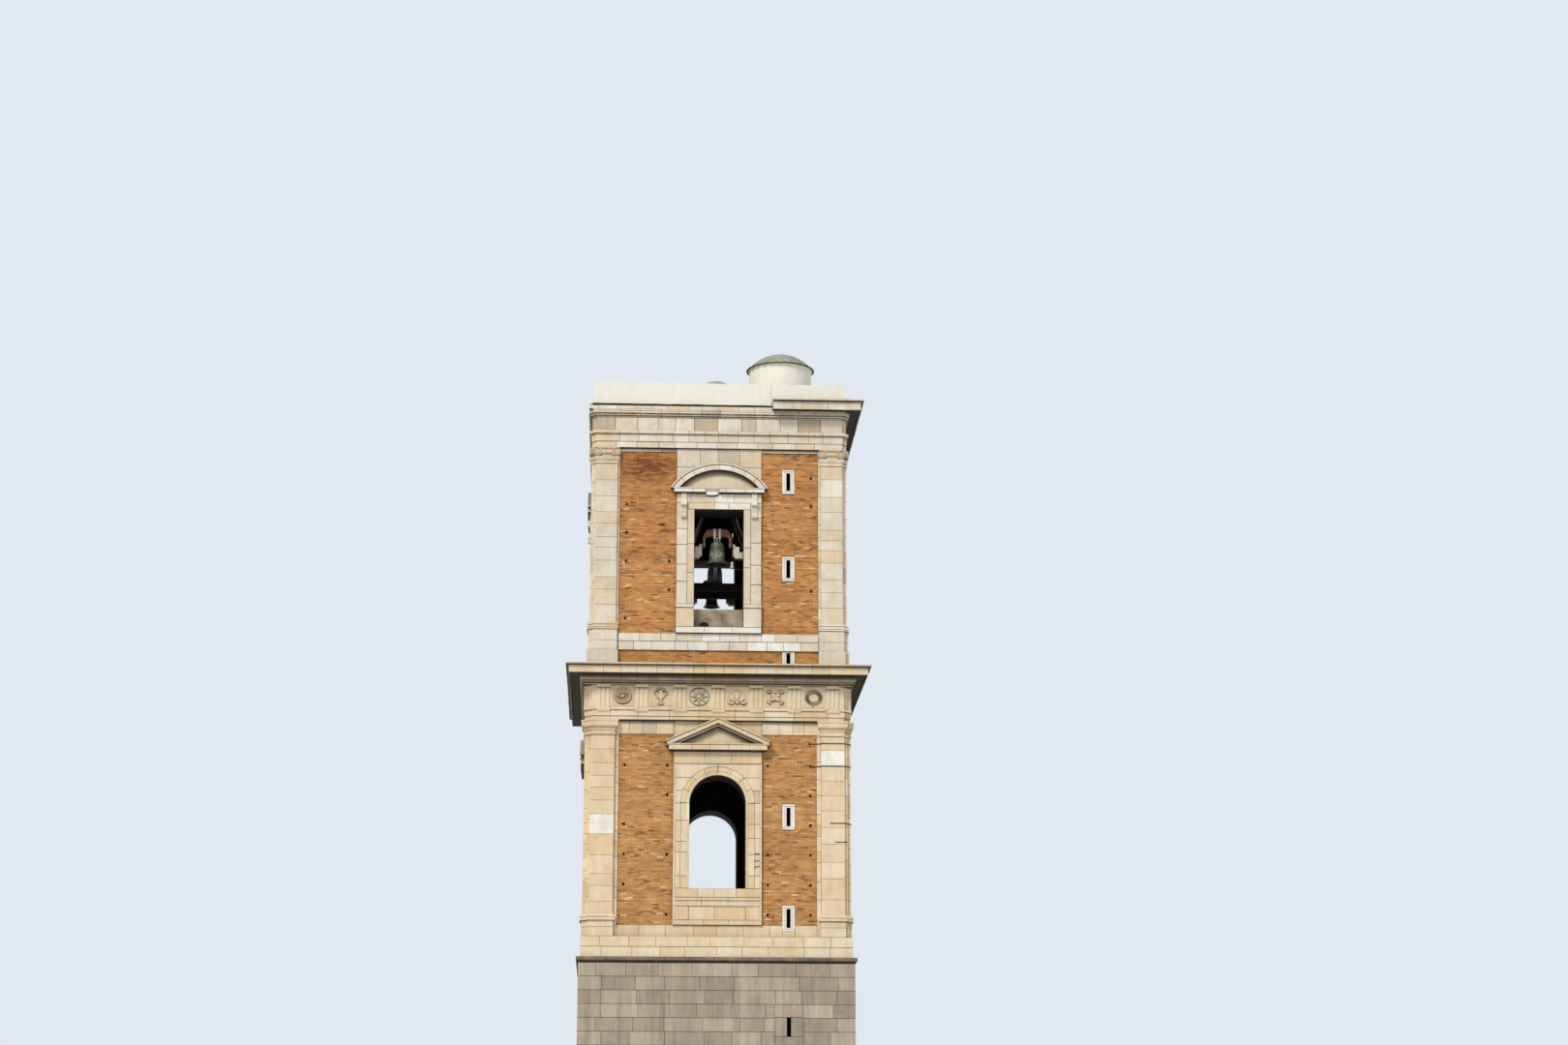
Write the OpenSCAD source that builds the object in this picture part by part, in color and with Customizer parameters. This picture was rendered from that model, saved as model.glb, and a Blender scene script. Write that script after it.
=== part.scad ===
// Bell tower of two brick and marble storeys over a plain stone base, built as a 1:2 scale model.
// All sizes are in millimetres of the model, so a real size is twice the value given here.
// The origin is the centre of the footprint at ground level, +Z is up and the front faces -Y.

/* [Plan] */
// Width of the stone base across its walls
base_w = 5830; // [5760:10:6000]
// Thickness of the base walls
base_wall_t = 900; // [700:10:1100]
// Width of the lower storey across its pilaster faces
lower_w = 5700; // [5600:10:5760]
// Width of the belfry storey across its pilaster faces
belfry_w = 5580; // [5500:10:5640]
// Thickness of the rubble core behind the facing of both storeys
core_t = 590; // [450:10:650]
// Depth of the brick facing in front of the core
brick_t = 115; // [90:5:140]
// Step from the brick face out to the marble margin beside it
margin_step = 20; // [10:1:30]
// Width of the lower pilasters
lower_pilaster_w = 500; // [440:5:540]
// Step from the marble margin out to the face of a lower pilaster
lower_pilaster_step = 75; // [55:1:95]
// Distance from a lower pilaster's outer edge to the tower's outermost face
lower_corner_fold = 140; // [120:5:170]
// Width of the marble margin on the inner side of a lower pilaster
lower_margin_w = 95; // [86:1:120]
// Width of the belfry pilasters
belfry_pilaster_w = 475; // [420:5:510]
// Step from the marble margin out to the face of a belfry pilaster
belfry_pilaster_step = 55; // [40:1:70]
// Distance from a belfry pilaster's outer edge to the belfry's outermost face
belfry_corner_fold = 95; // [85:5:120]
// Width of the marble margin on the inner side of a belfry pilaster
belfry_margin_w = 55; // [46:1:80]

/* [Base storey] */
// Height of the base walls
base_h = 7825; // [7000:25:8600]
// Height of the ground plinth
ground_plinth_h = 560; // [400:10:800]
// Projection of the ground plinth
ground_plinth_out = 70; // [40:5:100]
// Height of the dark string course
string_h = 125; // [90:5:160]
// Projection of the string course beyond the base walls
string_out = 45; // [20:5:80]
// Width of the doorway in the back wall
door_w = 640; // [500:10:800]
// Height of the doorway
door_h = 1260; // [1050:10:1500]
// Width of the stone surround of the doorway
door_surround_w = 130; // [90:5:180]
// Projection of the doorway surround beyond the base wall
door_surround_out = 95; // [75:5:130]

/* [Lower storey] */
// Height of the marble plinth courses
plinth_h = 435; // [350:5:520]
// Projection of the plinth courses beyond the pilaster faces
plinth_out = 25; // [10:1:45]
// Height of the pedestal under a lower pilaster
lower_pedestal_h = 335; // [280:5:400]
// Height of the marble course between the lower pedestals
lower_course_h = 250; // [180:5:270]
// Height of the moulded base of a lower pilaster
lower_base_h = 145; // [110:1:180]
// Height of a lower pilaster's shaft
lower_shaft_h = 3810; // [3600:10:4100]
// Height of a Doric capital
doric_capital_h = 330; // [270:5:390]
// Greatest projection of the Doric capital
doric_capital_out = 82; // [60:1:84]
// Height of the marble band that runs between the capitals under the architrave
lower_band_h = 290; // [240:5:325]
// Height of the Doric architrave
doric_architrave_h = 265; // [220:5:320]
// Height of the frieze with triglyphs
doric_frieze_h = 505; // [430:5:580]
// Width of a triglyph
triglyph_w = 285; // [220:5:340]
// Projection of a triglyph
triglyph_out = 20; // [12:1:30]
// Triglyphs on a side, the outer two over the pilasters
triglyph_count = 7; // [5:1:9]
// Height of the main cornice
main_cornice_h = 440; // [380:5:500]
// Projection of the main cornice beyond the pilaster faces
main_cornice_out = 425; // [380:5:470]

/* [Arched openings] */
// Width of an arched opening
arch_w = 1207; // [1000:1:1300]
// Height of the sill above the top of the plinth courses
arch_sill_z = 1025; // [950:5:1150]
// Height of the jambs from the sill to the springing of the arch
arch_jamb_h = 1816; // [1500:2:1900]
// Width of the marble surround beside the opening
arch_surround_w = 340; // [280:5:380]
// Projection of the surround beyond the brick face
arch_surround_out = 60; // [45:1:75]
// Height of the marble over the crown of the arch, up to the pediment
arch_head_h = 505; // [440:5:540]
// Height of the pediment's level cornice
arch_cornice_h = 140; // [110:5:170]
// Projection of the pediment beyond the brick face
arch_pediment_out = 200; // [150:5:240]
// Overhang of the pediment beside the surround
arch_pediment_over = 115; // [90:5:150]
// Height of the pediment from its level cornice to the apex
arch_pediment_rise = 525; // [440:5:530]

/* [Belfry storey] */
// Height of the pedestal under a belfry pilaster
belfry_pedestal_h = 785; // [740:5:850]
// Height of the wide lower part of the belfry pedestal
belfry_pedestal_step_h = 475; // [400:5:540]
// Projection of the wide lower part of the belfry pedestal
belfry_pedestal_out = 60; // [40:5:80]
// Height of the brick band above the main cornice
brick_band_h = 340; // [280:5:400]
// Height of the marble strip that closes the belfry's brick under the architrave
belfry_strip_h = 75; // [50:5:110]
// Height of the two marble courses above the brick band
belfry_course_h = 380; // [320:5:385]
// Height of the moulded base of a belfry pilaster
belfry_base_h = 160; // [120:1:190]
// Height of a belfry pilaster's shaft
belfry_shaft_h = 3540; // [3400:10:3800]
// Height of an Ionic capital
ionic_capital_h = 370; // [330:5:410]
// Radius of an Ionic volute
volute_r = 98; // [80:1:105]
// Height of the upper architrave
upper_architrave_h = 385; // [340:5:430]
// Height of the plain upper frieze
upper_frieze_h = 310; // [260:5:360]
// Height of the bed mouldings of the upper cornice
cornice_bed_h = 165; // [140:5:200]
// Projection of the bed mouldings
cornice_bed_out = 75; // [60:1:90]
// Height of the upper cornice's crown where it survives
cornice_crown_h = 235; // [200:5:270]
// Projection of the crown beyond the pilaster faces
cornice_crown_out = 375; // [330:5:410]
// Height of the stump left where the crown has fallen
cornice_stump_h = 95; // [60:5:130]
// Distance from the tower's axis to the broken end of the crown on the front
crown_break_x = 1160; // [800:10:1600]

/* [Bell openings] */
// Width of a bell opening
window_w = 1075; // [980:1:1120]
// Height of a bell opening from its sill to the lintel
window_h = 2627; // [2500:1:2700]
// Height of the sill above the brick band's foot
window_sill_z = 855; // [820:5:900]
// Width of the marble surround beside a bell opening
window_surround_w = 388; // [340:1:420]
// Projection of the surround beyond the brick face
window_surround_out = 62; // [50:1:75]
// Height of the lintel over a bell opening
window_lintel_h = 350; // [310:5:380]
// Height of the pediment's level cornice
window_cornice_h = 95; // [75:5:120]
// Projection of the segmental pediment beyond the brick face
window_pediment_out = 215; // [180:5:250]
// Overhang of the segmental pediment beside the surround
window_pediment_over = 140; // [100:5:170]
// Height of the segmental pediment from its level cornice to its crown
window_pediment_rise = 560; // [500:5:600]
// Width of a console beside the lintel
console_w = 130; // [110:5:170]
// Height of a console
console_h = 560; // [480:5:600]
// Distance of a console from the edge of the surround
console_inset = 90; // [50:5:110]
// Projection of a console beyond the surround
console_out = 110; // [80:5:130]
// Length of the gap in the level cornice over the front bell opening
broken_w = 310; // [200:10:400]
// Height of the rendered parapet in a bell opening
parapet_h = 445; // [380:5:520]
// Thickness of the rendered parapet
parapet_t = 120; // [80:5:160]

/* [Stair slits] */
// Distance of the slits from the tower's axis
slit_x = 1515; // [1450:5:1600]
// Width of a slit
slit_w = 84; // [60:2:110]
// Height of a slit
slit_h = 400; // [340:5:440]
// Width of the marble frame round a slit
slit_frame_w = 93; // [70:1:110]
// Distance between the two upper slits
slit_pitch = 1960; // [1800:10:2100]

/* [Roof] */
// Height of the rendered attic wall above the bed mouldings
attic_h = 645; // [560:5:720]
// Thickness of the attic wall
attic_t = 190; // [150:5:230]
// Thickness of the roof terrace
terrace_t = 150; // [110:5:200]
// Radius of the stair turret
turret_r = 695; // [620:5:780]
// Height of the stair turret above the terrace
turret_h = 1150; // [1000:10:1300]
// Wall thickness of the stair turret
turret_wall_t = 110; // [80:5:150]
// Overhang of the turret's tiled eaves
eaves_out = 65; // [40:5:100]
// Rise of the turret's dome
turret_dome_rise = 390; // [340:5:500]
// Position of the turret along X
turret_x = 1400; // [1300:10:1500]
// Distance of the turret in front of the tower's axis
turret_y = 1500; // [1400:10:1600]
// Radius of the lantern at the middle of the roof
lantern_r = 490; // [400:5:560]
// Height of the lantern's wall
lantern_h = 980; // [860:10:1100]

/* [Bells] */
// Radius of the front and rear bells at the lip
bell_r = 250; // [220:1:265]
// Height of the front and rear bells from lip to shoulder
bell_h = 495; // [440:5:540]
// Height of the bell pivots above the belfry floor
pivot_z = 2775; // [2650:5:2900]
// Distance of the front and rear bells from the tower's axis
bell_y = 2300; // [2260:5:2340]
// Size of the middle bell as a share of the front bell
middle_bell_share = 1.05; // [0.8:0.05:1.1]
// Size of the rear bell as a share of the front bell
rear_bell_share = 0.8; // [0.7:0.05:1]
// Distance from the pivots down to the lip of the front bell
bell_drop = 420; // [400:5:440]
// Offset of the front bell from the middle of its opening
bell_x = -25; // [-25:5:0]
// Radius of a gudgeon pin
gudgeon_r = 14; // [10:1:18]
// Height of the bell trestle
trestle_h = 4535; // [4300:5:4800]
// Size of a trestle member
trestle_member = 50; // [40:5:80]
// Offset of the trestle's frames from the middle bell
trestle_x = 70; // [0:5:90]
// Distance from the pivots down to the top of the trestle's girders
girder_drop = 390; // [370:5:410]
// Height of the trestle's girders
girder_h = 187; // [120:1:220]

/* [Hidden] */
$fn = 48;

marble = [0.86, 0.82, 0.74];
brick = [0.72, 0.45, 0.26];
grey_stone = [0.55, 0.52, 0.47];
dark_stone = [0.24, 0.22, 0.21];
render = [0.93, 0.91, 0.85];
iron = [0.2, 0.19, 0.18];
bronze = [0.36, 0.38, 0.3];
rust_red = [0.5, 0.26, 0.18];
light_steel = [0.68, 0.68, 0.66];

LONG = 9000;
FINE = 6;

// Half widths of the lower storey, from the outermost face inwards
lower_face = lower_w / 2;
lower_margin = lower_face - lower_pilaster_step;
lower_brick = lower_margin - margin_step;
lower_core = lower_brick - brick_t;
lower_room = lower_core - core_t;
lower_edge = lower_face - lower_corner_fold;
lower_inner = lower_edge - lower_pilaster_w - lower_margin_w;
lower_pilaster_x = lower_edge - lower_pilaster_w / 2;

// Half widths of the belfry storey, from the outermost face inwards
belfry_face = belfry_w / 2;
belfry_margin = belfry_face - belfry_pilaster_step;
belfry_brick = belfry_margin - margin_step;
belfry_core = belfry_brick - brick_t;
belfry_room = belfry_core - core_t;
belfry_edge = belfry_face - belfry_corner_fold;
belfry_inner = belfry_edge - belfry_pilaster_w - belfry_margin_w;
belfry_pilaster_x = belfry_edge - belfry_pilaster_w / 2;

// Half widths of the base and the attic
base_face = base_w / 2;
base_room = base_face - base_wall_t;
attic_face = belfry_face - 40;
attic_inner = attic_face - attic_t;

// Heights, each course on the one below
string_z = base_h;
lower_z = string_z + string_h;
pedestal_z = lower_z + plinth_h;
lower_base_z = pedestal_z + lower_pedestal_h;
lower_shaft_z = lower_base_z + lower_base_h;
doric_capital_z = lower_shaft_z + lower_shaft_h;
doric_architrave_z = doric_capital_z + doric_capital_h;
doric_frieze_z = doric_architrave_z + doric_architrave_h;
main_cornice_z = doric_frieze_z + doric_frieze_h;
belfry_z = main_cornice_z + main_cornice_h;
belfry_base_z = belfry_z + belfry_pedestal_h;
belfry_shaft_z = belfry_base_z + belfry_base_h;
ionic_capital_z = belfry_shaft_z + belfry_shaft_h;
upper_architrave_z = ionic_capital_z + ionic_capital_h;
upper_frieze_z = upper_architrave_z + upper_architrave_h;
upper_cornice_z = upper_frieze_z + upper_frieze_h;
roof_z = upper_cornice_z + cornice_bed_h;
terrace_z = roof_z + terrace_t;
floor_t = 180;

// Arched openings
arch_r = arch_w / 2;
arch_sill = pedestal_z + arch_sill_z;
arch_spring = arch_sill + arch_jamb_h;
arch_crown = arch_spring + arch_r;
arch_frame_x = arch_r + arch_surround_w;
arch_frame_y = lower_brick + arch_surround_out;
arch_frame_foot = pedestal_z + lower_course_h;
arch_cornice_z = arch_crown + arch_head_h;
lower_brick_foot = arch_frame_foot;
lower_band_z = doric_architrave_z - lower_band_h;

// Bell openings
window_x = window_w / 2;
window_sill = belfry_z + window_sill_z;
window_head = window_sill + window_h;
window_frame_x = window_x + window_surround_w;
window_frame_y = belfry_brick + window_surround_out;
window_frame_foot = belfry_z + brick_band_h + belfry_course_h;
window_cornice_z = window_head + window_lintel_h;

// Slits: the middle heights of those in each storey
slit_frame_x = slit_w / 2 + slit_frame_w;
slit_frame_h = slit_h + 150;
belfry_slits = [ionic_capital_z - slit_frame_h / 2 - 70, ionic_capital_z - slit_frame_h / 2 - 70 - slit_pitch];
lower_slits = [arch_spring - 275, lower_brick_foot + 155];
band_slit = belfry_z + brick_band_h / 2;
band_slit_h = brick_band_h - 60;
base_slits = [lower_z - 1450, lower_z - 3600, lower_z - 5750];
slit_frame_out = 14;

// Bells: the pivot heights and the pieces that the yokes and bearings share
bell_pivot = belfry_z + pivot_z;
yoke_half = 315;
yoke_under = 210;
yoke_top = 370;
bearing_w = 60;
bearing_half = 45;
bearing_top = 34;
bearing_foot = 35;
yoke_gap = 20;
pin_end_x = yoke_half + yoke_gap;
corbel_w = 150;
corbel_half = 95;
corbel_drop = 290;
corbel_ledge_h = 140;
corbel_hollow_r = 60;
running_gap = 0.05;

// Points of an arc in a moulding's profile, from angle a0 to a1
function arc_points(x, z, r, a0, a1, n = FINE) =
    [for (i = [0 : n]) [x + r * cos(a0 + (a1 - a0) * i / n), z + r * sin(a0 + (a1 - a0) * i / n)]];

// A profile, listed from the bottom up as [projection, height], closed round a solid of half width half
function closed_profile(half, profile) =
    concat([for (p = profile) [half + p[0], p[1]]],
        [for (i = [len(profile) - 1 : -1 : 0]) [-half - profile[i][0], profile[i][1]]]);

// A block with the same moulding on its four sides, mitred at the corners
module moulded_block(half_x, half_y, profile) {
    intersection() {
        rotate([90, 0, 0]) linear_extrude(height = LONG, center = true)
            polygon(closed_profile(half_x, profile));
        rotate([90, 0, 90]) linear_extrude(height = LONG, center = true)
            polygon(closed_profile(half_y, profile));
    }
}

// A moulded course round the tower that follows the folded corners of the pilasters, open inside
module folded_course(face, edge, margin, hole, profile) {
    top = profile[len(profile) - 1][1];
    difference() {
        union() {
            moulded_block(face, edge, profile);
            moulded_block(edge, face, profile);
            moulded_block(margin, margin, profile);
        }
        translate([0, 0, top / 2]) cube([2 * hole, 2 * hole, 3 * top], center = true);
    }
}

// A moulded course round the tower with plain square corners, open inside
module square_course(face, hole, profile) {
    top = profile[len(profile) - 1][1];
    difference() {
        moulded_block(face, face, profile);
        translate([0, 0, top / 2]) cube([2 * hole, 2 * hole, 3 * top], center = true);
    }
}

// What stands on the front is turned onto each of the four sides
module on_four_sides() {
    for (turn = [0 : 90 : 270]) rotate([0, 0, turn]) children();
}

// A box from its left, front and bottom to its right, back and top
module box(x0, x1, y0, y1, z0, z1) {
    translate([x0, y0, z0]) cube([x1 - x0, y1 - y0, z1 - z0]);
}

// The void of an arched opening on the front, from depth y0 to y1
module arch_void(y0, y1) {
    box(-arch_r, arch_r, y0, y1, arch_sill, arch_spring);
    translate([0, y1, arch_spring]) rotate([90, 0, 0]) cylinder(r = arch_r, h = y1 - y0);
}

// The void of a bell opening on the front
module window_void(y0, y1) {
    box(-window_x, window_x, y0, y1, window_sill, window_head);
}

// A slit through a front wall at the middle height z
module slit_void(y0, y1, z, h = slit_h) {
    box(slit_x - slit_w / 2, slit_x + slit_w / 2, y0, y1, z - h / 2, z + h / 2);
}

// The place of a slit's frame in the facing
module slit_frame_void(y0, y1, z, h = slit_frame_h) {
    box(slit_x - slit_frame_x, slit_x + slit_frame_x, y0, y1, z - h / 2, z + h / 2);
}

// Base storey

ground_profile = [[ground_plinth_out, 0], [ground_plinth_out, ground_plinth_h - 60],
    [ground_plinth_out * 0.55, ground_plinth_h - 25], [12, ground_plinth_h]];

module ground_plinth() {
    clear_x = door_w / 2 + door_surround_w;
    color(grey_stone) difference() {
        square_course(base_face, base_face, ground_profile);
        box(-clear_x, clear_x, base_face - 1, base_face + 2 * ground_plinth_out, -1, ground_plinth_h + 1);
    }
}

module base_front_back_walls() {
    color(grey_stone) {
        difference() {
            box(-base_face, base_face, -base_face, -base_room, 0, base_h);
            for (z = base_slits) slit_void(-base_face - 1, -base_room + 1, z);
        }
        difference() {
            box(-base_face, base_face, base_room, base_face, 0, base_h);
            box(-door_w / 2, door_w / 2, base_room - 1, base_face + 1, -1, door_h);
        }
    }
}

module base_side_walls() {
    color(grey_stone) for (side = [-1, 1])
        translate([side * (base_room + base_face) / 2, 0, base_h / 2])
            cube([base_wall_t, 2 * base_room, base_h], center = true);
}

module door_surround() {
    outer = door_w / 2 + door_surround_w;
    color(marble) difference() {
        union() {
            box(-outer, outer, base_face, base_face + door_surround_out, 0, door_h + door_surround_w);
            box(-outer - 40, outer + 40, base_face, base_face + door_surround_out + 45,
                door_h + door_surround_w, door_h + door_surround_w + 70);
        }
        box(-door_w / 2, door_w / 2, base_face - 1, base_face + door_surround_out + 1, -1, door_h);
    }
}

string_profile = [[-10, 0], [string_out - 15, string_h * 0.3], [string_out, string_h * 0.45],
    [string_out, string_h * 0.9], [string_out - 12, string_h]];

module string_course() {
    color(dark_stone) translate([0, 0, string_z]) square_course(base_face, lower_room, string_profile);
}

// Lower storey

// Two courses all round and a third between the pedestals of the pilasters
module plinth_courses() {
    color(marble) difference() {
        union() {
            translate([0, 0, lower_z]) square_course(lower_face, lower_core, [[plinth_out, 0],
                [plinth_out, plinth_h - 12], [plinth_out - 10, plinth_h]]);
            on_four_sides() box(-lower_inner, lower_inner, -lower_margin, -lower_core, pedestal_z - 1,
                lower_brick_foot);
        }
        for (z = lower_slits) slit_frame_void(-lower_face, -lower_room, z);
    }
}

module lower_wall() {
    difference() {
        box(-lower_core, lower_core, -lower_core, -lower_room, lower_z, belfry_z);
        arch_void(-lower_core - 1, -lower_room + 1);
    }
}

module lower_front_back_walls() {
    color(brick) {
        difference() {
            lower_wall();
            for (z = lower_slits) slit_void(-lower_core - 1, -lower_room + 1, z);
        }
        rotate([0, 0, 180]) lower_wall();
    }
}

module lower_side_walls() {
    color(brick) for (turn = [90, 270]) rotate([0, 0, turn]) intersection() {
        lower_wall();
        box(-lower_room, lower_room, -LONG, LONG, 0, belfry_z);
    }
}

// The brick facing of one side, left and right of the marble surround
module brick_pair(inner_x, outer_x, core, face, z0, z1) {
    for (side = [-1, 1]) translate([side * (inner_x + outer_x) / 2, -(core + face) / 2, (z0 + z1) / 2])
        cube([outer_x - inner_x, face - core, z1 - z0], center = true);
}

module lower_brick_panels() {
    color(brick) difference() {
        on_four_sides() brick_pair(arch_frame_x, lower_inner, lower_core, lower_brick,
            lower_brick_foot, lower_band_z);
        for (z = lower_slits) slit_frame_void(-lower_face, -lower_room, z);
    }
}

// Plan of one corner: two pilasters on a folded marble margin, in front of the core
function corner_plan(face, edge, margin, core, inner, pilaster) =
    [[inner, core], [inner, margin], [edge - pilaster, margin], [edge - pilaster, face], [edge, face],
        [edge, margin], [margin, margin], [margin, edge], [face, edge], [face, edge - pilaster],
        [margin, edge - pilaster], [margin, inner], [core, inner], [core, core]];

// One moulding round the two pilasters of the corner at +X and +Y, set against the core
module corner_moulding(face, edge, margin, core, pilaster, profile) {
    middle = edge - pilaster / 2;
    nook = (margin + edge - pilaster) / 2;
    top = profile[len(profile) - 1][1];
    intersection() {
        translate([middle, 0, 0]) moulded_block(pilaster / 2, face, profile);
        box(0, LONG, core, LONG, -1, top + 1);
    }
    intersection() {
        translate([0, middle, 0]) moulded_block(face, pilaster / 2, profile);
        box(core, LONG, 0, LONG, -1, top + 1);
    }
    difference() {
        translate([nook, nook, 0]) moulded_block(margin - nook, margin - nook, profile);
        box(0, core, 0, core, -1, top + 1);
    }
}

doric_base_profile = concat([[48, 0], [48, lower_base_h * 0.38]],
    arc_points(18, lower_base_h * 0.59, lower_base_h * 0.21, -90, 90), [[12, lower_base_h]]);

module lower_pilasters() {
    plan = corner_plan(lower_face, lower_edge, lower_margin, lower_core, lower_inner, lower_pilaster_w);
    color(marble) on_four_sides() {
        translate([0, 0, pedestal_z]) linear_extrude(height = doric_capital_z - pedestal_z) polygon(plan);
        translate([0, 0, pedestal_z]) corner_moulding(lower_face, lower_edge, lower_margin, lower_core,
            lower_pilaster_w, [[14, 0], [14, lower_pedestal_h]]);
        translate([0, 0, lower_base_z]) corner_moulding(lower_face, lower_edge, lower_margin, lower_core,
            lower_pilaster_w, doric_base_profile);
    }
}

neck_h = doric_capital_h * 0.38;
echinus_h = doric_capital_h * 0.27;
doric_capital_profile = concat([[4, 0]], arc_points(6, 24, 20, -90, 90, 4), [[0, 46], [0, neck_h - 14],
    [12, neck_h - 14], [12, neck_h]],
    arc_points(doric_capital_out - 14 - echinus_h * 0.6, neck_h + echinus_h, echinus_h * 0.6, -80, 0),
    [[doric_capital_out - 12, neck_h + echinus_h + 4], [doric_capital_out - 12, doric_capital_h - 42],
    [doric_capital_out, doric_capital_h - 34], [doric_capital_out, doric_capital_h]]);

// The capitals, and the band of marble that joins them across the brick
module doric_capitals() {
    plan = corner_plan(lower_face, lower_edge, lower_margin, lower_core, lower_inner, lower_pilaster_w);
    color(marble) translate([0, 0, doric_capital_z]) on_four_sides() {
        linear_extrude(height = doric_capital_h) polygon(plan);
        corner_moulding(lower_face, lower_edge, lower_margin, lower_core, lower_pilaster_w,
            doric_capital_profile);
        for (side = [-1, 1]) mirror([side > 0 ? 0 : 1, 0, 0])
            box(arch_frame_x, lower_inner + 1, -lower_margin, -lower_core, lower_band_z - doric_capital_z,
                doric_capital_h);
    }
}

doric_architrave_profile = [[0, 0], [0, doric_architrave_h * 0.34], [10, doric_architrave_h * 0.34],
    [10, doric_architrave_h * 0.83], [28, doric_architrave_h * 0.83], [28, doric_architrave_h]];
taenia_foot = doric_architrave_h * 0.83;
regula_h = 30;

function triglyph_x(i) = lower_pilaster_x * (2 * i / (triglyph_count - 1) - 1);

module doric_architrave() {
    color(marble) translate([0, 0, doric_architrave_z]) {
        folded_course(lower_face, lower_edge, lower_margin, lower_core, doric_architrave_profile);
        on_four_sides() for (i = [0 : triglyph_count - 1])
            box(triglyph_x(i) - triglyph_w / 2, triglyph_x(i) + triglyph_w / 2, -lower_face - 24,
                -lower_face, taenia_foot - regula_h, taenia_foot);
    }
}

// Plan of a triglyph: two full grooves and a half groove at each edge
function triglyph_plan(w, out) = let (s = w / 12)
    [[-w / 2, 0], [-w / 2, 1 + out * 0.3], [-w / 2 + s, 1 + out], [-3 * s, 1 + out],
        [-2 * s, 1 + out * 0.3], [-s, 1 + out], [s, 1 + out], [2 * s, 1 + out * 0.3], [3 * s, 1 + out],
        [w / 2 - s, 1 + out], [w / 2, 1 + out * 0.3], [w / 2, 0]];

module doric_frieze() {
    cap_h = doric_frieze_h * 0.12;
    color(marble) translate([0, 0, doric_frieze_z]) {
        folded_course(lower_face, lower_edge, lower_margin, lower_core, [[0, 0], [0, doric_frieze_h]]);
        on_four_sides() for (i = [0 : triglyph_count - 1]) translate([triglyph_x(i), -lower_face, 0]) {
            mirror([0, 1, 0]) translate([0, -1, 0]) linear_extrude(height = doric_frieze_h - cap_h)
                polygon(triglyph_plan(triglyph_w, triglyph_out));
            box(-triglyph_w / 2, triglyph_w / 2, -triglyph_out - 6, 1, doric_frieze_h - cap_h, doric_frieze_h);
        }
    }
}

corona_z = main_cornice_h * 0.443;
main_cornice_profile = concat([[22, 0], [22, 16]], arc_points(22, 70, 54, -90, 0), [[86, 74], [86, 84]],
    [[130, corona_z - 36], [130, corona_z - 12], [main_cornice_out - 110, corona_z - 12],
    [main_cornice_out - 110, corona_z - 22], [main_cornice_out - 80, corona_z - 22]],
    [[main_cornice_out - 80, corona_z + 85]],
    arc_points(main_cornice_out - 18, corona_z + 85, 62, 180, 100, 5),
    [[main_cornice_out - 22, main_cornice_h - 76], [main_cornice_out, main_cornice_h - 70],
    [main_cornice_out, main_cornice_h - 22]]);

module main_cornice() {
    flat_x = belfry_face + belfry_pedestal_out + 20 - lower_face;
    color(dark_stone) translate([0, 0, main_cornice_z]) square_course(lower_face, lower_core,
        concat(main_cornice_profile, [[flat_x, main_cornice_h]]));
}

// Marble round an arched opening, with its apron panel and a raised rim round the arch
module arch_surround() {
    rim_w = 42;
    rim_out = 14;
    panel_top = arch_sill - 380;
    band_z = arch_crown + 245;
    difference() {
        union() {
            box(-arch_frame_x, arch_frame_x, -arch_frame_y, -lower_core, arch_frame_foot, arch_cornice_z);
            box(-arch_frame_x + 60, arch_frame_x - 60, -arch_frame_y - 22, -arch_frame_y, band_z, band_z + 26);
            box(-arch_frame_x + 60, arch_frame_x - 60, -arch_frame_y - 18, -arch_frame_y,
                arch_sill - 262, arch_sill - 236);
            box(-arch_r - rim_w, arch_r + rim_w, -arch_frame_y - rim_out, -arch_frame_y, arch_sill, arch_spring);
            translate([0, -arch_frame_y, arch_spring]) rotate([90, 0, 0])
                cylinder(r = arch_r + rim_w, h = rim_out);
            for (side = [-1, 1]) translate([side * (arch_frame_x - 22), -arch_frame_y - 5, 0])
                box(-22, 22, -5, 5, arch_frame_foot, band_z);
        }
        arch_void(-lower_face - 200, -lower_core + 1);
        box(-arch_r, arch_r, -arch_frame_y - 1, -arch_frame_y + 16, panel_top - 290, panel_top);
    }
}

module arch_surrounds() {
    color(marble) on_four_sides() arch_surround();
}

// Profile of a small cornice: bed moulding, corona and crowning fillet, as projection and height
function cornice_band(h, out) = [[out * 0.42, 0], [out * 0.5, h * 0.22], [out * 0.92, h * 0.28],
    [out * 0.92, h * 0.72], [out, h * 0.82], [out, h]];

// A level cornice on the front, from the plane back to its face, with returns at both ends
module level_cornice(half, wall, back, over, out, z, h) {
    translate([0, 0, z]) intersection() {
        rotate([90, 0, 0]) linear_extrude(height = LONG, center = true)
            polygon(closed_profile(half, [for (p = cornice_band(h, 1)) [p[0] * over, p[1]]]));
        rotate([90, 0, 90]) linear_extrude(height = LONG, center = true)
            polygon(concat([for (p = cornice_band(h, out)) [-wall - p[0], p[1]]], [[-back, h], [-back, 0]]));
    }
}

// One layer of a raking cornice, between two depths under its upper line
module raking_layer(tip_x, apex_z, slope, drop0, drop1, depth) {
    rotate([90, 0, 0]) linear_extrude(height = depth) polygon([
        [-tip_x, apex_z - drop0 - slope * tip_x], [0, apex_z - drop0], [tip_x, apex_z - drop0 - slope * tip_x],
        [tip_x, apex_z - drop1 - slope * tip_x], [0, apex_z - drop1], [-tip_x, apex_z - drop1 - slope * tip_x]]);
}

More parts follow.
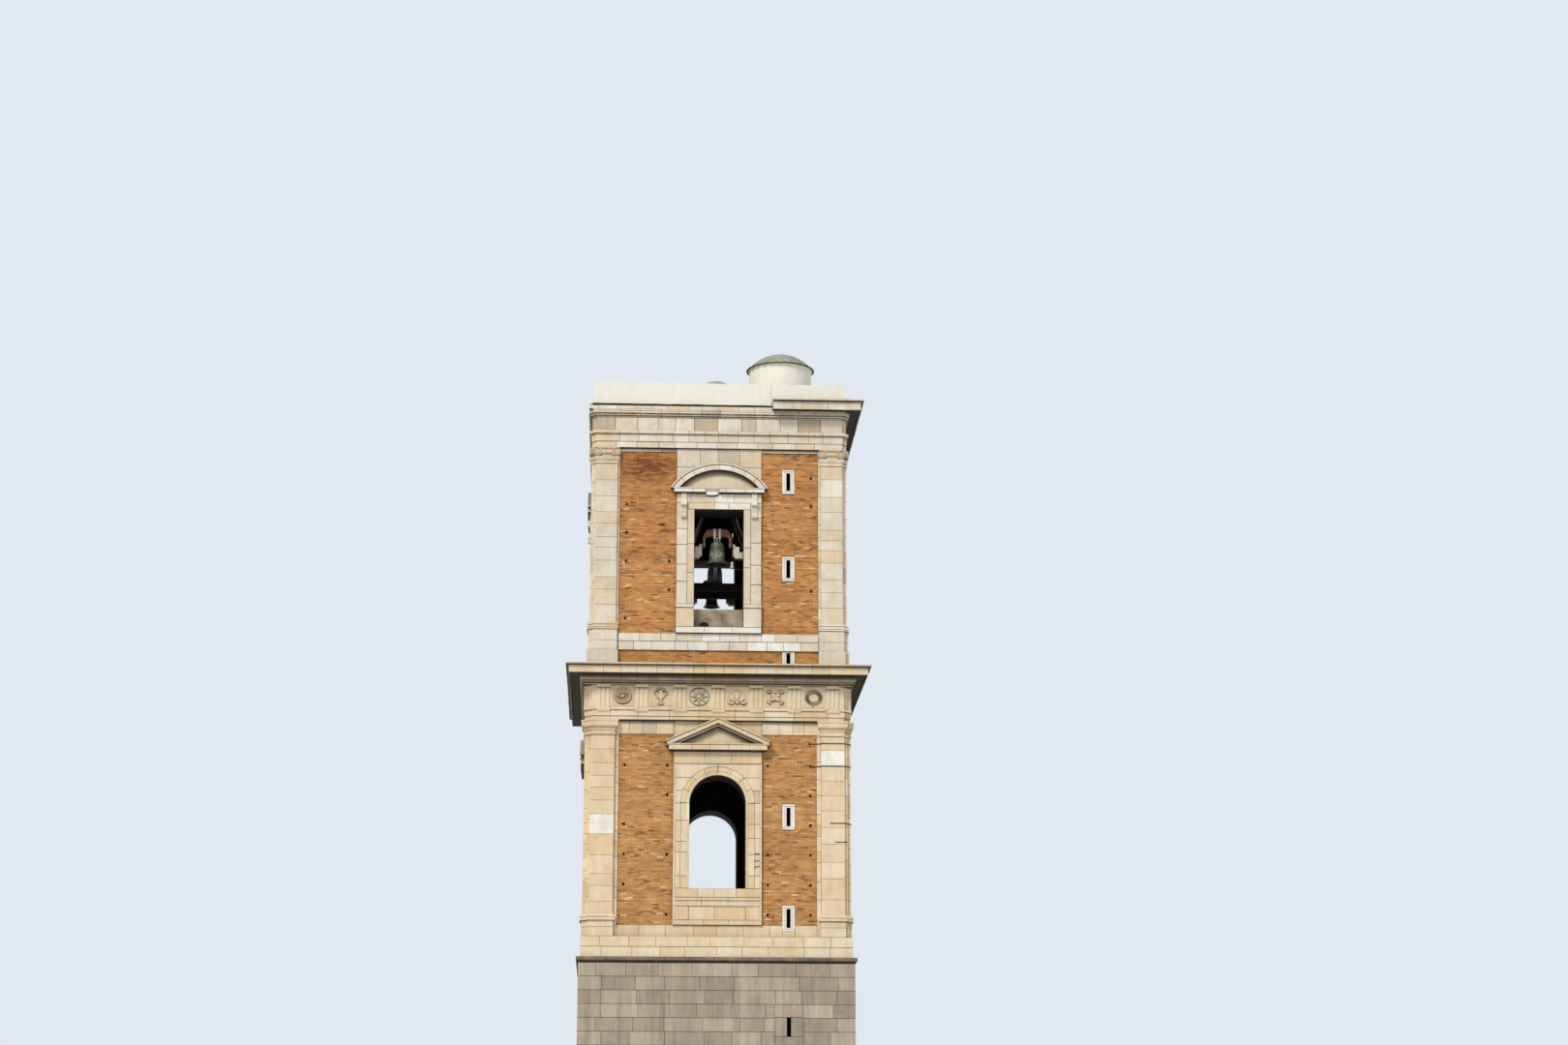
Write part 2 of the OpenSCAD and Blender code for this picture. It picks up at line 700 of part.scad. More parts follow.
// Triangular pediment over an arched opening: level cornice, two raking cornices and a sunk tympanum
module arch_pediment() {
    out = arch_pediment_out;
    z0 = arch_cornice_z + arch_cornice_h;
    apex_z = z0 + arch_pediment_rise;
    tip_x = arch_frame_x + arch_pediment_over + 50;
    eave_h = 62;
    slope = (arch_pediment_rise - eave_h) / tip_x;
    level_cornice(arch_frame_x, lower_brick, lower_brick, arch_pediment_over, out, arch_cornice_z,
        arch_cornice_h);
    intersection() {
        translate([0, -lower_core, 0]) {
            raking_layer(tip_x, apex_z, slope, 0, 24, lower_brick - lower_core + out + 12);
            raking_layer(tip_x - 22, apex_z, slope, 20, 96, lower_brick - lower_core + out - 12);
            raking_layer(tip_x - 60, apex_z, slope, 90, 150, lower_brick - lower_core + out * 0.55);
        }
        box(-LONG, LONG, -LONG, -lower_brick, z0 - 1, LONG);
    }
    box(-arch_frame_x, arch_frame_x, -lower_brick - 1, -lower_core, arch_cornice_z, doric_architrave_z);
    translate([0, -lower_core, 0]) rotate([90, 0, 0]) linear_extrude(height = arch_frame_y - lower_core)
        polygon([[-arch_frame_x, z0 - 1], [arch_frame_x, z0 - 1],
            [arch_frame_x, apex_z - 120 - slope * arch_frame_x], [0, apex_z - 120],
            [-arch_frame_x, apex_z - 120 - slope * arch_frame_x]]);
}

module arch_pediments() {
    color(marble) on_four_sides() arch_pediment();
}

// Marble frames let into the brick round the stair slits
module slit_frame(core, brick_face, z, hole_h = slit_h, frame_h = slit_frame_h) {
    difference() {
        slit_frame_void(-brick_face - slit_frame_out, -core, z, frame_h);
        slit_void(-brick_face - 50, -core + 1, z, hole_h);
        translate([slit_x, -brick_face - slit_frame_out, z])
            cube([slit_w + 70, 14, min(hole_h + 60, frame_h - 20)], center = true);
    }
}

module slit_frames() {
    color(marble) {
        for (z = lower_slits) slit_frame(lower_core, lower_brick, z);
        for (z = belfry_slits) slit_frame(belfry_core, belfry_brick, z);
        slit_frame(belfry_core, belfry_brick, band_slit, band_slit_h, brick_band_h);
    }
}

// Belfry storey

module belfry_wall() {
    difference() {
        box(-belfry_core, belfry_core, -belfry_core, -belfry_room, belfry_z, roof_z);
        window_void(-belfry_core - 1, -belfry_room + 1);
    }
}

module belfry_front_back_walls() {
    color(brick) {
        difference() {
            belfry_wall();
            for (z = belfry_slits) slit_void(-belfry_core - 1, -belfry_room + 1, z);
            slit_void(-belfry_core - 1, -belfry_room + 1, band_slit, band_slit_h);
        }
        rotate([0, 0, 180]) belfry_wall();
    }
}

module belfry_side_walls() {
    color(brick) for (turn = [90, 270]) rotate([0, 0, turn]) intersection() {
        belfry_wall();
        box(-belfry_room, belfry_room, -LONG, LONG, 0, roof_z);
    }
}

module belfry_brick_panels() {
    color(brick) {
        difference() {
            on_four_sides() brick_pair(window_frame_x, belfry_inner, belfry_core, belfry_brick,
                window_frame_foot, upper_architrave_z - belfry_strip_h);
            for (z = belfry_slits) slit_frame_void(-belfry_face, -belfry_room, z);
        }
        difference() {
            on_four_sides() box(-belfry_inner, belfry_inner, -belfry_brick, -belfry_core, belfry_z,
                belfry_z + brick_band_h);
            slit_frame_void(-belfry_face, -belfry_room, band_slit, brick_band_h + 2);
        }
    }
}

// Two courses over the brick band, and a strip over the brick
module belfry_courses() {
    color(marble) on_four_sides() {
        box(-belfry_inner, belfry_inner, -belfry_margin - 15, -belfry_core, belfry_z + brick_band_h,
            window_frame_foot);
        brick_pair(window_frame_x, belfry_inner, belfry_core, belfry_margin,
            upper_architrave_z - belfry_strip_h, upper_architrave_z);
    }
}

ionic_base_profile = concat([[44, 0], [44, belfry_base_h * 0.2]],
    arc_points(26, belfry_base_h * 0.36, belfry_base_h * 0.16, -90, 90, 4),
    [[16, belfry_base_h * 0.56], [14, belfry_base_h * 0.66]],
    arc_points(16, belfry_base_h * 0.78, belfry_base_h * 0.11, -90, 90, 4), [[8, belfry_base_h]]);

module belfry_pilasters() {
    plan = corner_plan(belfry_face, belfry_edge, belfry_margin, belfry_core, belfry_inner, belfry_pilaster_w);
    color(marble) on_four_sides() {
        translate([0, 0, belfry_z]) linear_extrude(height = ionic_capital_z - belfry_z) polygon(plan);
        translate([0, 0, belfry_z]) corner_moulding(belfry_face, belfry_edge, belfry_margin, belfry_core,
            belfry_pilaster_w, [[belfry_margin_w - 5, 0], [belfry_margin_w - 5, belfry_pedestal_step_h],
            [24, belfry_pedestal_step_h], [24, belfry_pedestal_h]]);
        translate([0, 0, belfry_base_z]) corner_moulding(belfry_face, belfry_edge, belfry_margin, belfry_core,
            belfry_pilaster_w, ionic_base_profile);
    }
}

ionic_neck_h = ionic_capital_h - 2 * volute_r;
ionic_neck_profile = concat([[2, 0]], arc_points(4, 22, 18, -90, 90, 4), [[0, 44], [0, ionic_neck_h * 0.45]],
    [[10, ionic_neck_h * 0.5], [26, ionic_neck_h * 0.75], [34, ionic_neck_h]]);

// One Ionic capital on the front: the band between the volutes, the two volutes and the abacus
module ionic_volutes() {
    half = belfry_pilaster_w / 2;
    reach = 52;
    z = ionic_neck_h + volute_r;
    depth = belfry_face - belfry_margin + reach;
    for (side = [-1, 1]) translate([side * half * 0.86, -belfry_margin, z]) rotate([90, 0, 0]) {
        cylinder(r = volute_r, h = depth - 14);
        difference() {
            cylinder(r = volute_r, h = depth);
            cylinder(r = volute_r * 0.72, h = 2 * depth);
        }
        cylinder(r = volute_r * 0.28, h = depth + 4);
    }
    box(-half * 0.86, half * 0.86, -belfry_face - reach + 20, -belfry_margin, z - volute_r * 0.3,
        z + volute_r * 0.7);
    box(-half - 30, half + 30, -belfry_face - reach + 6, -belfry_margin, z + volute_r * 0.7, ionic_capital_h);
}

module ionic_capitals() {
    plan = corner_plan(belfry_face, belfry_edge, belfry_margin, belfry_core, belfry_inner, belfry_pilaster_w);
    color(marble) translate([0, 0, ionic_capital_z]) on_four_sides() {
        linear_extrude(height = ionic_capital_h) polygon(plan);
        corner_moulding(belfry_face, belfry_edge, belfry_margin, belfry_core, belfry_pilaster_w,
            ionic_neck_profile);
        translate([belfry_pilaster_x, 0, 0]) mirror([0, 1, 0]) ionic_volutes();
        translate([0, belfry_pilaster_x, 0]) rotate([0, 0, 90]) ionic_volutes();
    }
}

// Marble round a bell opening: jambs with an inner architrave, sill, impost ledges and the panel above
module window_surround() {
    strip = 150;
    ledge_z = window_sill + parapet_h - 20;
    difference() {
        union() {
            box(-window_frame_x, window_frame_x, -window_frame_y, -belfry_core, window_frame_foot,
                window_cornice_z);
            box(-window_frame_x, window_frame_x, -belfry_brick - 30, -belfry_core, window_cornice_z,
                upper_architrave_z);
            box(-window_x - strip, window_x + strip, -window_frame_y - 16, -window_frame_y, window_sill,
                window_head + strip);
            for (side = [-1, 1]) translate([side * (window_x + window_surround_w / 2), 0, 0]) {
                box(-window_surround_w / 2 - 6, window_surround_w / 2, -window_frame_y - 46, -window_frame_y,
                    ledge_z, ledge_z + 75);
                box(-window_surround_w / 2, window_surround_w / 2, -window_frame_y - 26, -window_frame_y,
                    window_sill, ledge_z);
            }
            box(-window_frame_x, window_frame_x, -window_frame_y - 30, -window_frame_y, window_frame_foot,
                window_sill);
        }
        window_void(-belfry_face - 200, -belfry_core + 1);
    }
}

module window_surrounds() {
    color(marble) on_four_sides() window_surround();
}

// A pair of consoles under the ends of a segmental pediment, as scrolls seen from the side
module console_pair() {
    y = window_frame_y;
    h = console_h;
    out = console_out;
    x = window_frame_x - console_w / 2 - console_inset;
    for (side = [-1, 1]) translate([side * x, 0, window_cornice_z - h]) rotate([90, 0, 90])
        linear_extrude(height = console_w, center = true) polygon(concat([[-y, 0], [-y - out * 0.3, 0]],
            arc_points(-y - out * 0.3, h * 0.16, h * 0.16 - 1, -90, -180, 4),
            [[-y - out * 0.45, h * 0.42], [-y - out * 0.6, h * 0.56]],
            arc_points(-y - out * 0.55, h * 0.78, out * 0.45, 200, 120, 4),
            [[-y - out * 0.55, h], [-y, h]]));
}

module window_consoles() {
    color(marble) on_four_sides() console_pair();
}

// One layer of a curved cornice, between two radii, in front of the plane of the wall
module arc_layer(r0, r1, depth) {
    difference() {
        cylinder(r = r0, h = depth, $fn = 96);
        translate([0, 0, -1]) cylinder(r = r1, h = depth + 2, $fn = 96);
    }
}

// Segmental pediment over a bell opening: level cornice, curved cornice and a sunk tympanum
module window_pediment(broken) {
    out = window_pediment_out;
    half = window_frame_x + window_pediment_over;
    level_over = 62;
    z0 = window_cornice_z + window_cornice_h;
    rise = window_pediment_rise;
    r = (half * half + rise * rise) / (2 * rise);
    wall = belfry_brick + 30;
    difference() {
        union() {
            level_cornice(window_frame_x, wall, wall, level_over, out - 30, window_cornice_z, window_cornice_h);
            intersection() {
                translate([0, -wall, z0 + rise - r]) rotate([90, 0, 0]) {
                    arc_layer(r, r - 26, out - 30);
                    arc_layer(r - 22, r - 90, out - 48);
                    arc_layer(r - 84, r - 150, (out - 30) * 0.55);
                    cylinder(r = r - 140, h = 32, $fn = 96);
                }
                box(-half, half, -LONG, LONG, z0 - 1, z0 + rise);
            }
        }
        if (broken) box(-broken_w, 0, -wall - out, -wall - 34, window_cornice_z - 1, z0);
    }
}

module window_pediments() {
    color(marble) for (turn = [0 : 90 : 270]) rotate([0, 0, turn]) window_pediment(turn == 0);
}

module window_parapets() {
    y = belfry_core - 60;
    color(render) on_four_sides() box(-window_x, window_x, -y, -y + parapet_t, window_sill,
        window_sill + parapet_h);
}

upper_architrave_profile = concat([[0, 0], [0, upper_architrave_h * 0.38], [12, upper_architrave_h * 0.38],
    [12, upper_architrave_h * 0.72], [18, upper_architrave_h * 0.72]],
    arc_points(50, upper_architrave_h * 0.72, 32, 180, 110, 4),
    [[50, upper_architrave_h * 0.84], [50, upper_architrave_h]]);

// Architrave of two fasciae and a cap, with the plain frieze on it
module upper_entablature() {
    color(marble) translate([0, 0, upper_architrave_z]) folded_course(belfry_face, belfry_edge,
        belfry_margin, belfry_core, concat(upper_architrave_profile,
        [[0, upper_architrave_h], [0, upper_architrave_h + upper_frieze_h]]));
}

bed_profile = concat([[12, 0], [12, 18]], arc_points(12, 18 + 36, 36, -90, 0),
    [[cornice_bed_out - 8, cornice_bed_h * 0.45], [cornice_bed_out, cornice_bed_h * 0.5],
    [cornice_bed_out, cornice_bed_h]]);
crown_profile = concat([[cornice_bed_out + 5, 0], [cornice_crown_out - 95, 0], [cornice_crown_out - 95, -12],
    [cornice_crown_out - 70, -12], [cornice_crown_out - 70, cornice_crown_h * 0.5]],
    arc_points(cornice_crown_out - 14, cornice_crown_h * 0.5, 56, 180, 105, 5),
    [[cornice_crown_out, cornice_crown_h - 52], [cornice_crown_out, cornice_crown_h - 12],
    [cornice_bed_out, cornice_crown_h]]);

// The upper cornice: bed mouldings all round, the crown on the back, the right and part of the front,
// and the stump of its blocks where the crown has fallen
module upper_cornice() {
    color(marble) translate([0, 0, upper_cornice_z]) {
        folded_course(belfry_face, belfry_edge, belfry_margin, belfry_core, bed_profile);
        translate([0, 0, cornice_bed_h]) {
            difference() {
                square_course(belfry_face, attic_face, [[cornice_bed_out, 0],
                    [cornice_bed_out - 8, cornice_stump_h * 0.8], [cornice_bed_out - 30, cornice_stump_h]]);
                box(crown_break_x, LONG, -LONG, LONG, -1, LONG);
                box(-LONG, LONG, attic_face, LONG, -1, LONG);
            }
            difference() {
                moulded_block(belfry_face, belfry_face, crown_profile);
                box(-attic_face, attic_face, -attic_face, attic_face, -99, cornice_crown_h + 1);
                box(-LONG, crown_break_x, -LONG, 0, -99, LONG);
                box(-LONG, -attic_face, -LONG, attic_face, -99, LONG);
            }
        }
    }
}

// Roof

module attic_wall() {
    color(render) translate([0, 0, roof_z + attic_h / 2]) difference() {
        cube([2 * attic_face, 2 * attic_face, attic_h], center = true);
        cube([2 * attic_inner, 2 * attic_inner, 2 * attic_h], center = true);
    }
}

// A low dome over a round wall
module dome_cap(r, rise) {
    ball = (r * r + rise * rise) / (2 * rise);
    intersection() {
        translate([0, 0, rise - ball]) sphere(r = ball, $fn = 96);
        cylinder(r = r + 1, h = rise + 1, $fn = 96);
    }
}

module roof_lantern() {
    color(render) translate([0, 0, terrace_z]) {
        cylinder(r = lantern_r, h = lantern_h);
        translate([0, 0, lantern_h]) dome_cap(lantern_r, lantern_r * 0.78);
    }
}

module stair_turret() {
    door_r = turret_r + 50;
    color(render) translate([turret_x, -turret_y, terrace_z]) difference() {
        cylinder(r = turret_r, h = turret_h);
        translate([0, 0, -1]) cylinder(r = turret_r - turret_wall_t, h = turret_h + 2);
        rotate([0, 0, 90]) box(0, door_r, -200, 200, -1, turret_h - 260);
    }
}

module turret_dome() {
    eaves_t = 34;
    color(grey_stone) translate([turret_x, -turret_y, terrace_z + turret_h]) {
        cylinder(r = turret_r + eaves_out, h = eaves_t);
        translate([0, 0, eaves_t]) dome_cap(turret_r + 30, turret_dome_rise - eaves_t);
    }
}

module floor_slab(half, t, top) {
    translate([0, 0, top - t / 2]) cube([2 * half, 2 * half, t], center = true);
}

// Floors of the lower storey and the belfry, and the slab of the roof terrace
module floor_slabs() {
    color(grey_stone) {
        floor_slab(lower_room, floor_t, pedestal_z);
        floor_slab(lower_room, floor_t, belfry_z);
        floor_slab(attic_inner, terrace_t, terrace_z);
    }
}

// Bells

// Outer radius of a bell at height z above its lip
function bell_outer(r, h, z) = let (t = z / h)
    r * (0.555 + 0.30 * exp(-5.5 * t) + 0.145 * exp(-16 * t)) - r * 0.10 * pow(t, 8);

// A bell with its lip at the origin, hollow below, with its crown loops on top
module bell(r, h, crown_h) {
    steps = 12;
    wall = r * 0.075;
    outer = [for (i = [0 : steps]) [bell_outer(r, h * 0.94, h * 0.94 * i / steps), h * 0.94 * i / steps]];
    inner = [for (i = [0 : steps - 1]) let (z = h * 0.9 * i / (steps - 1))
        [bell_outer(r, h * 0.94, z) - wall * (1 + 0.9 * exp(-14 * z / h)), z]];
    rotate_extrude() polygon(concat(outer, [[r * 0.3, h], [0, h], [0, h * 0.9]],
        [for (i = [steps - 1 : -1 : 0]) inner[i]]));
    loop_r = crown_h * 0.34;
    translate([0, 0, h - 2]) cylinder(r = loop_r * 0.5, h = crown_h + 2);
    for (turn = [45, 135]) rotate([0, 0, turn]) translate([0, 0, h + loop_r * 1.3]) rotate([90, 0, 0])
        rotate_extrude() translate([loop_r * 1.2, 0]) circle(r = loop_r * 0.3);
}

// The yoke that a bell hangs from, with its pivots at the origin along X and its bearings at bearing_x
module yoke(share, bearing_x) {
    leg_x = yoke_half * share;
    leg_w = 58 * share;
    top = yoke_top * share;
    under = yoke_under * share;
    foot = 38 * share;
    thick = 120 * share;
    rotate([90, 0, 0]) linear_extrude(height = thick, center = true) polygon([
        [-leg_x, -foot], [-leg_x, top * 0.52], [-leg_x * 0.78, top * 0.88], [-leg_x * 0.6, top],
        [leg_x * 0.6, top], [leg_x * 0.78, top * 0.88], [leg_x, top * 0.52], [leg_x, -foot],
        [leg_x - leg_w, -foot], [leg_x - leg_w, under * 0.8], [leg_x * 0.62, under], [-leg_x * 0.62, under],
        [-leg_x + leg_w, under * 0.8], [-leg_x + leg_w, -foot]]);
    for (side = [-1, 1]) {
        translate([side * (leg_x - leg_w / 2), 0, 0]) rotate([0, 90 * side, 0])
            cylinder(r = gudgeon_r, h = bearing_x + bearing_w - leg_x + leg_w / 2);
        translate([side * 95 * share, 0, top - 1]) cylinder(r = 9 * share, h = 40 * share);
    }
}

// A clapper on the bell's axis, hung from the inside of the crown
module clapper(r, h) {
    ball = r * 0.17;
    translate([0, 0, ball * 0.9]) sphere(r = ball);
    cylinder(r = r * 0.07, h = h * 0.9);
    translate([0, 0, -ball * 0.9]) cylinder(r1 = r * 0.045, r2 = r * 0.08, h = ball * 1.2);
}

// The place of a bell's lip: x, y, turn about the vertical and share of the front bell's size
module place_bell(x, y, turn, share) {
    translate([x, y, bell_pivot]) rotate([0, 0, turn]) translate([0, 0, -bell_drop * share]) children();
}

module sized_bell(share) {
    bell(bell_r * share, bell_h * share, (yoke_under - bell_h + bell_drop) * share);
}

module front_bell() {
    color(bronze) place_bell(bell_x, -bell_y, 0, 1) sized_bell(1);
}

module rear_bell() {
    color(bronze) place_bell(0, bell_y, 0, rear_bell_share) sized_bell(rear_bell_share);
}

module middle_bell() {
    color(bronze) place_bell(0, 0, 90, middle_bell_share) sized_bell(middle_bell_share);
}

module front_clapper() {
    color(iron) place_bell(bell_x, -bell_y, 0, 1) clapper(bell_r, bell_h);
}

module rear_clapper() {
    color(iron) place_bell(0, bell_y, 0, rear_bell_share)
        clapper(bell_r * rear_bell_share, bell_h * rear_bell_share);
}

module middle_clapper() {
    color(iron) place_bell(0, 0, 90, middle_bell_share)
        clapper(bell_r * middle_bell_share, bell_h * middle_bell_share);
}

module front_yoke() {
    color(rust_red) translate([bell_x, -bell_y, bell_pivot]) yoke(1, pin_end_x);
}

module rear_yoke() {
    color(rust_red) translate([0, bell_y, bell_pivot]) yoke(rear_bell_share, pin_end_x);
}

module middle_yoke() {
    color(rust_red) translate([0, 0, bell_pivot]) rotate([0, 0, 90])
        yoke(middle_bell_share, yoke_half * middle_bell_share + yoke_gap);
}

// A bearing block with its bore along X
module bearing() {
    difference() {
        box(0, bearing_w, -bearing_half, bearing_half, -bearing_foot, bearing_top);
        translate([-1, 0, 0]) rotate([0, 90, 0]) cylinder(r = gudgeon_r + running_gap, h = bearing_w + 2);
    }
}

// Corbels on both jambs of an opening at depth y, each with a bearing on its pad, for a bell at bell_at
module corbel_pair(y, bell_at) {
    for (side = [-1, 1]) translate([0, y, bell_pivot]) mirror([side > 0 ? 0 : 1, 0, 0]) {
        x = pin_end_x + side * bell_at;
        difference() {
            box(x, x + corbel_w, -corbel_half, corbel_half, -corbel_drop, 1 - bearing_foot);
            translate([x, -corbel_half - 1, -corbel_drop]) rotate([-90, 0, 0])
                cylinder(r = corbel_hollow_r, h = 2 * corbel_half + 2);
        }
        box(x + corbel_w - 1, window_x, -corbel_half, corbel_half, -corbel_drop,
            corbel_ledge_h - corbel_drop);
        translate([x, 0, 0]) bearing();
    }
}

module bell_corbels() {
    color(marble) {
        corbel_pair(-bell_y, bell_x);
        corbel_pair(bell_y, 0);
    }
}

// Trestle of two raking frames that carries the middle bell between them
trestle_top_x = 159;
trestle_foot_x = belfry_room - 200;
trestle_y = yoke_half * middle_bell_share + yoke_gap + bearing_w / 2;
girder_z = pivot_z - girder_drop - girder_h;

// Distance of a leg's centre line from the frame's middle at height z above the belfry floor
function leg_x(z) = trestle_foot_x - (trestle_foot_x - trestle_top_x) * z / trestle_h;

// A level member of a frame, between the centre lines of its legs
module level_member(z, h) {
    polygon([[-leg_x(z), z], [leg_x(z), z], [leg_x(z + h), z + h], [-leg_x(z + h), z + h]]);
}

module trestle_frame() {
    m = trestle_member;
    half = m / 2;
    translate([trestle_x, 0, 0]) rotate([90, 0, 0]) linear_extrude(height = m, center = true) {
        for (side = [-1, 1]) polygon([[side * leg_x(0) - half, 0], [side * leg_x(0) + half, 0],
            [side * leg_x(trestle_h) + half, trestle_h], [side * leg_x(trestle_h) - half, trestle_h]]);
        level_member(trestle_h - m, m);
        level_member(girder_z, girder_h);
    }
    post_z = girder_z + girder_h;
    translate([-bearing_half, -half, post_z - 1]) cube([2 * bearing_half, m, pivot_z - bearing_foot - post_z + 1]);
}

module bell_trestle() {
    m = trestle_member;
    tie_z = girder_z + girder_h / 2;
    color(light_steel) translate([0, 0, belfry_z]) for (side = [-1, 1]) {
        translate([0, side * trestle_y, 0]) trestle_frame();
        translate([trestle_x + side * leg_x(tie_z), 0, tie_z])
            cube([m * 0.8, 2 * trestle_y, m * 0.8], center = true);
        translate([trestle_x + side * trestle_foot_x, 0, 15])
            cube([2 * m, 2 * (trestle_y + m), 30], center = true);
        translate([0, side * (trestle_y - bearing_w / 2), pivot_z]) rotate([0, 0, 90 * side]) bearing();
    }
}

ground_plinth();
base_front_back_walls();
base_side_walls();
door_surround();
string_course();
plinth_courses();
lower_front_back_walls();
lower_side_walls();
lower_brick_panels();
lower_pilasters();
doric_capitals();
arch_surrounds();
arch_pediments();
slit_frames();
doric_architrave();
doric_frieze();
main_cornice();
belfry_front_back_walls();
belfry_side_walls();
belfry_brick_panels();
belfry_courses();
belfry_pilasters();
ionic_capitals();
window_surrounds();
window_consoles();
window_pediments();
window_parapets();
upper_entablature();
upper_cornice();
attic_wall();
roof_lantern();
stair_turret();
turret_dome();
floor_slabs();
bell_trestle();
bell_corbels();
front_bell();
front_yoke();
front_clapper();
middle_bell();
middle_yoke();
middle_clapper();
rear_bell();
rear_yoke();
rear_clapper();
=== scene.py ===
# %% [markdown]
# # A bell tower of brick and marble
# The solids of the tower come in as a fixed frame. This notebook dresses them: each step tells what a
# piece is on the real tower, how it could be made, and why this way was chosen. Lengths are metres of
# the half-size model, +Z is up and the front faces -Y.

# %% Frame
import math

import bpy
import numpy as np
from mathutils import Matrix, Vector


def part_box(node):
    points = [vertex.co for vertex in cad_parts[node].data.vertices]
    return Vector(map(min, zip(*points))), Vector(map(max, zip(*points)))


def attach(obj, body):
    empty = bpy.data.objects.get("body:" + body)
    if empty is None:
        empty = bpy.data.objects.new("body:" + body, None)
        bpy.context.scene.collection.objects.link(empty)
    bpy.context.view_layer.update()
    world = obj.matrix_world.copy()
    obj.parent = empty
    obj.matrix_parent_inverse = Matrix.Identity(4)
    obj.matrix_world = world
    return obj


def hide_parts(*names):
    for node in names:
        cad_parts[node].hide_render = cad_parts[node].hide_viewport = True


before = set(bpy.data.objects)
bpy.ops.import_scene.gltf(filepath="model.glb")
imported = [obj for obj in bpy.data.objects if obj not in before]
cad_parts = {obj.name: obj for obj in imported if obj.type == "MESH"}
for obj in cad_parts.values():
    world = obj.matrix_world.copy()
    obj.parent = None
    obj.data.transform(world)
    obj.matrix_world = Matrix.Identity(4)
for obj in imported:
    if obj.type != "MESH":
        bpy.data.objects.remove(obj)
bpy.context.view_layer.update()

# %% [markdown]
# ## Camera, light and floor
# The tower was seen from the ground, from far off and a little to its left, so its verticals lean in.
# A real camera tilted up does the same. One broad soft sun from the upper left gives the short shadows
# under the cornices, and a pale sky fills them.

# %% Camera
scene = bpy.context.scene
camera_data = bpy.data.cameras.new("camera")
camera_data.lens = 71.11
camera_data.sensor_width = 36.0
camera_data.clip_start, camera_data.clip_end = 1.0, 1000.0
camera = bpy.data.objects.new("camera", camera_data)
camera.location = (-2.134, -68.205, 0.8)
camera.rotation_euler = (math.radians(90 + 14.238), 0.0, math.radians(-3.107))
scene.collection.objects.link(camera)
scene.camera = camera
print("camera", [round(v, 3) for v in camera.location])

# %% Light and world
sun_data = bpy.data.lights.new("soft_sun", "SUN")
sun_data.energy = 2.05
sun_data.angle = math.radians(14)
sun = bpy.data.objects.new("soft_sun", sun_data)
sun.rotation_euler = (math.radians(48), 0.0, math.radians(-32))
scene.collection.objects.link(sun)

world = bpy.data.worlds.new("pale_sky")
world.use_nodes = True
sky_tree = world.node_tree
sky = sky_tree.nodes["Background"]
sky.inputs["Color"].default_value = (0.93, 0.96, 1.0, 1.0)
sky.inputs["Strength"].default_value = 0.69
seen_sky = sky_tree.nodes.new("ShaderNodeBackground")
seen_sky.inputs["Color"].default_value = (0.76, 0.81, 0.87, 1.0)
seen_sky.inputs["Strength"].default_value = 1.0
ray = sky_tree.nodes.new("ShaderNodeLightPath")
choose = sky_tree.nodes.new("ShaderNodeMixShader")
sky_tree.links.new(ray.outputs["Is Camera Ray"], choose.inputs["Fac"])
sky_tree.links.new(sky.outputs[0], choose.inputs[1])
sky_tree.links.new(seen_sky.outputs[0], choose.inputs[2])
sky_tree.links.new(choose.outputs[0], sky_tree.nodes["World Output"].inputs["Surface"])
scene.world = world
scene.view_settings.view_transform = "Standard"
print("sun", sun_data.energy, "sky", sky.inputs["Strength"].default_value)

# %% [markdown]
# ## Levels and half widths
# The main heights come from the solids, so a storey that moves there moves here too. The plan is a
# square with folded corners: each pilaster stands in front of a marble margin, the margin in front of
# the brick, and the brick in front of the rubble core.


# %% Levels
def foot(node):
    """Lowest height of a node."""
    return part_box(node)[0].z


def head(node):
    """Greatest height of a node."""
    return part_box(node)[1].z


LOWER = dict(face=2.85, margin=2.775, brick=2.755, core=2.64, edge=2.71, inner=2.115, pilaster=0.5)
BELFRY = dict(face=2.79, margin=2.735, brick=2.715, core=2.60, edge=2.695, inner=2.165, pilaster=0.475)
BASE_FACE, BASE_ROOM = 2.915, 2.015
LOWER_Z = foot("plinth_courses")
PEDESTAL_Z = foot("lower_pilasters")
BRICK_FOOT = foot("lower_brick_panels")
DORIC_Z = foot("doric_capitals")
ARCHITRAVE_Z = foot("doric_architrave")
FRIEZE_Z = foot("doric_frieze")
CORNICE_Z = foot("main_cornice")
BELFRY_Z = head("main_cornice")
IONIC_Z = foot("ionic_capitals")
UPPER_Z = foot("upper_entablature")
UPPER_CORNICE_Z = head("upper_entablature")
ROOF_Z = foot("attic_wall")
SLIT_X = 1.515
SLIT_HALF = 0.042
FRAME_HALF = 0.135
chance = np.random.default_rng(11)
print("levels", [round(z, 3) for z in (LOWER_Z, CORNICE_Z, BELFRY_Z, UPPER_Z, ROOF_Z)])

# %% [markdown]
# ## Cut stone as arrays
# Every block of marble is a closed tube: an outline carried from one section to the next. At its ends
# the outline is drawn in a little, which bevels the arris, so that two blocks that touch leave the thin
# V-shaped joint of real masonry. One function serves level courses, drums of a pilaster, arch stones
# and raking cornices, because only the path of the sections differs. Each block carries a tone of its own,
# and dirt in its joints with painted shade under its ledges, as attributes for the material to read.


# %% Block arrays
# Bevels of a stone's ends, of a drum and of a moulded stone, and how far a face may stand back
JOINT, BEVEL, MOULD_JOINT, WANDER = 0.0065, 0.005, 0.004, 0.0015
X_AXIS, Y_AXIS, Z_AXIS = np.eye(3)[:, None]


def block_tone():
    """A tone for one block: nearly always from the middle of the range, and now and then a new white
    stone or a grey one."""
    draw = chance.random()
    return 0.08 + 0.8 * draw if 0.02 < draw < 0.975 else draw


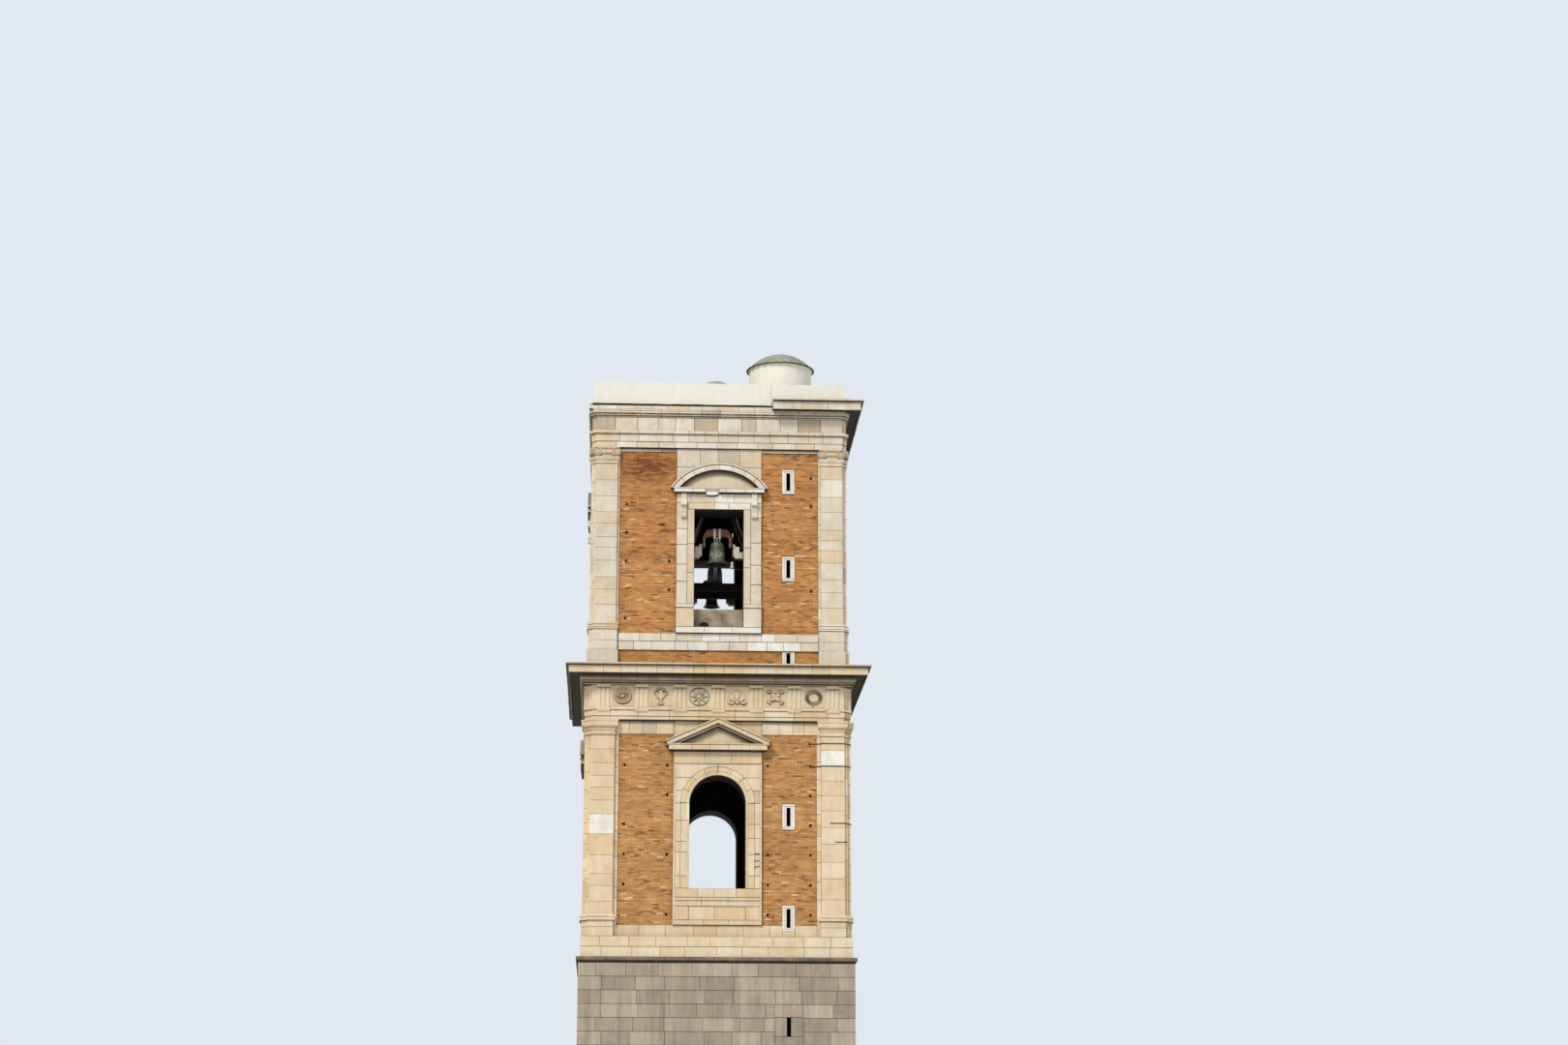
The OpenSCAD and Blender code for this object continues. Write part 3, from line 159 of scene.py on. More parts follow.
def bisectors(outline):
    """For each corner of an outline, the move that shifts both its edges out by one: the sum of the
    two edge normals over one plus their dot product, held back at very sharp corners."""
    step = np.roll(outline, -1, 0) - outline
    normal = np.stack([step[:, 1], -step[:, 0]], 1) / np.linalg.norm(step, axis=1)[:, None]
    both = normal + np.roll(normal, 1, 0)
    return both * 2 / np.maximum((both**2).sum(1), 0.8)[:, None]


def tube_faces(count, corners):
    """Quads round a tube of count rings, and the cap polygons at both its ends."""
    index = np.arange(count * corners).reshape(count, corners)
    a, b = index[:-1], index[1:]
    quads = np.stack([a, np.roll(a, -1, 1), np.roll(b, -1, 1), b], -1).reshape(-1, 4)
    return [quads, np.stack([index[0, ::-1], index[-1]])]


def prism(outline, origins, p_axes, q_axes, out=0.0, dirt_and_shade=0.0, tone=0.5):
    """One closed block. Corner (p, q) of the outline, moved out by out[s], stands in section s at
    origin[s] + p * p_axis[s] + q * q_axis[s]. A third column of the outline is dirt and painted shade on
    that corner. A corner that repeats the one before it is left out."""
    outline = np.asarray(outline, float)
    outline = outline[np.abs(outline - np.roll(outline, 1, 0))[:, :2].max(1) > 1e-6]
    x, y = outline[:, 0], outline[:, 1]
    if (x * np.roll(y, -1) - y * np.roll(x, -1)).sum() < 0:
        outline = outline[::-1]
    origins = np.asarray(origins, float)
    count = len(origins)
    p_axes, q_axes = (np.broadcast_to(np.asarray(axes, float), (count, 3)) for axes in (p_axes, q_axes))
    move = np.broadcast_to(out, count)[:, None, None] * bisectors(outline[:, :2])
    pq = outline[None, :, :2] + move
    v = origins[:, None] + pq[..., :1] * p_axes[:, None] + pq[..., 1:] * q_axes[:, None]
    corners = outline.shape[0]
    own = outline[:, 2] if outline.shape[1] > 2 else np.zeros(corners)
    grime_and_shade = np.maximum(np.broadcast_to(dirt_and_shade, count)[:, None], own[None, :])
    faces = tube_faces(count, corners)
    if np.dot(np.cross(p_axes[0], q_axes[0]), v[1].mean(0) - v[0].mean(0)) < 0:
        faces = [array[:, ::-1] for array in faces]
    return [v.reshape(-1, 3), faces, np.full(count * corners, tone), grime_and_shade.ravel()]


def boxes(low, high, tone=None):
    """Many closed boxes at once, from their low and high corners. Corner k of a box takes x, y and z
    from the low or the high corner by the three binary digits of k."""
    low, high = np.atleast_2d(low).astype(float), np.atleast_2d(high).astype(float)
    pick = np.array([[k & 1, k >> 1 & 1, k >> 2 & 1] for k in range(8)])
    v = np.where(pick[None], high[:, None], low[:, None])
    face = np.array([[0, 2, 3, 1], [4, 5, 7, 6], [0, 1, 5, 4], [2, 6, 7, 3], [0, 4, 6, 2], [1, 3, 7, 5]])
    quads = (np.arange(len(low))[:, None, None] * 8 + face[None]).reshape(-1, 4)
    tone = chance.random(len(low)) if tone is None else np.broadcast_to(tone, len(low))
    return [v.reshape(-1, 3), [quads], np.repeat(tone, 8), np.zeros(len(low) * 8)]


def grid_tube(points, tone=0.5, dirt_and_shade=0.0):
    """A closed tube from a grid of points[s, k]: rings of k corners, section by section, with a cap
    polygon at both ends."""
    size = points.shape[0] * points.shape[1]
    return [points.reshape(-1, 3), tube_faces(*points.shape[:2]), np.full(size, tone),
            np.broadcast_to(dirt_and_shade, size).copy()]


def turned(part, quarter):
    """A part turned about the tower's axis by quarters of a turn."""
    angle = quarter * math.pi / 2
    c, s = round(math.cos(angle)), round(math.sin(angle))
    turn = np.array([[c, s, 0], [-s, c, 0], [0, 0, 1]], float)
    return [part[0] @ turn, part[1], part[2], part[3]]


def on_sides(make):
    """What a function makes for the front, made anew and turned onto each side."""
    return [turned(part, side) for side in range(4) for part in make(side)]


# %% Mesh from parts
def piece(name, parts, material, body="tower", replaces=(), smooth=None):
    """Joins parts into one mesh, stores tone and dirt with painted shade on its points, and rides it on its body."""
    offsets = np.cumsum([0] + [len(part[0]) for part in parts])
    v = np.concatenate([part[0] for part in parts])
    faces = [array + offset for part, offset in zip(parts, offsets) for array in part[1]]
    corners = np.concatenate([array.ravel() for array in faces])
    sizes = np.concatenate([np.full(len(array), array.shape[1]) for array in faces])
    mesh = bpy.data.meshes.new(name)
    mesh.vertices.add(len(v))
    mesh.vertices.foreach_set("co", v.astype(np.float32).ravel())
    mesh.loops.add(len(corners))
    mesh.loops.foreach_set("vertex_index", corners.astype(np.int32))
    mesh.polygons.add(len(sizes))
    mesh.polygons.foreach_set("loop_start", (np.cumsum(sizes) - sizes).astype(np.int32))
    for title, column in (("tone", 2), ("dirt_and_shade", 3)):
        values = np.concatenate([part[column] for part in parts])
        mesh.attributes.new(title, "FLOAT", "POINT").data.foreach_set("value", values.astype(np.float32))
    mesh.update(calc_edges=True)
    mesh.polygons.foreach_set("use_smooth", np.full(len(sizes), smooth is not None))
    if smooth is not None:
        mesh.set_sharp_from_angle(angle=math.radians(smooth))
    mesh.materials.append(material)
    thing = bpy.data.objects.new(name, mesh)
    scene.collection.objects.link(thing)
    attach(thing, body)
    if replaces:
        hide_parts(*replaces)
    triangles = int((sizes - 2).sum())
    print(f"{name}: {len(parts)} parts, {triangles} triangles")
    return thing


# %% Paths and courses
def walk(points, reach=1.0, ends=None):
    """A broken line with, at each point, the mitre that moves its two runs to their right by reach.
    For run normals a and b with dot product c and reaches r and t, the mitre is
    ((r - c t) a + (t - c r) b) / (1 - c c), or (a + b) r / (1 + c) where the line hardly bends."""
    points = np.asarray(points, float)
    step = np.diff(points, axis=0)
    length = np.linalg.norm(step, axis=1)
    normal = np.stack([step[:, 1], -step[:, 0]], 1) / length[:, None]
    reach = np.broadcast_to(reach, len(step)).astype(float)
    a, b = normal[:-1], normal[1:]
    r, t = reach[:-1, None], reach[1:, None]
    c = (a * b).sum(1)[:, None]
    bent = ((r - c * t) * a + (t - c * r) * b) / np.maximum(1 - c * c, 1e-6)
    mitre = np.where(c > 0.9, (a + b) * r / (1 + c), bent)
    first, last = ends if ends else (normal[0] * reach[0], normal[-1] * reach[-1])
    return dict(points=points, step=step, length=length, normal=normal * reach[:, None],
                mitre=np.vstack([first, mitre, last]), at=np.concatenate([[0], np.cumsum(length)]))


def on_path(path, s):
    """Points of a path at the distances s along it, and the number of the run that holds each."""
    run = np.clip(np.searchsorted(path["at"], s + 1e-9, side="right") - 1, 0, len(path["step"]) - 1)
    share = ((s - path["at"][run]) / path["length"][run])[:, None]
    return path["points"][run] + share * path["step"][run], run


def sections(path, start, stop, joint):
    """Points and offset directions of a path from one distance to another, with a section a joint's
    width inside each end and one at each bend between."""
    at = path["at"]
    inner = at[(at > start + joint * 1.5) & (at < stop - joint * 1.5)]
    s = np.concatenate([[start, start + joint], inner, [stop - joint, stop]])
    points, run = on_path(path, s)
    direction = path["normal"][run]
    for bend, place in enumerate(at):
        direction[np.abs(s - place) < 1e-6] = path["mitre"][bend]
    return points, direction


def level(z):
    """Sections of a level course: a profile's p goes outwards in plan and its q upwards from z."""
    def place(points, direction):
        origins = np.column_stack([points, np.full(len(points), z)])
        return origins, np.column_stack([direction, np.zeros(len(points))]), Z_AXIS
    return place


def upright(face):
    """Sections of a course in the front's own plane: p comes forwards from the plane y = -face and q
    goes outwards from a path of (x, z) points."""
    def place(points, direction):
        origins = np.column_stack([points[:, 0], np.full(len(points), -face), points[:, 1]])
        outward = np.column_stack([direction[:, 0], np.zeros(len(points)), direction[:, 1]])
        return origins, -Y_AXIS, outward
    return place


def course(path, spans, profile, place, joint=JOINT, wander=0.0, tones=None):
    """The stones of one course: the profile swept along each span of the path, with bevelled ends."""
    stones = []
    for number, (start, stop) in enumerate(spans):
        points, direction = sections(path, start, stop, joint)
        origins, p_axes, q_axes = place(points, direction)
        out, dirt_and_shade = np.zeros((2, len(origins)))
        out[[0, -1]], dirt_and_shade[[0, -1]] = -joint, 1.0
        shape = np.array(profile, float)
        shape[:, 0] -= chance.uniform(0, 2 * wander)
        tone = block_tone() if tones is None else tones[number]
        stones.append(prism(shape, origins, p_axes, q_axes, out, dirt_and_shade, tone))
    return stones


def cuts(start, stop, pitch, wander=0.18):
    """Joints between two ends at about one pitch, each strayed by a share of it."""
    count = max(1, round((stop - start) / pitch))
    share = np.arange(count + 1) / count
    share[1:-1] += chance.uniform(-wander, wander, count - 1) / count
    return start + (stop - start) * share


def spans(joints):
    """Neighbouring joints as pairs."""
    return list(zip(joints[:-1], joints[1:]))


def ring(corner):
    """A closed walk round the tower from the middle of its back. The corner is given at +X, -Y, as
    points from the front to the right side, and is turned onto the other three."""
    corner = np.asarray(corner, float)
    quarter = np.array([[0.0, 1.0], [-1.0, 0.0]])
    middle = [[0.0, -corner[0, 1]]]
    turns = [np.linalg.matrix_power(quarter, k) for k in (2, 3, 0, 1)]
    path = walk(np.vstack([middle] + [corner @ turn for turn in turns] + [middle]))
    size = len(corner)
    path["runs"] = [(path["at"][size * k], path["at"][size * k + 1]) for k in range(5)]
    return path


def ring_spans(path, pitch, corner=0.3):
    """Stones of a course that runs right round: joints along each side, and one stone in each corner."""
    joints = []
    for number, (start, stop) in enumerate(path["runs"]):
        low = start if number == 0 else start + corner * chance.uniform(0.8, 1.25)
        high = stop if number == 4 else stop - corner * chance.uniform(0.8, 1.25)
        joints.extend(cuts(low, high, pitch))
    return spans(np.array(joints))


def square(half):
    """The walk round a plain square."""
    return ring([[half, -half]])


def folded(plan):
    """The walk round a storey whose pilasters fold round the corners."""
    face, edge, margin = plan["face"], plan["edge"], plan["margin"]
    return ring([[edge, -face], [edge, -margin], [margin, -margin], [margin, -edge], [face, -edge]])


def ashlar(height, depth):
    """Outline of a plain squared stone with bevelled arrises, as (p, q, dirt)."""
    return [[-JOINT, 0, 1], [0, JOINT, 0], [0, height - JOINT, 0], [-JOINT, height, 1],
            [-depth, height, 1], [-depth, 0, 1]]


def either_side(sign, a, b):
    """Two distances from the axis as a low and a high x on one side of it."""
    return sorted((sign * a, sign * b))


print("helpers ready")

# %% [markdown]
# ## Finishes
# Old marble is never one colour: each block has a tone of its own, rain washes streaks down it, soot
# clings under the ledges where rain can't reach, and lichen darkens what faces the sky. Shade under the
# ledges is painted into the colour as well. The material reads the block's tone, its dirt and painted
# shade, the surface's own direction and a few noises on object coordinates.


# %% Node helpers
def put(tree, kind, inputs=(), **settings):
    """Adds a shader node, sets it, and fills its inputs with values or links."""
    node = tree.nodes.new("ShaderNode" + kind)
    for key, value in settings.items():
        setattr(node, key, value)
    for key, value in dict(inputs).items():
        if isinstance(value, bpy.types.NodeSocket):
            tree.links.new(value, node.inputs[key])
        else:
            node.inputs[key].default_value = value
    return node


def noise(tree, vector, scale, detail=4.0, roughness=0.6):
    return put(tree, "TexNoise", {"Vector": vector, "Scale": scale, "Detail": detail,
                                  "Roughness": roughness}).outputs["Fac"]


def ramp(tree, factor, stops):
    """A colour ramp from (place, grey or colour) stops."""
    node = put(tree, "ValToRGB", {"Fac": factor})
    elements = node.color_ramp.elements
    while len(elements) < len(stops):
        elements.new(0.5)
    for element, (place, colour) in zip(elements, stops):
        colour = (colour,) * 3 if isinstance(colour, (int, float)) else colour
        element.position, element.color = place, (*colour, 1.0)
    return node.outputs["Color"]


def blend(tree, factor, a, b, kind="MIX"):
    """Mixes two colours."""
    node = put(tree, "Mix", data_type="RGBA", blend_type=kind)
    for socket, value in ((node.inputs[0], factor), (node.inputs[6], a), (node.inputs[7], b)):
        if isinstance(value, bpy.types.NodeSocket):
            tree.links.new(value, socket)
        elif isinstance(value, (int, float)):
            socket.default_value = value if socket.type == "VALUE" else (value, value, value, 1.0)
        else:
            socket.default_value = (*value, 1.0)
    return node.outputs[2]


def times(tree, a, b):
    return put(tree, "Math", {0: a, 1: b}, operation="MULTIPLY").outputs[0]


def plus(tree, a, b):
    return put(tree, "Math", {0: a, 1: b}, operation="ADD").outputs[0]


def tint(tree, colour, shade, share=1.0):
    """A colour multiplied by a shade."""
    return blend(tree, share, colour, shade, "MULTIPLY")


def attribute(tree, name):
    return put(tree, "Attribute", attribute_name=name).outputs["Fac"]


def finish(name, roughness=0.8, metallic=0.0, specular=0.35):
    """A new material: its tree, shader and object coordinates."""
    material = bpy.data.materials.new(name)
    material.use_nodes = True
    tree = material.node_tree
    shader = tree.nodes["Principled BSDF"]
    shader.inputs["Roughness"].default_value = roughness
    shader.inputs["Metallic"].default_value = metallic
    shader.inputs["Specular IOR Level"].default_value = specular
    coordinates = put(tree, "TexCoord").outputs
    return material, tree, shader, coordinates


def bump(tree, shader, height, strength=0.5, distance=0.004):
    node = put(tree, "Bump", {"Height": height, "Strength": strength, "Distance": distance})
    tree.links.new(node.outputs[0], shader.inputs["Normal"])


def stretched(tree, vector, scale):
    """Coordinates scaled per axis, for streaks that run along one of them."""
    return put(tree, "Mapping", {"Vector": vector, "Scale": scale}).outputs[0]


def streaked(tree, where, colour, scale, stops, share):
    """Rain streaks over a colour, from a noise that is drawn out downwards."""
    runs = ramp(tree, noise(tree, stretched(tree, where, scale), 1.0, 6.0, 0.7), stops)
    return blend(tree, share, colour, tint(tree, colour, runs))


# %% Stone finish
# Colour of soot, pits and painted shade, and the scale of the grain
SOOT_AND_SHADE, GRAIN = (0.03, 0.022, 0.014), 30.0


def stone(name, tones, soffit_shade=0.93, top=0.5, streak=0.16, cell=None, pits=0.5):
    """Weathered cut stone. The base colour comes from a ramp over the block's tone, or over a random
    value for each cell of space on pieces that carry no tone. Patches, rain streaks, pits, soot and
    painted shade under ledges, dirt in joints with the painted shade that the profiles carry, and dark
    tops are mixed over it in turn."""
    material, tree, shader, coordinates = finish(name, 0.85)
    where, normal = coordinates["Object"], coordinates["Normal"]
    if cell:
        cells = put(tree, "VectorMath", {0: where, 1: cell}, operation="DIVIDE").outputs[0]
        cells = put(tree, "VectorMath", {0: cells}, operation="FLOOR").outputs[0]
        tone = put(tree, "TexWhiteNoise", {"Vector": cells}).outputs["Value"]
    else:
        tone = attribute(tree, "tone")
    colour = ramp(tree, tone, tones)
    patches = ramp(tree, noise(tree, where, 1.7, 6.0), [(0.3, 0.86), (0.5, 1.0), (0.75, 1.06)])
    colour = tint(tree, colour, patches)
    warm = ramp(tree, noise(tree, where, 3.1, 5.0, 0.7), [(0.45, 0.0), (0.72, 1.0)])
    colour = blend(tree, times(tree, warm, 0.4), colour, (0.60, 0.40, 0.2))
    colour = streaked(tree, where, colour, (7.0, 7.0, 0.7), [(0.42, 1.0), (0.78, 0.0)], streak)
    speck = ramp(tree, noise(tree, where, GRAIN, 5.0, 0.75), [(0.28, 0.78), (0.42, 0.99), (0.7, 1.04)])
    colour = tint(tree, colour, speck)
    hole = ramp(tree, noise(tree, where, GRAIN * 0.7, 3.0, 0.5), [(0.235, 1.0), (0.27, 0.0)])
    colour = blend(tree, times(tree, hole, pits), colour, SOOT_AND_SHADE)
    # Faces that look down get soot and painted shade under the ledges; faces that look up get lichen
    up = put(tree, "SeparateXYZ", {0: normal}).outputs["Z"]
    ragged = plus(tree, up, times(tree, noise(tree, where, 5.0, 6.0, 0.7), 0.5))
    under = ramp(tree, plus(tree, ragged, 0.6), [(0.12, 1.0), (0.5, 0.0)])
    colour = blend(tree, times(tree, under, soffit_shade), colour, SOOT_AND_SHADE)
    over = ramp(tree, ragged, [(0.75, 0.0), (0.95, 1.0)])
    colour = blend(tree, times(tree, over, top), colour, (0.11, 0.1, 0.075))
    # The block's own attribute: dirt in its joints and painted shade lines under its ledges
    dirt_and_shade = attribute(tree, "dirt_and_shade")
    colour = blend(tree, times(tree, dirt_and_shade, 0.92), colour, SOOT_AND_SHADE)
    tree.links.new(colour, shader.inputs["Base Color"])
    relief = plus(tree, noise(tree, where, GRAIN, 6.0, 0.7),
                  times(tree, noise(tree, where, 6.0, 3.0), 1.5))
    bump(tree, shader, relief, 0.45, 0.006)
    return material


CREAM = [(0.0, (0.89, 0.85, 0.75)), (0.035, (0.83, 0.75, 0.60)), (0.07, (0.80, 0.68, 0.49)),
         (0.35, (0.775, 0.62, 0.42)), (0.6, (0.755, 0.585, 0.375)), (0.82, (0.735, 0.535, 0.31)),
         (0.93, (0.69, 0.56, 0.40)), (1.0, (0.55, 0.45, 0.32))]
IVORY = [(0.0, (0.88, 0.84, 0.75)), (0.06, (0.82, 0.755, 0.645)), (0.3, (0.755, 0.67, 0.53)),
         (0.6, (0.71, 0.615, 0.46)), (0.78, (0.735, 0.585, 0.385)), (0.93, (0.67, 0.57, 0.44)),
         (1.0, (0.52, 0.45, 0.35))]
WORN = [(0.0, (0.82, 0.75, 0.61)), (0.2, (0.79, 0.68, 0.52)), (0.42, (0.76, 0.61, 0.39)),
        (0.6, (0.56, 0.45, 0.31)), (0.8, (0.70, 0.61, 0.46)), (1.0, (0.42, 0.35, 0.26))]
CORBEL = [(0.0, (0.75, 0.74, 0.60)), (0.5, (0.68, 0.66, 0.51)), (1.0, (0.62, 0.56, 0.42))]
GREY_ASHLAR = [(0.0, (0.50, 0.43, 0.33)), (0.4, (0.40, 0.34, 0.26)), (0.75, (0.33, 0.28, 0.22)),
               (1.0, (0.45, 0.36, 0.25))]
lower_marble = stone("lower_marble", CREAM)
upper_marble = stone("upper_marble", IVORY)
shaft_marble = stone("shaft_marble", CREAM, soffit_shade=0.3, top=0.3)
shaft_upper = stone("shaft_upper", IVORY, soffit_shade=0.3, top=0.3)
frieze_marble = stone("frieze_marble", WORN, soffit_shade=0.6, top=0.3, streak=0.25)
corbel_marble = stone("corbel_marble", CORBEL, cell=(0.9, 0.9, 0.9), soffit_shade=0.25, top=0.2, streak=0.5)
carved_marble = stone("carved_marble", CREAM, cell=(0.82, 0.82, 0.9), streak=0.3)
ashlar_stone = stone("ashlar_stone", GREY_ASHLAR, streak=0.4, pits=0.8)
dark_string = stone("dark_string", [(0.0, (0.2, 0.16, 0.12)), (1.0, (0.13, 0.11, 0.09))], streak=0.4)

# %% [markdown]
# The core of the walls, the vault of the arches and the belfry are painted near black as shade. Render
# is a smooth lime plaster, off-white where it is clean and brown where rain runs over it.


# %% Other finishes
def plain_finish(name, colours, scale=3.0, roughness=0.85, metallic=0.0, relief=0.3, streak=0.0,
                 grain=40.0):
    """A matt surface whose colour wanders between two or three colours, with optional rain streaks."""
    material, tree, shader, coordinates = finish(name, roughness, metallic)
    where = coordinates["Object"]
    stops = [(0.32 + 0.36 * k / max(1, len(colours) - 1), c) for k, c in enumerate(colours)]
    colour = ramp(tree, noise(tree, where, scale, 7.0, 0.65), stops)
    if streak:
        colour = streaked(tree, where, colour, (9.0, 9.0, 0.8), [(0.45, 1.0), (0.8, 0.0)], streak)
    fine = noise(tree, where, grain, 6.0, 0.7)
    colour = tint(tree, colour, ramp(tree, fine, [(0.3, 0.88), (0.6, 1.04)]))
    dirt_and_shade = attribute(tree, "dirt_and_shade")
    colour = blend(tree, times(tree, dirt_and_shade, 0.8), colour, (0.05, 0.04, 0.03))
    tree.links.new(colour, shader.inputs["Base Color"])
    bump(tree, shader, fine, relief)
    return material


core_painted_shade = plain_finish("core_painted_shade", [(0.010, 0.009, 0.008), (0.03, 0.022, 0.016)], 2.0, 0.95)
clean_render = plain_finish("clean_render", [(0.825, 0.775, 0.65), (0.86, 0.82, 0.715)], 1.2, streak=0.06)
# The turret's render is a lighter, cooler copy of the clean render, painted light for its shaded sides
turret_render = plain_finish("turret_render", [(0.83, 0.805, 0.66), (0.87, 0.85, 0.73)], 1.6, streak=0.1)
stained_render = plain_finish("stained_render",
                              [(0.23, 0.17, 0.11), (0.40, 0.32, 0.22), (0.55, 0.48, 0.37)],
                              3.0, streak=0.4)
dome_render = plain_finish("dome_render", [(0.23, 0.225, 0.18), (0.38, 0.37, 0.30)], 2.5, streak=0.2)
# The mortar is brown, and darkened further as painted shade in the recessed joints between the bricks
mortar = plain_finish("mortar", [(0.15, 0.07, 0.025), (0.40, 0.24, 0.11)], 6.0, 0.95, grain=90.0)
slab_stone = plain_finish("slab_stone", [(0.16, 0.14, 0.11), (0.27, 0.24, 0.2)], 2.0)
tile_clay = plain_finish("tile_clay", [(0.022, 0.018, 0.014), (0.085, 0.065, 0.045)], 7.0)
black_iron = plain_finish("black_iron", [(0.015, 0.012, 0.01), (0.05, 0.03, 0.02)], 14.0, 0.7, 0.4)


def brick_finish(name, tones):
    """Fired brick: a ramp over each brick's tone, speckle within a brick, soot patches and bump."""
    material, tree, shader, coordinates = finish(name, 0.9)
    where = coordinates["Object"]
    tone = attribute(tree, "tone")
    colour = ramp(tree, tone, tones)
    patches = noise(tree, stretched(tree, where, (1.0, 1.0, 1.6)), 1.3, 7.0, 0.68)
    colour = tint(tree, colour, ramp(tree, patches, [(0.3, 0.68), (0.5, 1.0), (0.72, 1.12)]))
    lime = ramp(tree, noise(tree, where, 5.0, 6.0, 0.75), [(0.6, 0.0), (0.8, 1.0)])
    colour = blend(tree, times(tree, lime, 0.3), colour, (0.68, 0.46, 0.26))
    speck = noise(tree, where, 70.0, 5.0, 0.8)
    colour = tint(tree, colour, ramp(tree, speck, [(0.3, 0.75), (0.65, 1.12)]))
    stain = attribute(tree, "dirt_and_shade")
    colour = blend(tree, stain, colour, (0.17, 0.048, 0.012))
    tree.links.new(colour, shader.inputs["Base Color"])
    bump(tree, shader, speck, 0.6)
    return material


lower_clay = brick_finish("lower_clay", [(0.0, (0.20, 0.07, 0.02)), (0.2, (0.43, 0.19, 0.06)),
                                         (0.55, (0.57, 0.285, 0.095)), (0.9, (0.66, 0.355, 0.135)),
                                         (1.0, (0.77, 0.51, 0.25))])
belfry_clay = brick_finish("belfry_clay", [(0.0, (0.18, 0.055, 0.015)), (0.2, (0.42, 0.16, 0.045)),
                                           (0.55, (0.58, 0.26, 0.078)), (0.9, (0.66, 0.335, 0.125)),
                                           (1.0, (0.75, 0.48, 0.23))])
print("materials:", len(bpy.data.materials))

# %% [markdown]
# ## Base storey
# The lowest storey is plain ashlar with a doorway at the back and three slits for the stair. It could
# be one wall with a drawn pattern, but its joints show at the corners, so it is laid course by course
# with stones as thick as the wall.


# %% Base ashlar
SLIVER = 0.1


def gapped(path_spans, gaps):
    """Spans with the gaps taken out. A sliver beside a gap becomes part of the stone next to it."""
    for low, high in gaps:
        before = [(a, min(b, low)) for a, b in path_spans if a < low - 0.001]
        after = [(max(a, high), b) for a, b in path_spans if b > high + 0.001]
        if len(before) > 1 and before[-1][1] - before[-1][0] < SLIVER and before[-2][1] == before[-1][0]:
            before[-2:] = [(before[-2][0], before[-1][1])]
        if len(after) > 1 and after[0][1] - after[0][0] < SLIVER and after[0][1] == after[1][0]:
            after[:2] = [(after[0][0], after[1][1])]
        path_spans = before + after
    return path_spans


DOOR_HALF, DOOR_HEAD = 0.32, 1.26
STONE_HALF, SLIT_REACH = 0.3, 0.2
base_ring = square(BASE_FACE)
front_middle = base_ring["runs"][2][0] + BASE_FACE
total = base_ring["at"][-1]
base_slits = [LOWER_Z - 1.45, LOWER_Z - 3.6, LOWER_Z - 5.75]
heights = np.concatenate([np.linspace(0, DOOR_HEAD, 5),
                          np.linspace(DOOR_HEAD, foot("string_course"), 24)[1:]])
base_parts = []
slit_beds = [(heights[heights < z - SLIT_REACH].max(),
              heights[heights > z + SLIT_REACH].min()) for z in base_slits]
for low, high in spans(heights):
    laid = ring_spans(base_ring, 0.72, 0.45)
    gaps = [(front_middle + SLIT_X - STONE_HALF, front_middle + SLIT_X + STONE_HALF)
            for bed in slit_beds if low > bed[0] - 0.01 and high < bed[1] + 0.01]
    if high < DOOR_HEAD + 0.01:
        gaps += [(-1.0, DOOR_HALF), (total - DOOR_HALF, total + 1.0)]
    base_parts += course(base_ring, gapped(laid, gaps), ashlar(high - low, BASE_FACE - BASE_ROOM),
                         level(low),
                         wander=0.002)


def face_block(outline, face, back, joint=JOINT, tone=None):
    """A stone with an outline in (x, z), from a plane at the back to its bevelled face at the front."""
    origins = [[0, -back, 0], [0, -face + joint, 0], [0, -face, 0]]
    tone = block_tone() if tone is None else tone
    return prism(outline, origins, X_AXIS, Z_AXIS, [0, 0, -joint], [1, 1, 0], tone)


def rectangle(x0, x1, z0, z1):
    return [[x0, z0], [x1, z0], [x1, z1], [x0, z1]]


slit_left, slit_right = SLIT_X - STONE_HALF, SLIT_X + STONE_HALF
for (low, high), z in zip(slit_beds, base_slits):
    under, over = z - SLIT_REACH, z + SLIT_REACH
    for row in ((slit_left, slit_right, low, under), (slit_left, slit_right, over, high),
                (slit_left, SLIT_X - SLIT_HALF, under, over),
                (SLIT_X + SLIT_HALF, slit_right, under, over)):
        base_parts.append(face_block(rectangle(*row), BASE_FACE, BASE_ROOM))
piece("base_ashlar", base_parts, ashlar_stone,
      replaces=("base_front_back_walls", "base_side_walls"))

# %% Ground plinth and string course
plinth_z = head("ground_plinth")
plinth_profile = [[-0.05, 0, 1], [0.07, 0, 0], [0.07, plinth_z - 0.06, 0], [0.0385, plinth_z - 0.025, 0],
                  [0.012, plinth_z, 0], [-0.05, plinth_z, 1]]
door_gap = [(-1.0, 0.45), (total - 0.45, total + 1.0)]
piece("ground_plinth_stones", course(base_ring, gapped(ring_spans(base_ring, 0.9, 0.5), door_gap),
                                     plinth_profile, level(0.0)),
      ashlar_stone, replaces=("ground_plinth",))
string_z = foot("string_course")
string_h = head("string_course") - string_z
string_profile = [[-0.8, 0, 1], [-0.01, 0, 1], [0.03, string_h * 0.3, 0], [0.045, string_h * 0.45, 0],
                  [0.045, string_h * 0.9, 0], [0.033, string_h, 0], [-0.8, string_h, 1]]
piece("string_stones", course(base_ring, ring_spans(base_ring, 0.8, 0.5), string_profile, level(string_z)),
      dark_string, replaces=("string_course",))

# %% [markdown]
# ## Lower storey
# A plinth of two marble courses carries the storey, with a third course between the pedestals. The
# panels behind are real brickwork, laid brick by brick on a bed of mortar, because the ragged courses
# and the open putlog holes of the builders' scaffold catch the light in a way a flat pattern can't.


# %% Straight bands and panels
def band(low, high, z, height, face, depth, pitch, profile=None, gaps=()):
    """A level course on the front only, from x = low to x = high, with gaps in x left open."""
    path = walk([[low, -face], [high, -face]])
    laid = gapped(spans(cuts(0, high - low, pitch)), [(a - low, b - low) for a, b in gaps])
    return course(path, laid, profile or ashlar(height, depth), level(z), wander=WANDER)


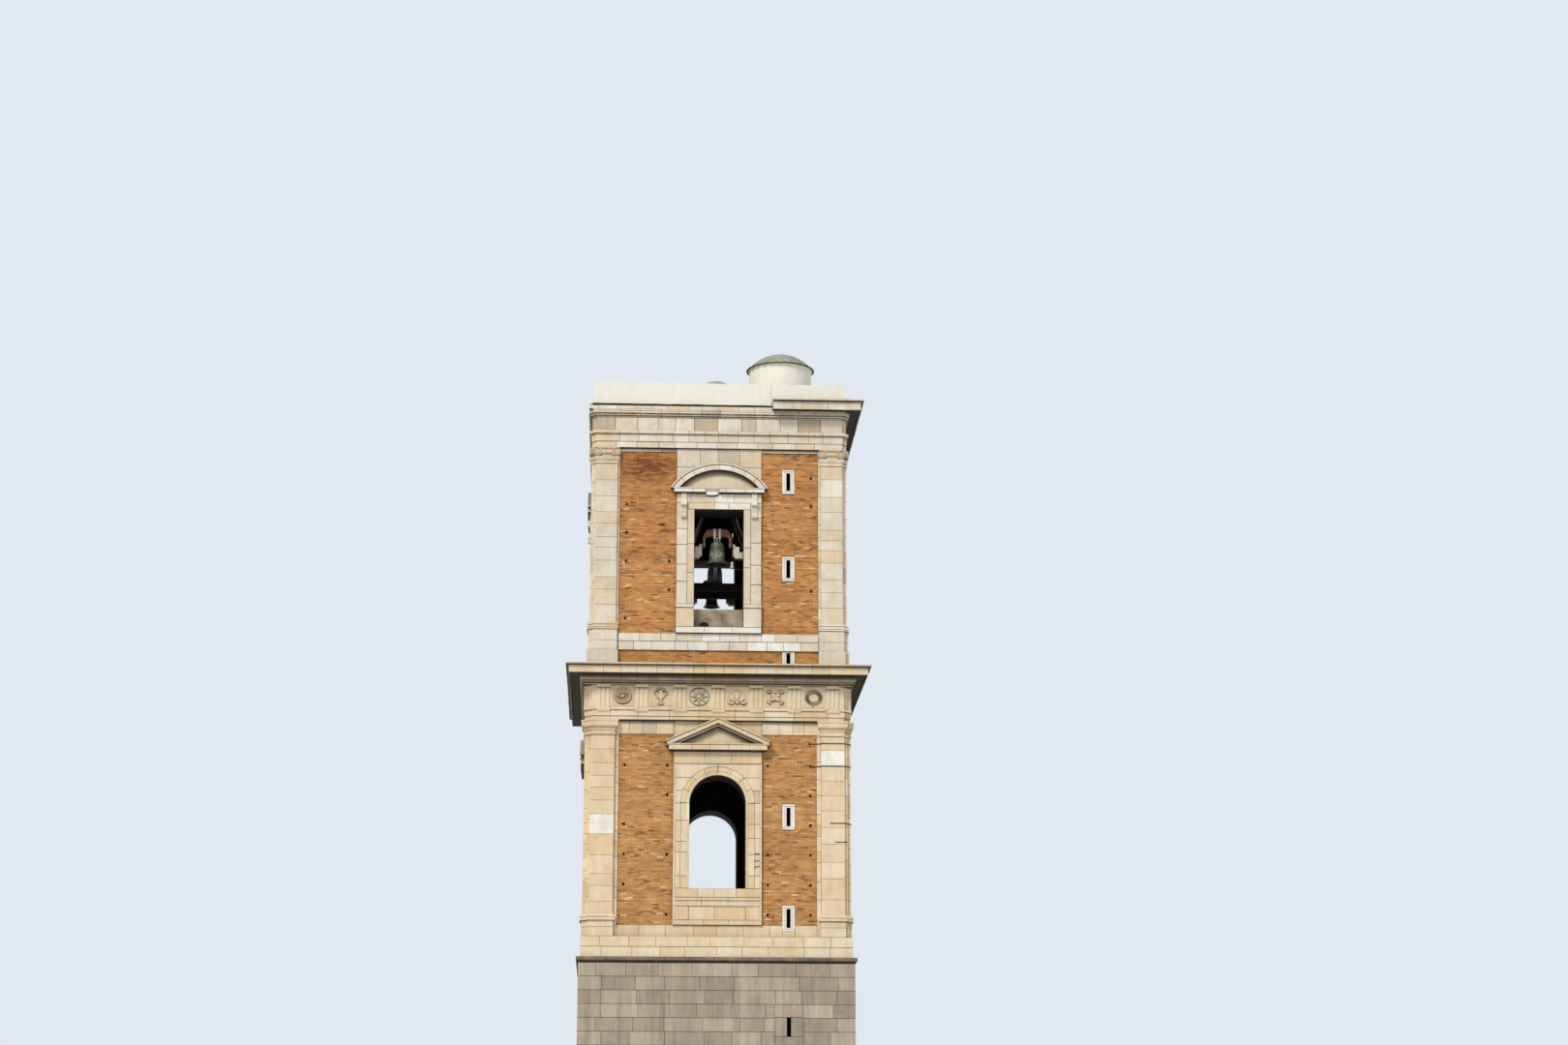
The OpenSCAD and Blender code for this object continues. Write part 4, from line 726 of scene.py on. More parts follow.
def shaded(height, depth, shade):
    """Outline of a squared stone under a ledge: its top is black and the shade fades below it."""
    return [[-JOINT, 0, 1], [0, JOINT, 0], [0, height - shade, 0], [0, height - shade * 0.4, 0.45],
            [0, height - 0.01, 0.95], [0, height, 1], [-depth, height, 1], [-depth, 0, 1]]


def cells(x0, x1, z0, z1, holes):
    """The part of a rectangle that lies outside some rectangular holes, as smaller rectangles: every
    edge of a hole cuts the rectangle right through, and the cells inside a hole are left out."""
    x = np.unique([x0, x1] + [v for hole in holes for v in hole[:2] if x0 < v < x1])
    z = np.unique([z0, z1] + [v for hole in holes for v in hole[2:] if z0 < v < z1])
    rows = []
    for low, high in spans(z):
        for left, right in spans(x):
            a, b = (left + right) / 2, (low + high) / 2
            if not any(h[0] < a < h[1] and h[2] < b < h[3] for h in holes):
                rows.append([left, right, low, high])
    return np.array(rows)


def slabs(rows, face, back):
    """Boxes behind the front plane y = -face from rows of x0, x1, z0, z1."""
    low = np.column_stack([rows[:, 0], np.full(len(rows), -face), rows[:, 2]])
    high = np.column_stack([rows[:, 1], np.full(len(rows), -back), rows[:, 3]])
    return boxes(low, high, 0.5)


BRICK_RISE, BRICK_RUN, BED = 0.0375, 0.14, 0.005


def brickwork(x0, x1, z0, z1, face, holes):
    """Bricks of a panel on the front, course by course, every other course moved by half a brick. Where
    a brick runs into a hole it is cut off at the hole's edge, and what is left over is dropped."""
    count = round((z1 - z0) / BRICK_RISE)
    rise = (z1 - z0) / count
    row = np.arange(count)
    along = np.arange(-1, int((x1 - x0) / BRICK_RUN) + 2)
    left = x0 + BRICK_RUN * (along[None, :] + 0.5 * (row[:, None] % 2)) + chance.normal(0, 0.006,
            (count, 1))
    left = left + chance.normal(0, 0.002, left.shape)
    low_x, high_x = left[:, :-1] + BED / 2, left[:, 1:] - BED / 2
    low_z = np.broadcast_to(z0 + rise * row[:, None] + BED / 2, low_x.shape)
    tone = 0.52 + 0.1 * chance.normal(size=(count, 1)) + 0.16 * chance.normal(size=low_x.shape)
    tone = np.where(chance.random(low_x.shape) < 0.01, 1.0, tone)
    low_x, high_x, low_z, tone = (a.ravel() for a in (low_x, high_x, low_z, tone))
    high_z = low_z + rise - BED + chance.uniform(-0.0015, 0.001, len(low_z))
    low_x, high_x = np.maximum(low_x, x0 + 0.002), np.minimum(high_x, x1 - 0.002)
    for a, b, c, d in holes:
        beside = (high_z > c) & (low_z < d)
        middle = (low_x + high_x) / 2
        high_x = np.where(beside & (middle < (a + b) / 2), np.minimum(high_x, a - 0.003), high_x)
        low_x = np.where(beside & (middle >= (a + b) / 2), np.maximum(low_x, b + 0.003), low_x)
    keep = high_x - low_x > 0.018
    low_x, high_x, low_z, high_z, tone = (a[keep] for a in (low_x, high_x, low_z, high_z, tone))
    front = -face - chance.uniform(-0.004, 0.0015, len(low_x))
    front = front + 0.009 * (chance.random(len(low_x)) < 0.05)
    return boxes(np.column_stack([low_x, front, low_z]),
                 np.column_stack([high_x, np.full(len(low_x), 0.022 - face), high_z]), np.clip(tone, 0, 1))


def panel(x0, x1, z0, z1, plan, putlogs, slots):
    """Bricks and mortar of one panel. Putlog holes run in to the core and slots are left for frames."""
    holes = [(x - 0.022, x + 0.022, z - 0.03, z + 0.024) for x,
            z in putlogs if chance.random() < 0.6] + slots
    rows = cells(x0, x1, z0, z1, holes)
    return brickwork(x0, x1, z0, z1, plan["brick"], holes), slabs(rows, plan["brick"] - 0.004, plan["core"])


PUTLOG_PITCH = 0.6375


def brick_pieces(storey, make, clay):
    """Lays the bricks of a storey's four sides as one piece and their mortar as another."""
    made = [make(side) for side in range(4)]
    bricks, beds = ([turned(part, side) for side, sets in enumerate(made) for part in sets[k]]
            for k in (0, 1))
    piece(f"{storey}_bricks", bricks, clay, replaces=(f"{storey}_brick_panels",))
    piece(f"{storey}_mortar", beds, mortar)


def slit_rows(z_middles, height):
    """The places of slit frames in the front's facing, as rectangles."""
    return [(SLIT_X - FRAME_HALF, SLIT_X + FRAME_HALF, z - height / 2, z + height / 2) for z in z_middles]


# %% Plinth courses
ARCH_HALF, ARCH_FRAME = 0.6035, 0.9435
FRAME_HEIGHT = 0.55
LOWER_SLITS = (10.951, 8.79)
core, margin, inner = LOWER["core"], LOWER["margin"], LOWER["inner"]
lower_ring = square(LOWER["face"])
plinth_parts = []
for number in range(2):
    low = LOWER_Z + number * (PEDESTAL_Z - LOWER_Z) / 2
    profile = ashlar((PEDESTAL_Z - LOWER_Z) / 2, LOWER["face"] - core)
    laid = ring_spans(lower_ring, 0.62, 0.4)
    plinth_parts += course(lower_ring, laid, [[p + 0.025, q, d] for p, q, d in profile], level(low),
                           wander=0.002, tones=chance.uniform(0.04, 0.55, len(laid)))


def third_course(side):
    gap = [(SLIT_X - FRAME_HALF, SLIT_X + FRAME_HALF)] if side == 0 else []
    stones = band(-inner, inner, PEDESTAL_Z, BRICK_FOOT - PEDESTAL_Z, margin, margin - core, 0.55, gaps=gap)
    if gap:
        stones.append(face_block(rectangle(*gap[0], PEDESTAL_Z, LOWER_SLITS[1] - FRAME_HEIGHT / 2), margin,
                                 core))
    return stones


plinth_parts += on_sides(third_course)
piece("lower_plinth_stones", plinth_parts, lower_marble, replaces=("plinth_courses",))

# %% Lower brick panels
BAND_Z = ARCHITRAVE_Z - 0.29


def lower_panel(side):
    """Left and right panels, with putlog holes every seventeen courses near both edges."""
    bricks, beds = [], []
    for sign in (-1, 1):
        x0, x1 = either_side(sign, ARCH_FRAME, inner)
        heights = np.arange(BRICK_FOOT + 0.21, BAND_Z - 0.1, PUTLOG_PITCH)
        putlogs = [(x, z + 0.019) for z in heights for x in (x0 + 0.13, x1 - 0.13)]
        slots = slit_rows(LOWER_SLITS, FRAME_HEIGHT) if side == 0 and sign > 0 else []
        putlogs = [(x, z) for x, z in putlogs if not any(s[0] < x < s[1] and s[2] < z < s[3] for s in slots)]
        wall, bed = panel(x0, x1, BRICK_FOOT, BAND_Z, LOWER, putlogs, slots)
        bricks.append(wall)
        beds.append(bed)
    return bricks, beds


brick_pieces("lower", lower_panel, lower_clay)

# %% [markdown]
# Each pilaster is a pile of squared drums. Masons cut them to whatever height a good block of marble
# gave, so the joints step up at no fixed pitch. The drums beside the fold of the corner and the margin
# strips against the brick are separate stones with joints of their own.


# %% Corner stones
def corner_outline(plan, part="whole"):
    """Plan of the corner at +X, -Y: the pilaster on the front, the one on the side, or both with the
    fold between them."""
    face, edge, margin, core = (plan[key] for key in ("face", "edge", "margin", "core"))
    start = edge - plan["pilaster"]
    front = [[start, -core], [start, -face], [edge, -face], [edge, -core]]
    side = [[core, -edge], [face, -edge], [face, -start], [core, -start]]
    fold = [[edge, -core], [edge, -margin], [margin, -margin], [margin, -edge], [core, -edge],
            [core, -core]]
    whole = front[:3] + fold[1:4] + side[1:] + fold[5:]
    return dict(front=front, side=side, fold=fold, whole=whole)[part]


def upward(outline, z, out=None, dirt_and_shade=0.0, tone=None):
    """A stone whose plan goes straight up through the heights z, moved out at each height by out."""
    z = np.asarray(z, float)
    if out is None:
        z = np.concatenate([[z[0], z[0] + BEVEL], z[1:-1], [z[-1] - BEVEL, z[-1]]])
        out = np.zeros(len(z))
        out[[0, -1]] = -BEVEL
        dirt_and_shade = (out < 0).astype(float)
    origins = np.column_stack([np.zeros((len(z), 2)), z])
    tone = block_tone() if tone is None else tone
    return prism(outline, origins, X_AXIS, Y_AXIS, out, dirt_and_shade, tone)


def tier(outline, z0, z1, out):
    """One course of a pedestal that stands out by a step, dark only in its bed joints."""
    return upward(outline, [z0, z0 + BEVEL, z1 - BEVEL, z1], [out - BEVEL, out, out, out - BEVEL],
                  [1, 0, 0, 1],
                  chance.uniform(0.12, 0.6))


def stacked(z0, z1, low, high):
    """Joints of stones of random heights from z0 up to z1."""
    stops = [z0]
    while z1 - stops[-1] > high * 1.2:
        stops.append(stops[-1] + chance.uniform(low, high))
    return stops + [z1]


def pile(outline, z0, z1, low=0.2, high=0.42, stops=None, tones=None):
    """Stones of random heights one on another, or with chosen joints and tones."""
    stops = stops or stacked(z0, z1, low, high)
    tones = tones or [None] * (len(stops) - 1)
    return [upward(outline, pair, tone=tone) for pair, tone in zip(spans(stops), tones)]


def strip(x0, x1, z0, z1, face, back):
    """A vertical strip of stones on the front, such as a margin against the brick."""
    return [face_block(rectangle(x0, x1, a, b), face, back) for a, b in spans(stacked(z0, z1, 0.22, 0.45))]


def arc(x, z, r, a0, a1, count=6):
    """Points of an arc in a profile, from angle a0 to a1 in degrees."""
    angle = np.radians(np.linspace(a0, a1, count + 1))
    return [[x + r * c, z + r * s] for c, s in zip(np.cos(angle), np.sin(angle))]


def moulded(outline, z, profile):
    """A moulded stone on a plan: each point of the profile is a move outwards and a height."""
    (first_out, first_z), *others = profile
    rows = np.array([[first_out - MOULD_JOINT, first_z], [first_out, first_z + MOULD_JOINT]] + others)
    dirt_and_shade = np.zeros(len(rows))
    dirt_and_shade[0] = 1.0
    return upward(outline, z + rows[:, 1], rows[:, 0], dirt_and_shade)


def margins(plan, z0, z1):
    """The strips of marble between the pilasters and the brick of one side."""
    a, b = plan["inner"], plan["edge"] - plan["pilaster"]
    return [part for x0, x1 in ((a, b), (-b, -a)) for part in strip(x0, x1, z0, z1, plan["margin"],
                                                                    plan["core"])]


# %% Lower pilasters
BASE_Z, BASE_H = 8.72, 0.145
SHAFT_Z = BASE_Z + BASE_H
doric_base = [[0.048, 0], [0.048, BASE_H * 0.38]] + arc(0.018, BASE_H * 0.59, BASE_H * 0.21, -90,
                                                        90) + [[0.012, BASE_H]]
LEFT_JOINTS = [SHAFT_Z, 9.12, 9.45, 9.7, 10.1, 10.55, 10.97, 11.27, 11.55, 11.8, 12.07, 12.37, DORIC_Z]
LEFT_TONES = [0.5, 0.3, 0.62, 0.4, 0.7, 0.0, 0.45, 0.66, 0.35, 0.55, 0.74, 0.5]
RIGHT_JOINTS = [SHAFT_Z, 9.18, 9.62, 9.98, 10.36, 10.72, 11.08, 11.4, 11.72, 12.05, 12.38, DORIC_Z]
RIGHT_TONES = [0.4, 0.6, 0.25, 0.5, 0.12, 0.45, 0.3, 0.6, 0.35, 0.0, 0.5]


def lower_corner(side):
    """One corner with its two pilasters; those of the front keep the joints and tones that were seen."""
    whole, parts = corner_outline(LOWER), []
    bed = (PEDESTAL_Z + BASE_Z) / 2 + 0.03
    parts += [tier(whole, PEDESTAL_Z, bed, 0.014), tier(whole, bed, BASE_Z, 0.014)]
    parts.append(moulded(whole, BASE_Z, doric_base))
    left, left_tones = (LEFT_JOINTS, LEFT_TONES) if side == 3 else (None, None)
    right, right_tones = (RIGHT_JOINTS, RIGHT_TONES) if side == 0 else (None, None)
    parts += pile(corner_outline(LOWER, "front"), SHAFT_Z, DORIC_Z, stops=right, tones=right_tones)
    parts += pile(corner_outline(LOWER, "side"), SHAFT_Z, DORIC_Z, stops=left, tones=left_tones)
    parts += pile(corner_outline(LOWER, "fold"), SHAFT_Z, DORIC_Z, 0.3, 0.6)
    return parts


piece("lower_pilaster_stones", on_sides(lower_corner) + on_sides(lambda side: margins(LOWER, PEDESTAL_Z,
        DORIC_Z)),
      shaft_marble, replaces=("lower_pilasters",))

# %% Doric capitals and the band between them
CAP_H = ARCHITRAVE_Z - DORIC_Z
NECK, ECHINUS, CAP_OUT = CAP_H * 0.38, CAP_H * 0.27, 0.078
neck_profile = [[0.004, 0]] + arc(0.006, 0.024, 0.02, -90, 90, 4) + [[0, 0.046], [0, NECK - 0.014]]
echinus_profile = ([[0.012, 0], [0.012, 0.014]]
                   + arc(CAP_OUT - 0.014 - ECHINUS * 0.6, 0.014 + ECHINUS, ECHINUS * 0.6, -80, 0)
                   + [[CAP_OUT - 0.012, ECHINUS + 0.018], [CAP_OUT - 0.012, CAP_H - NECK + 0.014 - 0.042],
                      [CAP_OUT, CAP_H - NECK + 0.014 - 0.034], [CAP_OUT, CAP_H - NECK + 0.014]])


def doric_corner(side):
    whole = corner_outline(LOWER)
    parts = [moulded(whole, DORIC_Z, neck_profile), moulded(whole, DORIC_Z + NECK - 0.014, echinus_profile)]
    a, b = inner, LOWER["edge"] - LOWER["pilaster"]
    for sign in (-1, 1):
        x0, x1 = either_side(sign, ARCH_FRAME, b)
        parts += band(x0, x1, BAND_Z, ARCHITRAVE_Z - BAND_Z, margin, margin - core, 0.33,
                      shaded(ARCHITRAVE_Z - BAND_Z, margin - core, 0.07))
        x0, x1 = either_side(sign, a, b)
        parts.append(face_block(rectangle(x0, x1, DORIC_Z, BAND_Z), margin, core))
    return parts


piece("doric_capital_stones", on_sides(doric_corner), shaft_marble, replaces=("doric_capitals",))

# %% [markdown]
# ## Arched openings
# The surround is built up from the apron to the head of the arch. The voussoirs are one course that
# bends along the intrados, the spandrels are cut to meet them, and a raised rim runs round the opening.


# %% Arch surround
FRAME_Y = 2.815
SILL, SPRING, ARCH_R = 9.41, 11.226, 0.6035
ARCH_CORNICE_Z = 12.3345
RING_OUT = 0.79
APRON_FOOT, APRON_HEAD, APRON_CAP = 8.74, 9.03, 9.22
SPANDREL_HEAD, LEDGE_HALF, UPPER_LEDGE = 12.087, 0.8835, 12.0745


def arch_line(radius, foot_z):
    """The line up the right jamb, over the arch and down the left one, at a distance from the axis."""
    angle = np.linspace(0, math.pi, 29)
    over = np.column_stack([radius * np.cos(angle), SPRING + radius * np.sin(angle)])
    return np.vstack([[radius, foot_z], over, [-radius, foot_z]])


def flat_stones(rows, face, back, joint=JOINT, tones=None):
    """Stones on the front from rows of x0, x1, z0, z1."""
    tones = [None] * len(rows) if tones is None else tones
    return [face_block(rectangle(*row), face, back, joint, tone) for row, tone in zip(rows, tones)]


def split(x0, x1, z0, z1, pitch):
    """One course of a plane surface as rows of x0, x1, z0, z1."""
    return [(a, b, z0, z1) for a, b in spans(cuts(x0, x1, pitch))]


def spandrel(sign, z0, z1):
    """A stone between two heights, from the ring of voussoirs out to the edge of the frame."""
    top = min(z1 - SPRING, RING_OUT)
    angle = np.linspace(math.asin(max(0.0, z0 - SPRING) / RING_OUT), math.asin(top / RING_OUT), 9)
    edge = [[sign * RING_OUT * math.cos(a), SPRING + RING_OUT * math.sin(a)] for a in angle]
    if top < z1 - SPRING:
        edge.append([0, z1])
    edge += [[sign * ARCH_FRAME, z1], [sign * ARCH_FRAME, z0]]
    return face_block(edge, FRAME_Y, core)


def arch_surround(side):
    a, f = ARCH_FRAME, FRAME_Y
    parts = flat_stones(split(-a, a, BRICK_FOOT, APRON_FOOT, 0.6), f, core)
    parts += flat_stones([(*either_side(sign, ARCH_HALF, a), APRON_FOOT, APRON_HEAD) for sign in (-1, 1)],
                         f, core)
    parts += flat_stones(split(-ARCH_HALF, ARCH_HALF, APRON_FOOT, APRON_HEAD, 0.62), f - 0.016, core)
    parts += flat_stones(split(-a, a, APRON_HEAD, APRON_CAP, 0.75) + split(-a, a, APRON_CAP, SILL, 0.5), f,
                         core)
    for sign in (-1, 1):
        for low, high in spans(cuts(SILL, SPRING, 0.34, 0.3)):
            middle = RING_OUT + chance.uniform(-0.01, 0.01)
            parts += flat_stones([(*either_side(sign, ARCH_HALF, middle), low, high)], f, core)
            outer_face = f - 0.001 + chance.uniform(-0.0004, 0.0004)
            parts += flat_stones([(*either_side(sign, middle, a), low, high)], outer_face, core)
        stops = [SPRING, SPRING + 0.27, SPRING + 0.55, SPANDREL_HEAD]
        parts += [spandrel(sign, low, high) for low, high in spans(stops)]
    parts += flat_stones(split(-a, a, SPANDREL_HEAD, ARCH_CORNICE_Z, 0.63), f, core)
    arch = walk(arch_line(ARCH_R, SILL)[1:-1])
    blocks = cuts(0, arch["at"][-1], 0.235, 0.06)
    wedge = [[core - f, 0, 1], [core - f, RING_OUT - ARCH_R, 1], [-0.005, RING_OUT - ARCH_R, 1],
             [0, RING_OUT - ARCH_R - 0.005, 0], [0, 0.088, 0], [-0.004, 0.085, 0.9], [0, 0.082, 0],
             [0, 0, 0]]
    parts += course(arch, spans(blocks), wedge, upright(f))
    rim = walk(arch_line(ARCH_R, SILL))
    profile = [[-0.01, 0, 0], [0.010, 0, 0], [0.014, 0.006, 0], [0.014, 0.036, 0], [0.008, 0.042, 0],
               [-0.01, 0.042, 1]]
    parts += course(rim, spans(cuts(0, rim["at"][-1], 0.36)), profile, upright(f), joint=0.003)
    for z, out in ((9.148, 0.018), (UPPER_LEDGE, 0.022)):
        ends = [[-LEDGE_HALF, -f + 0.01], [-LEDGE_HALF, -f], [LEDGE_HALF, -f], [LEDGE_HALF, -f + 0.01]]
        ledge = walk(ends, [0.02, out, 0.02])
        parts += course(ledge, spans(cuts(0, ledge["at"][-1], 0.62)),
                        [[-0.2, 0, 1], [0.8, 0.003, 0], [1, 0.008, 0], [1, 0.023, 0], [0.5, 0.026, 0],
                         [-0.2, 0.026, 1]],
                        level(z), joint=0.002)
    for sign in (-1, 1):
        for low, high in spans(cuts(BRICK_FOOT, UPPER_LEDGE, 0.42, 0.25)):
            row = (*either_side(sign, a - 0.044, a), low, high)
            parts.append(face_block(rectangle(*row), f + 0.01, f - 0.01, 0.003))
    return parts


piece("arch_surround_stones", on_sides(arch_surround), lower_marble, replaces=("arch_surrounds",))


# %% Arch pediments
# Third column: grime and painted shade under the corona and on its soffit
CORNICE_BAND = [[0.42, 0, 0.8], [0.5, 0.12, 1], [0.93, 0.16, 1], [0.94, 0.2, 0], [0.94, 0.8, 0],
                [1.0, 0.87, 0], [1.0, 1.0, 0.1]]
PED_TIP, PED_EAVE = 1.13, 0.062
PED_LEVEL_H = 0.16
PED_FOOT = ARCH_CORNICE_Z + PED_LEVEL_H
APEX = PED_FOOT + 0.57
SLOPE = (APEX - PED_FOOT - PED_EAVE) / PED_TIP


def level_profile(height):
    """Section of a small level cornice, as a share of its projection, with grime and painted shade under the corona.
    """
    return [[-1.0, 0, 1]] + [[p, q * height, dirt_and_shade] for p, q, dirt_and_shade in CORNICE_BAND] + [[-1.0, height, 1]]


def returned(half, wall, back, over, out):
    """The walk of a level cornice along the front with a return at each end."""
    return walk([[-half, -back], [-half, -wall], [half, -wall], [half, -back]], [over, out, over])


def raking_layer(tip, drop0, drop1, out):
    """One moulding of both raking cornices, mitred upright at the apex and cut upright at the eaves."""
    tilt = math.atan(SLOPE)
    line = walk([[tip, APEX - SLOPE * tip], [0, APEX], [-tip, APEX - SLOPE * tip]], math.cos(tilt),
                ([0, 1.0], [0, 1.0]))
    length = line["at"]
    joints = np.concatenate([cuts(0, length[1] - 0.17, 0.42), cuts(length[1] + 0.22, length[2], 0.42)])
    # Its underside is dark with painted shade, and under a moulding above, the top of its face darkens as painted
    # shade
    profile = [[-0.11, -drop1, 1], [out - 0.006, -drop1, 1], [out, 0.006 - drop1, 0.1],
               [out, -drop0 - 0.022, 0],
               [out, -drop0, 0.85 * (drop0 > 0)], [-0.11, -drop0, 1]]
    return course(line, spans(joints), profile, upright(LOWER["brick"]), joint=0.004)


def tympanum(joints, foot_z, top, face, back, shade, tone=0.62):
    """The sunk field of a pediment in stones between joints. Each is a grid of columns from its foot to
    the line top(x), closed behind, and its soot and painted shade fade with the distance below that line."""
    parts = []
    for x0, x1 in spans(joints):
        x = np.linspace(x0 + 0.002, x1 - 0.002, 14)
        high = np.maximum(top(x), foot_z + 0.004)
        share = np.linspace(0, 1, 12)
        z = foot_z + share[None, :] * (high - foot_z)[:, None]
        front = np.stack([np.broadcast_to(x[:, None], z.shape), np.full(z.shape, -face), z], -1)
        behind = np.stack([np.column_stack([x, x]), np.full((14, 2), -back),
                           np.column_stack([high, x * 0 + foot_z])], -1)
        drop = high[:, None] - z
        soot_and_shade = np.clip(1.15 - drop / shade, 0, 0.9)
        parts.append(grid_tube(np.concatenate([front, behind], 1), tone + chance.uniform(-0.12, 0.08),
                               np.concatenate([soot_and_shade, np.zeros((14, 2))], 1).ravel()))
    return parts


def arch_pediment(side):
    wall, out = LOWER["brick"], 0.2
    line = returned(ARCH_FRAME, wall, core, 0.115, out)
    parts = course(line, spans(cuts(0, line["at"][-1], 0.47)), level_profile(PED_LEVEL_H),
                   level(ARCH_CORNICE_Z))
    parts += raking_layer(PED_TIP, 0, 0.03, out + 0.012)
    parts += raking_layer(PED_TIP - 0.022, 0.028, 0.13, out - 0.008)
    parts += raking_layer(PED_TIP - 0.06, 0.128, 0.18, out * 0.55)
    parts += tympanum([-ARCH_FRAME, -0.34, 0.29, ARCH_FRAME], PED_FOOT - 0.002,
                      lambda x: APEX - 0.15 - SLOPE * np.abs(x), wall + 0.03, core, 0.16)
    joints = spans([-ARCH_FRAME, -0.42, 0.5, ARCH_FRAME])
    return parts + flat_stones([(a, b, PED_FOOT, ARCHITRAVE_Z) for a, b in joints], wall, core)


piece("arch_pediment_stones", on_sides(arch_pediment), lower_marble, replaces=("arch_pediments",))

# %% [markdown]
# ## Doric entablature
# Two fasciae of architrave, each stone run through its full height, carry the regulae and their guttae.
# In the frieze a carved panel fills each field between two triglyphs: a vase, a wreath, a rosette and
# the like, common ornaments that any carver of the time had by heart.


# %% Architrave
def all_round(path, marks):
    """Spans of a ring whose joints stand at the same distances from the middle of every side."""
    total = path["at"][-1]
    return spans(np.unique(np.clip([total * k / 4 + m for k in range(5) for m in marks], 0,
                                   total).round(6)))


def closed_course(profile, depth):
    """A profile of (out, height) points as (p, q, dirt and painted shade), closed behind. Under each ledge a
    line of grime and painted shade three centimetres high is left on the face."""
    rows = [[*row, 0.0][:3] for row in profile]
    shade_lined = [rows[0]]
    for before, row, after in zip(rows, rows[1:], rows[2:] + rows[-1:]):
        if after[0] - row[0] > 0.008 and after[1] - row[1] < 0.012:
            if row[1] - before[1] > 0.05:
                shade_lined.append([row[0], row[1] - 0.03, 0.0])
            row = [*row[:2], 0.9]
        shade_lined.append(row)
    return [[-depth, profile[0][1], 1.0]] + shade_lined + [[-depth, profile[-1][1], 1.0]]


def ring_course(path, profile, depth, z, joints, wander=WANDER):
    return course(path, joints, closed_course(profile, depth), level(z), wander=wander)


ARCHITRAVE_H = FRIEZE_Z - ARCHITRAVE_Z
# The foot of the architrave is dark with grime and painted shade, for the black line under it
architrave_profile = [[-0.004, 0, 1], [0, 0.006, 1], [0, 0.022], [0, ARCHITRAVE_H * 0.34],
                      [0.01, ARCHITRAVE_H * 0.34],
                      [0.01, ARCHITRAVE_H * 0.83], [0.028, ARCHITRAVE_H * 0.83], [0.028, ARCHITRAVE_H]]
lower_fold = folded(LOWER)
lower_depth = LOWER["margin"] - core
TRIGLYPHS = [0.82 * k for k in range(-3, 4)]
TRIGLYPH_W = 0.285
TAENIA = ARCHITRAVE_Z + ARCHITRAVE_H * 0.83
entablature = ring_course(lower_fold, architrave_profile, lower_depth, ARCHITRAVE_Z,
                          all_round(lower_fold, [-2.3, -1.72, -1.05, -0.41, 0.36, 0.98, 1.63, 2.35]))


def regulae(side):
    """Small bars under the band, one below each triglyph, with six drops each."""
    parts = []
    face = LOWER["face"]
    for x in TRIGLYPHS:
        half = TRIGLYPH_W / 2
        parts.append(boxes([x - half, -face - 0.024, TAENIA - 0.03], [x + half, -face + 0.01, TAENIA], 0.4))
        for k in range(6):
            middle = x - half + TRIGLYPH_W * (k + 0.5) / 6
            angle = np.radians(np.arange(8) * 45 + 22.5)
            rings = [[[middle + r * math.cos(a), -face - 0.013 + r * math.sin(a), z] for a in angle]
                     for r, z in ((0.012, TAENIA - 0.052), (0.008, TAENIA - 0.028))]
            parts.append(grid_tube(np.array(rings), 0.45))
    return parts


piece("doric_architrave_stones", entablature + on_sides(regulae), lower_marble,
      replaces=("doric_architrave",))

# %% Frieze blocks and triglyphs
FRIEZE_H = CORNICE_Z - FRIEZE_Z
CAP_FACE = FRIEZE_H * 0.88
laid = all_round(lower_fold, TRIGLYPHS)
# The top of the frieze is darkened with painted shade under the cornice
frieze_profile = [[-0.004, 0], [0, 0.004], [0, FRIEZE_H - 0.035], [0, FRIEZE_H, 0.9]]
frieze = course(lower_fold, laid, closed_course(frieze_profile, lower_depth), level(FRIEZE_Z),
                tones=chance.uniform(0.08, 0.6, len(laid)))


def triglyph_plan(width, out):
    """Plan of a triglyph, two full grooves and a half groove at each edge, as x and distance out."""
    s = width / 12
    half = [(width / 2, -0.01), (width / 2, out * 0.25), (width / 2 - s, out), (3 * s, out),
            (2 * s, out * 0.15), (s, out)]
    return half + [(-x, y) for x, y in reversed(half)]


def triglyphs(side):
    parts, face = [], LOWER["face"]
    for x in TRIGLYPHS:
        plan = [[x + a, -face - b] for a, b in triglyph_plan(TRIGLYPH_W, 0.03)]
        tone = chance.uniform(0.05, 0.5)
        stops = [FRIEZE_Z + 0.002, FRIEZE_Z + CAP_FACE - 0.06, FRIEZE_Z + CAP_FACE - 0.004]
        # Each triglyph darkens towards its top, painted shade under its cap
        parts.append(upward(plan, stops, [0, 0, 0], [0.0, 0.05, 0.7], tone))
        half = TRIGLYPH_W / 2
        parts.append(boxes([x - half, -face - 0.036, FRIEZE_Z + CAP_FACE],
                           [x + half, -face + 0.01, CORNICE_Z - 0.002], tone))
    return parts


# %% Metope reliefs
def lump(x, z, cx, cz, radius):
    """Height of a round boss: one at its middle, nought at its rim."""
    return np.clip(1 - ((x - cx) / radius) ** 2 - ((z - cz) / radius) ** 2, 0, None) ** 0.5


def rosette(x, z):
    r, a = np.hypot(x, z), np.arctan2(z, x)
    petals = np.clip(1 - (r / (0.62 + 0.2 * np.cos(8 * a))) ** 4, 0, 1) * (0.65 + 0.35 * np.cos(8 * a))
    return np.maximum(np.maximum(petals * np.clip(r * 3, 0.3, 1), lump(x, z, 0, 0, 0.2)),
                      0.7 * np.exp(-((r - 0.9) / 0.05) ** 2))


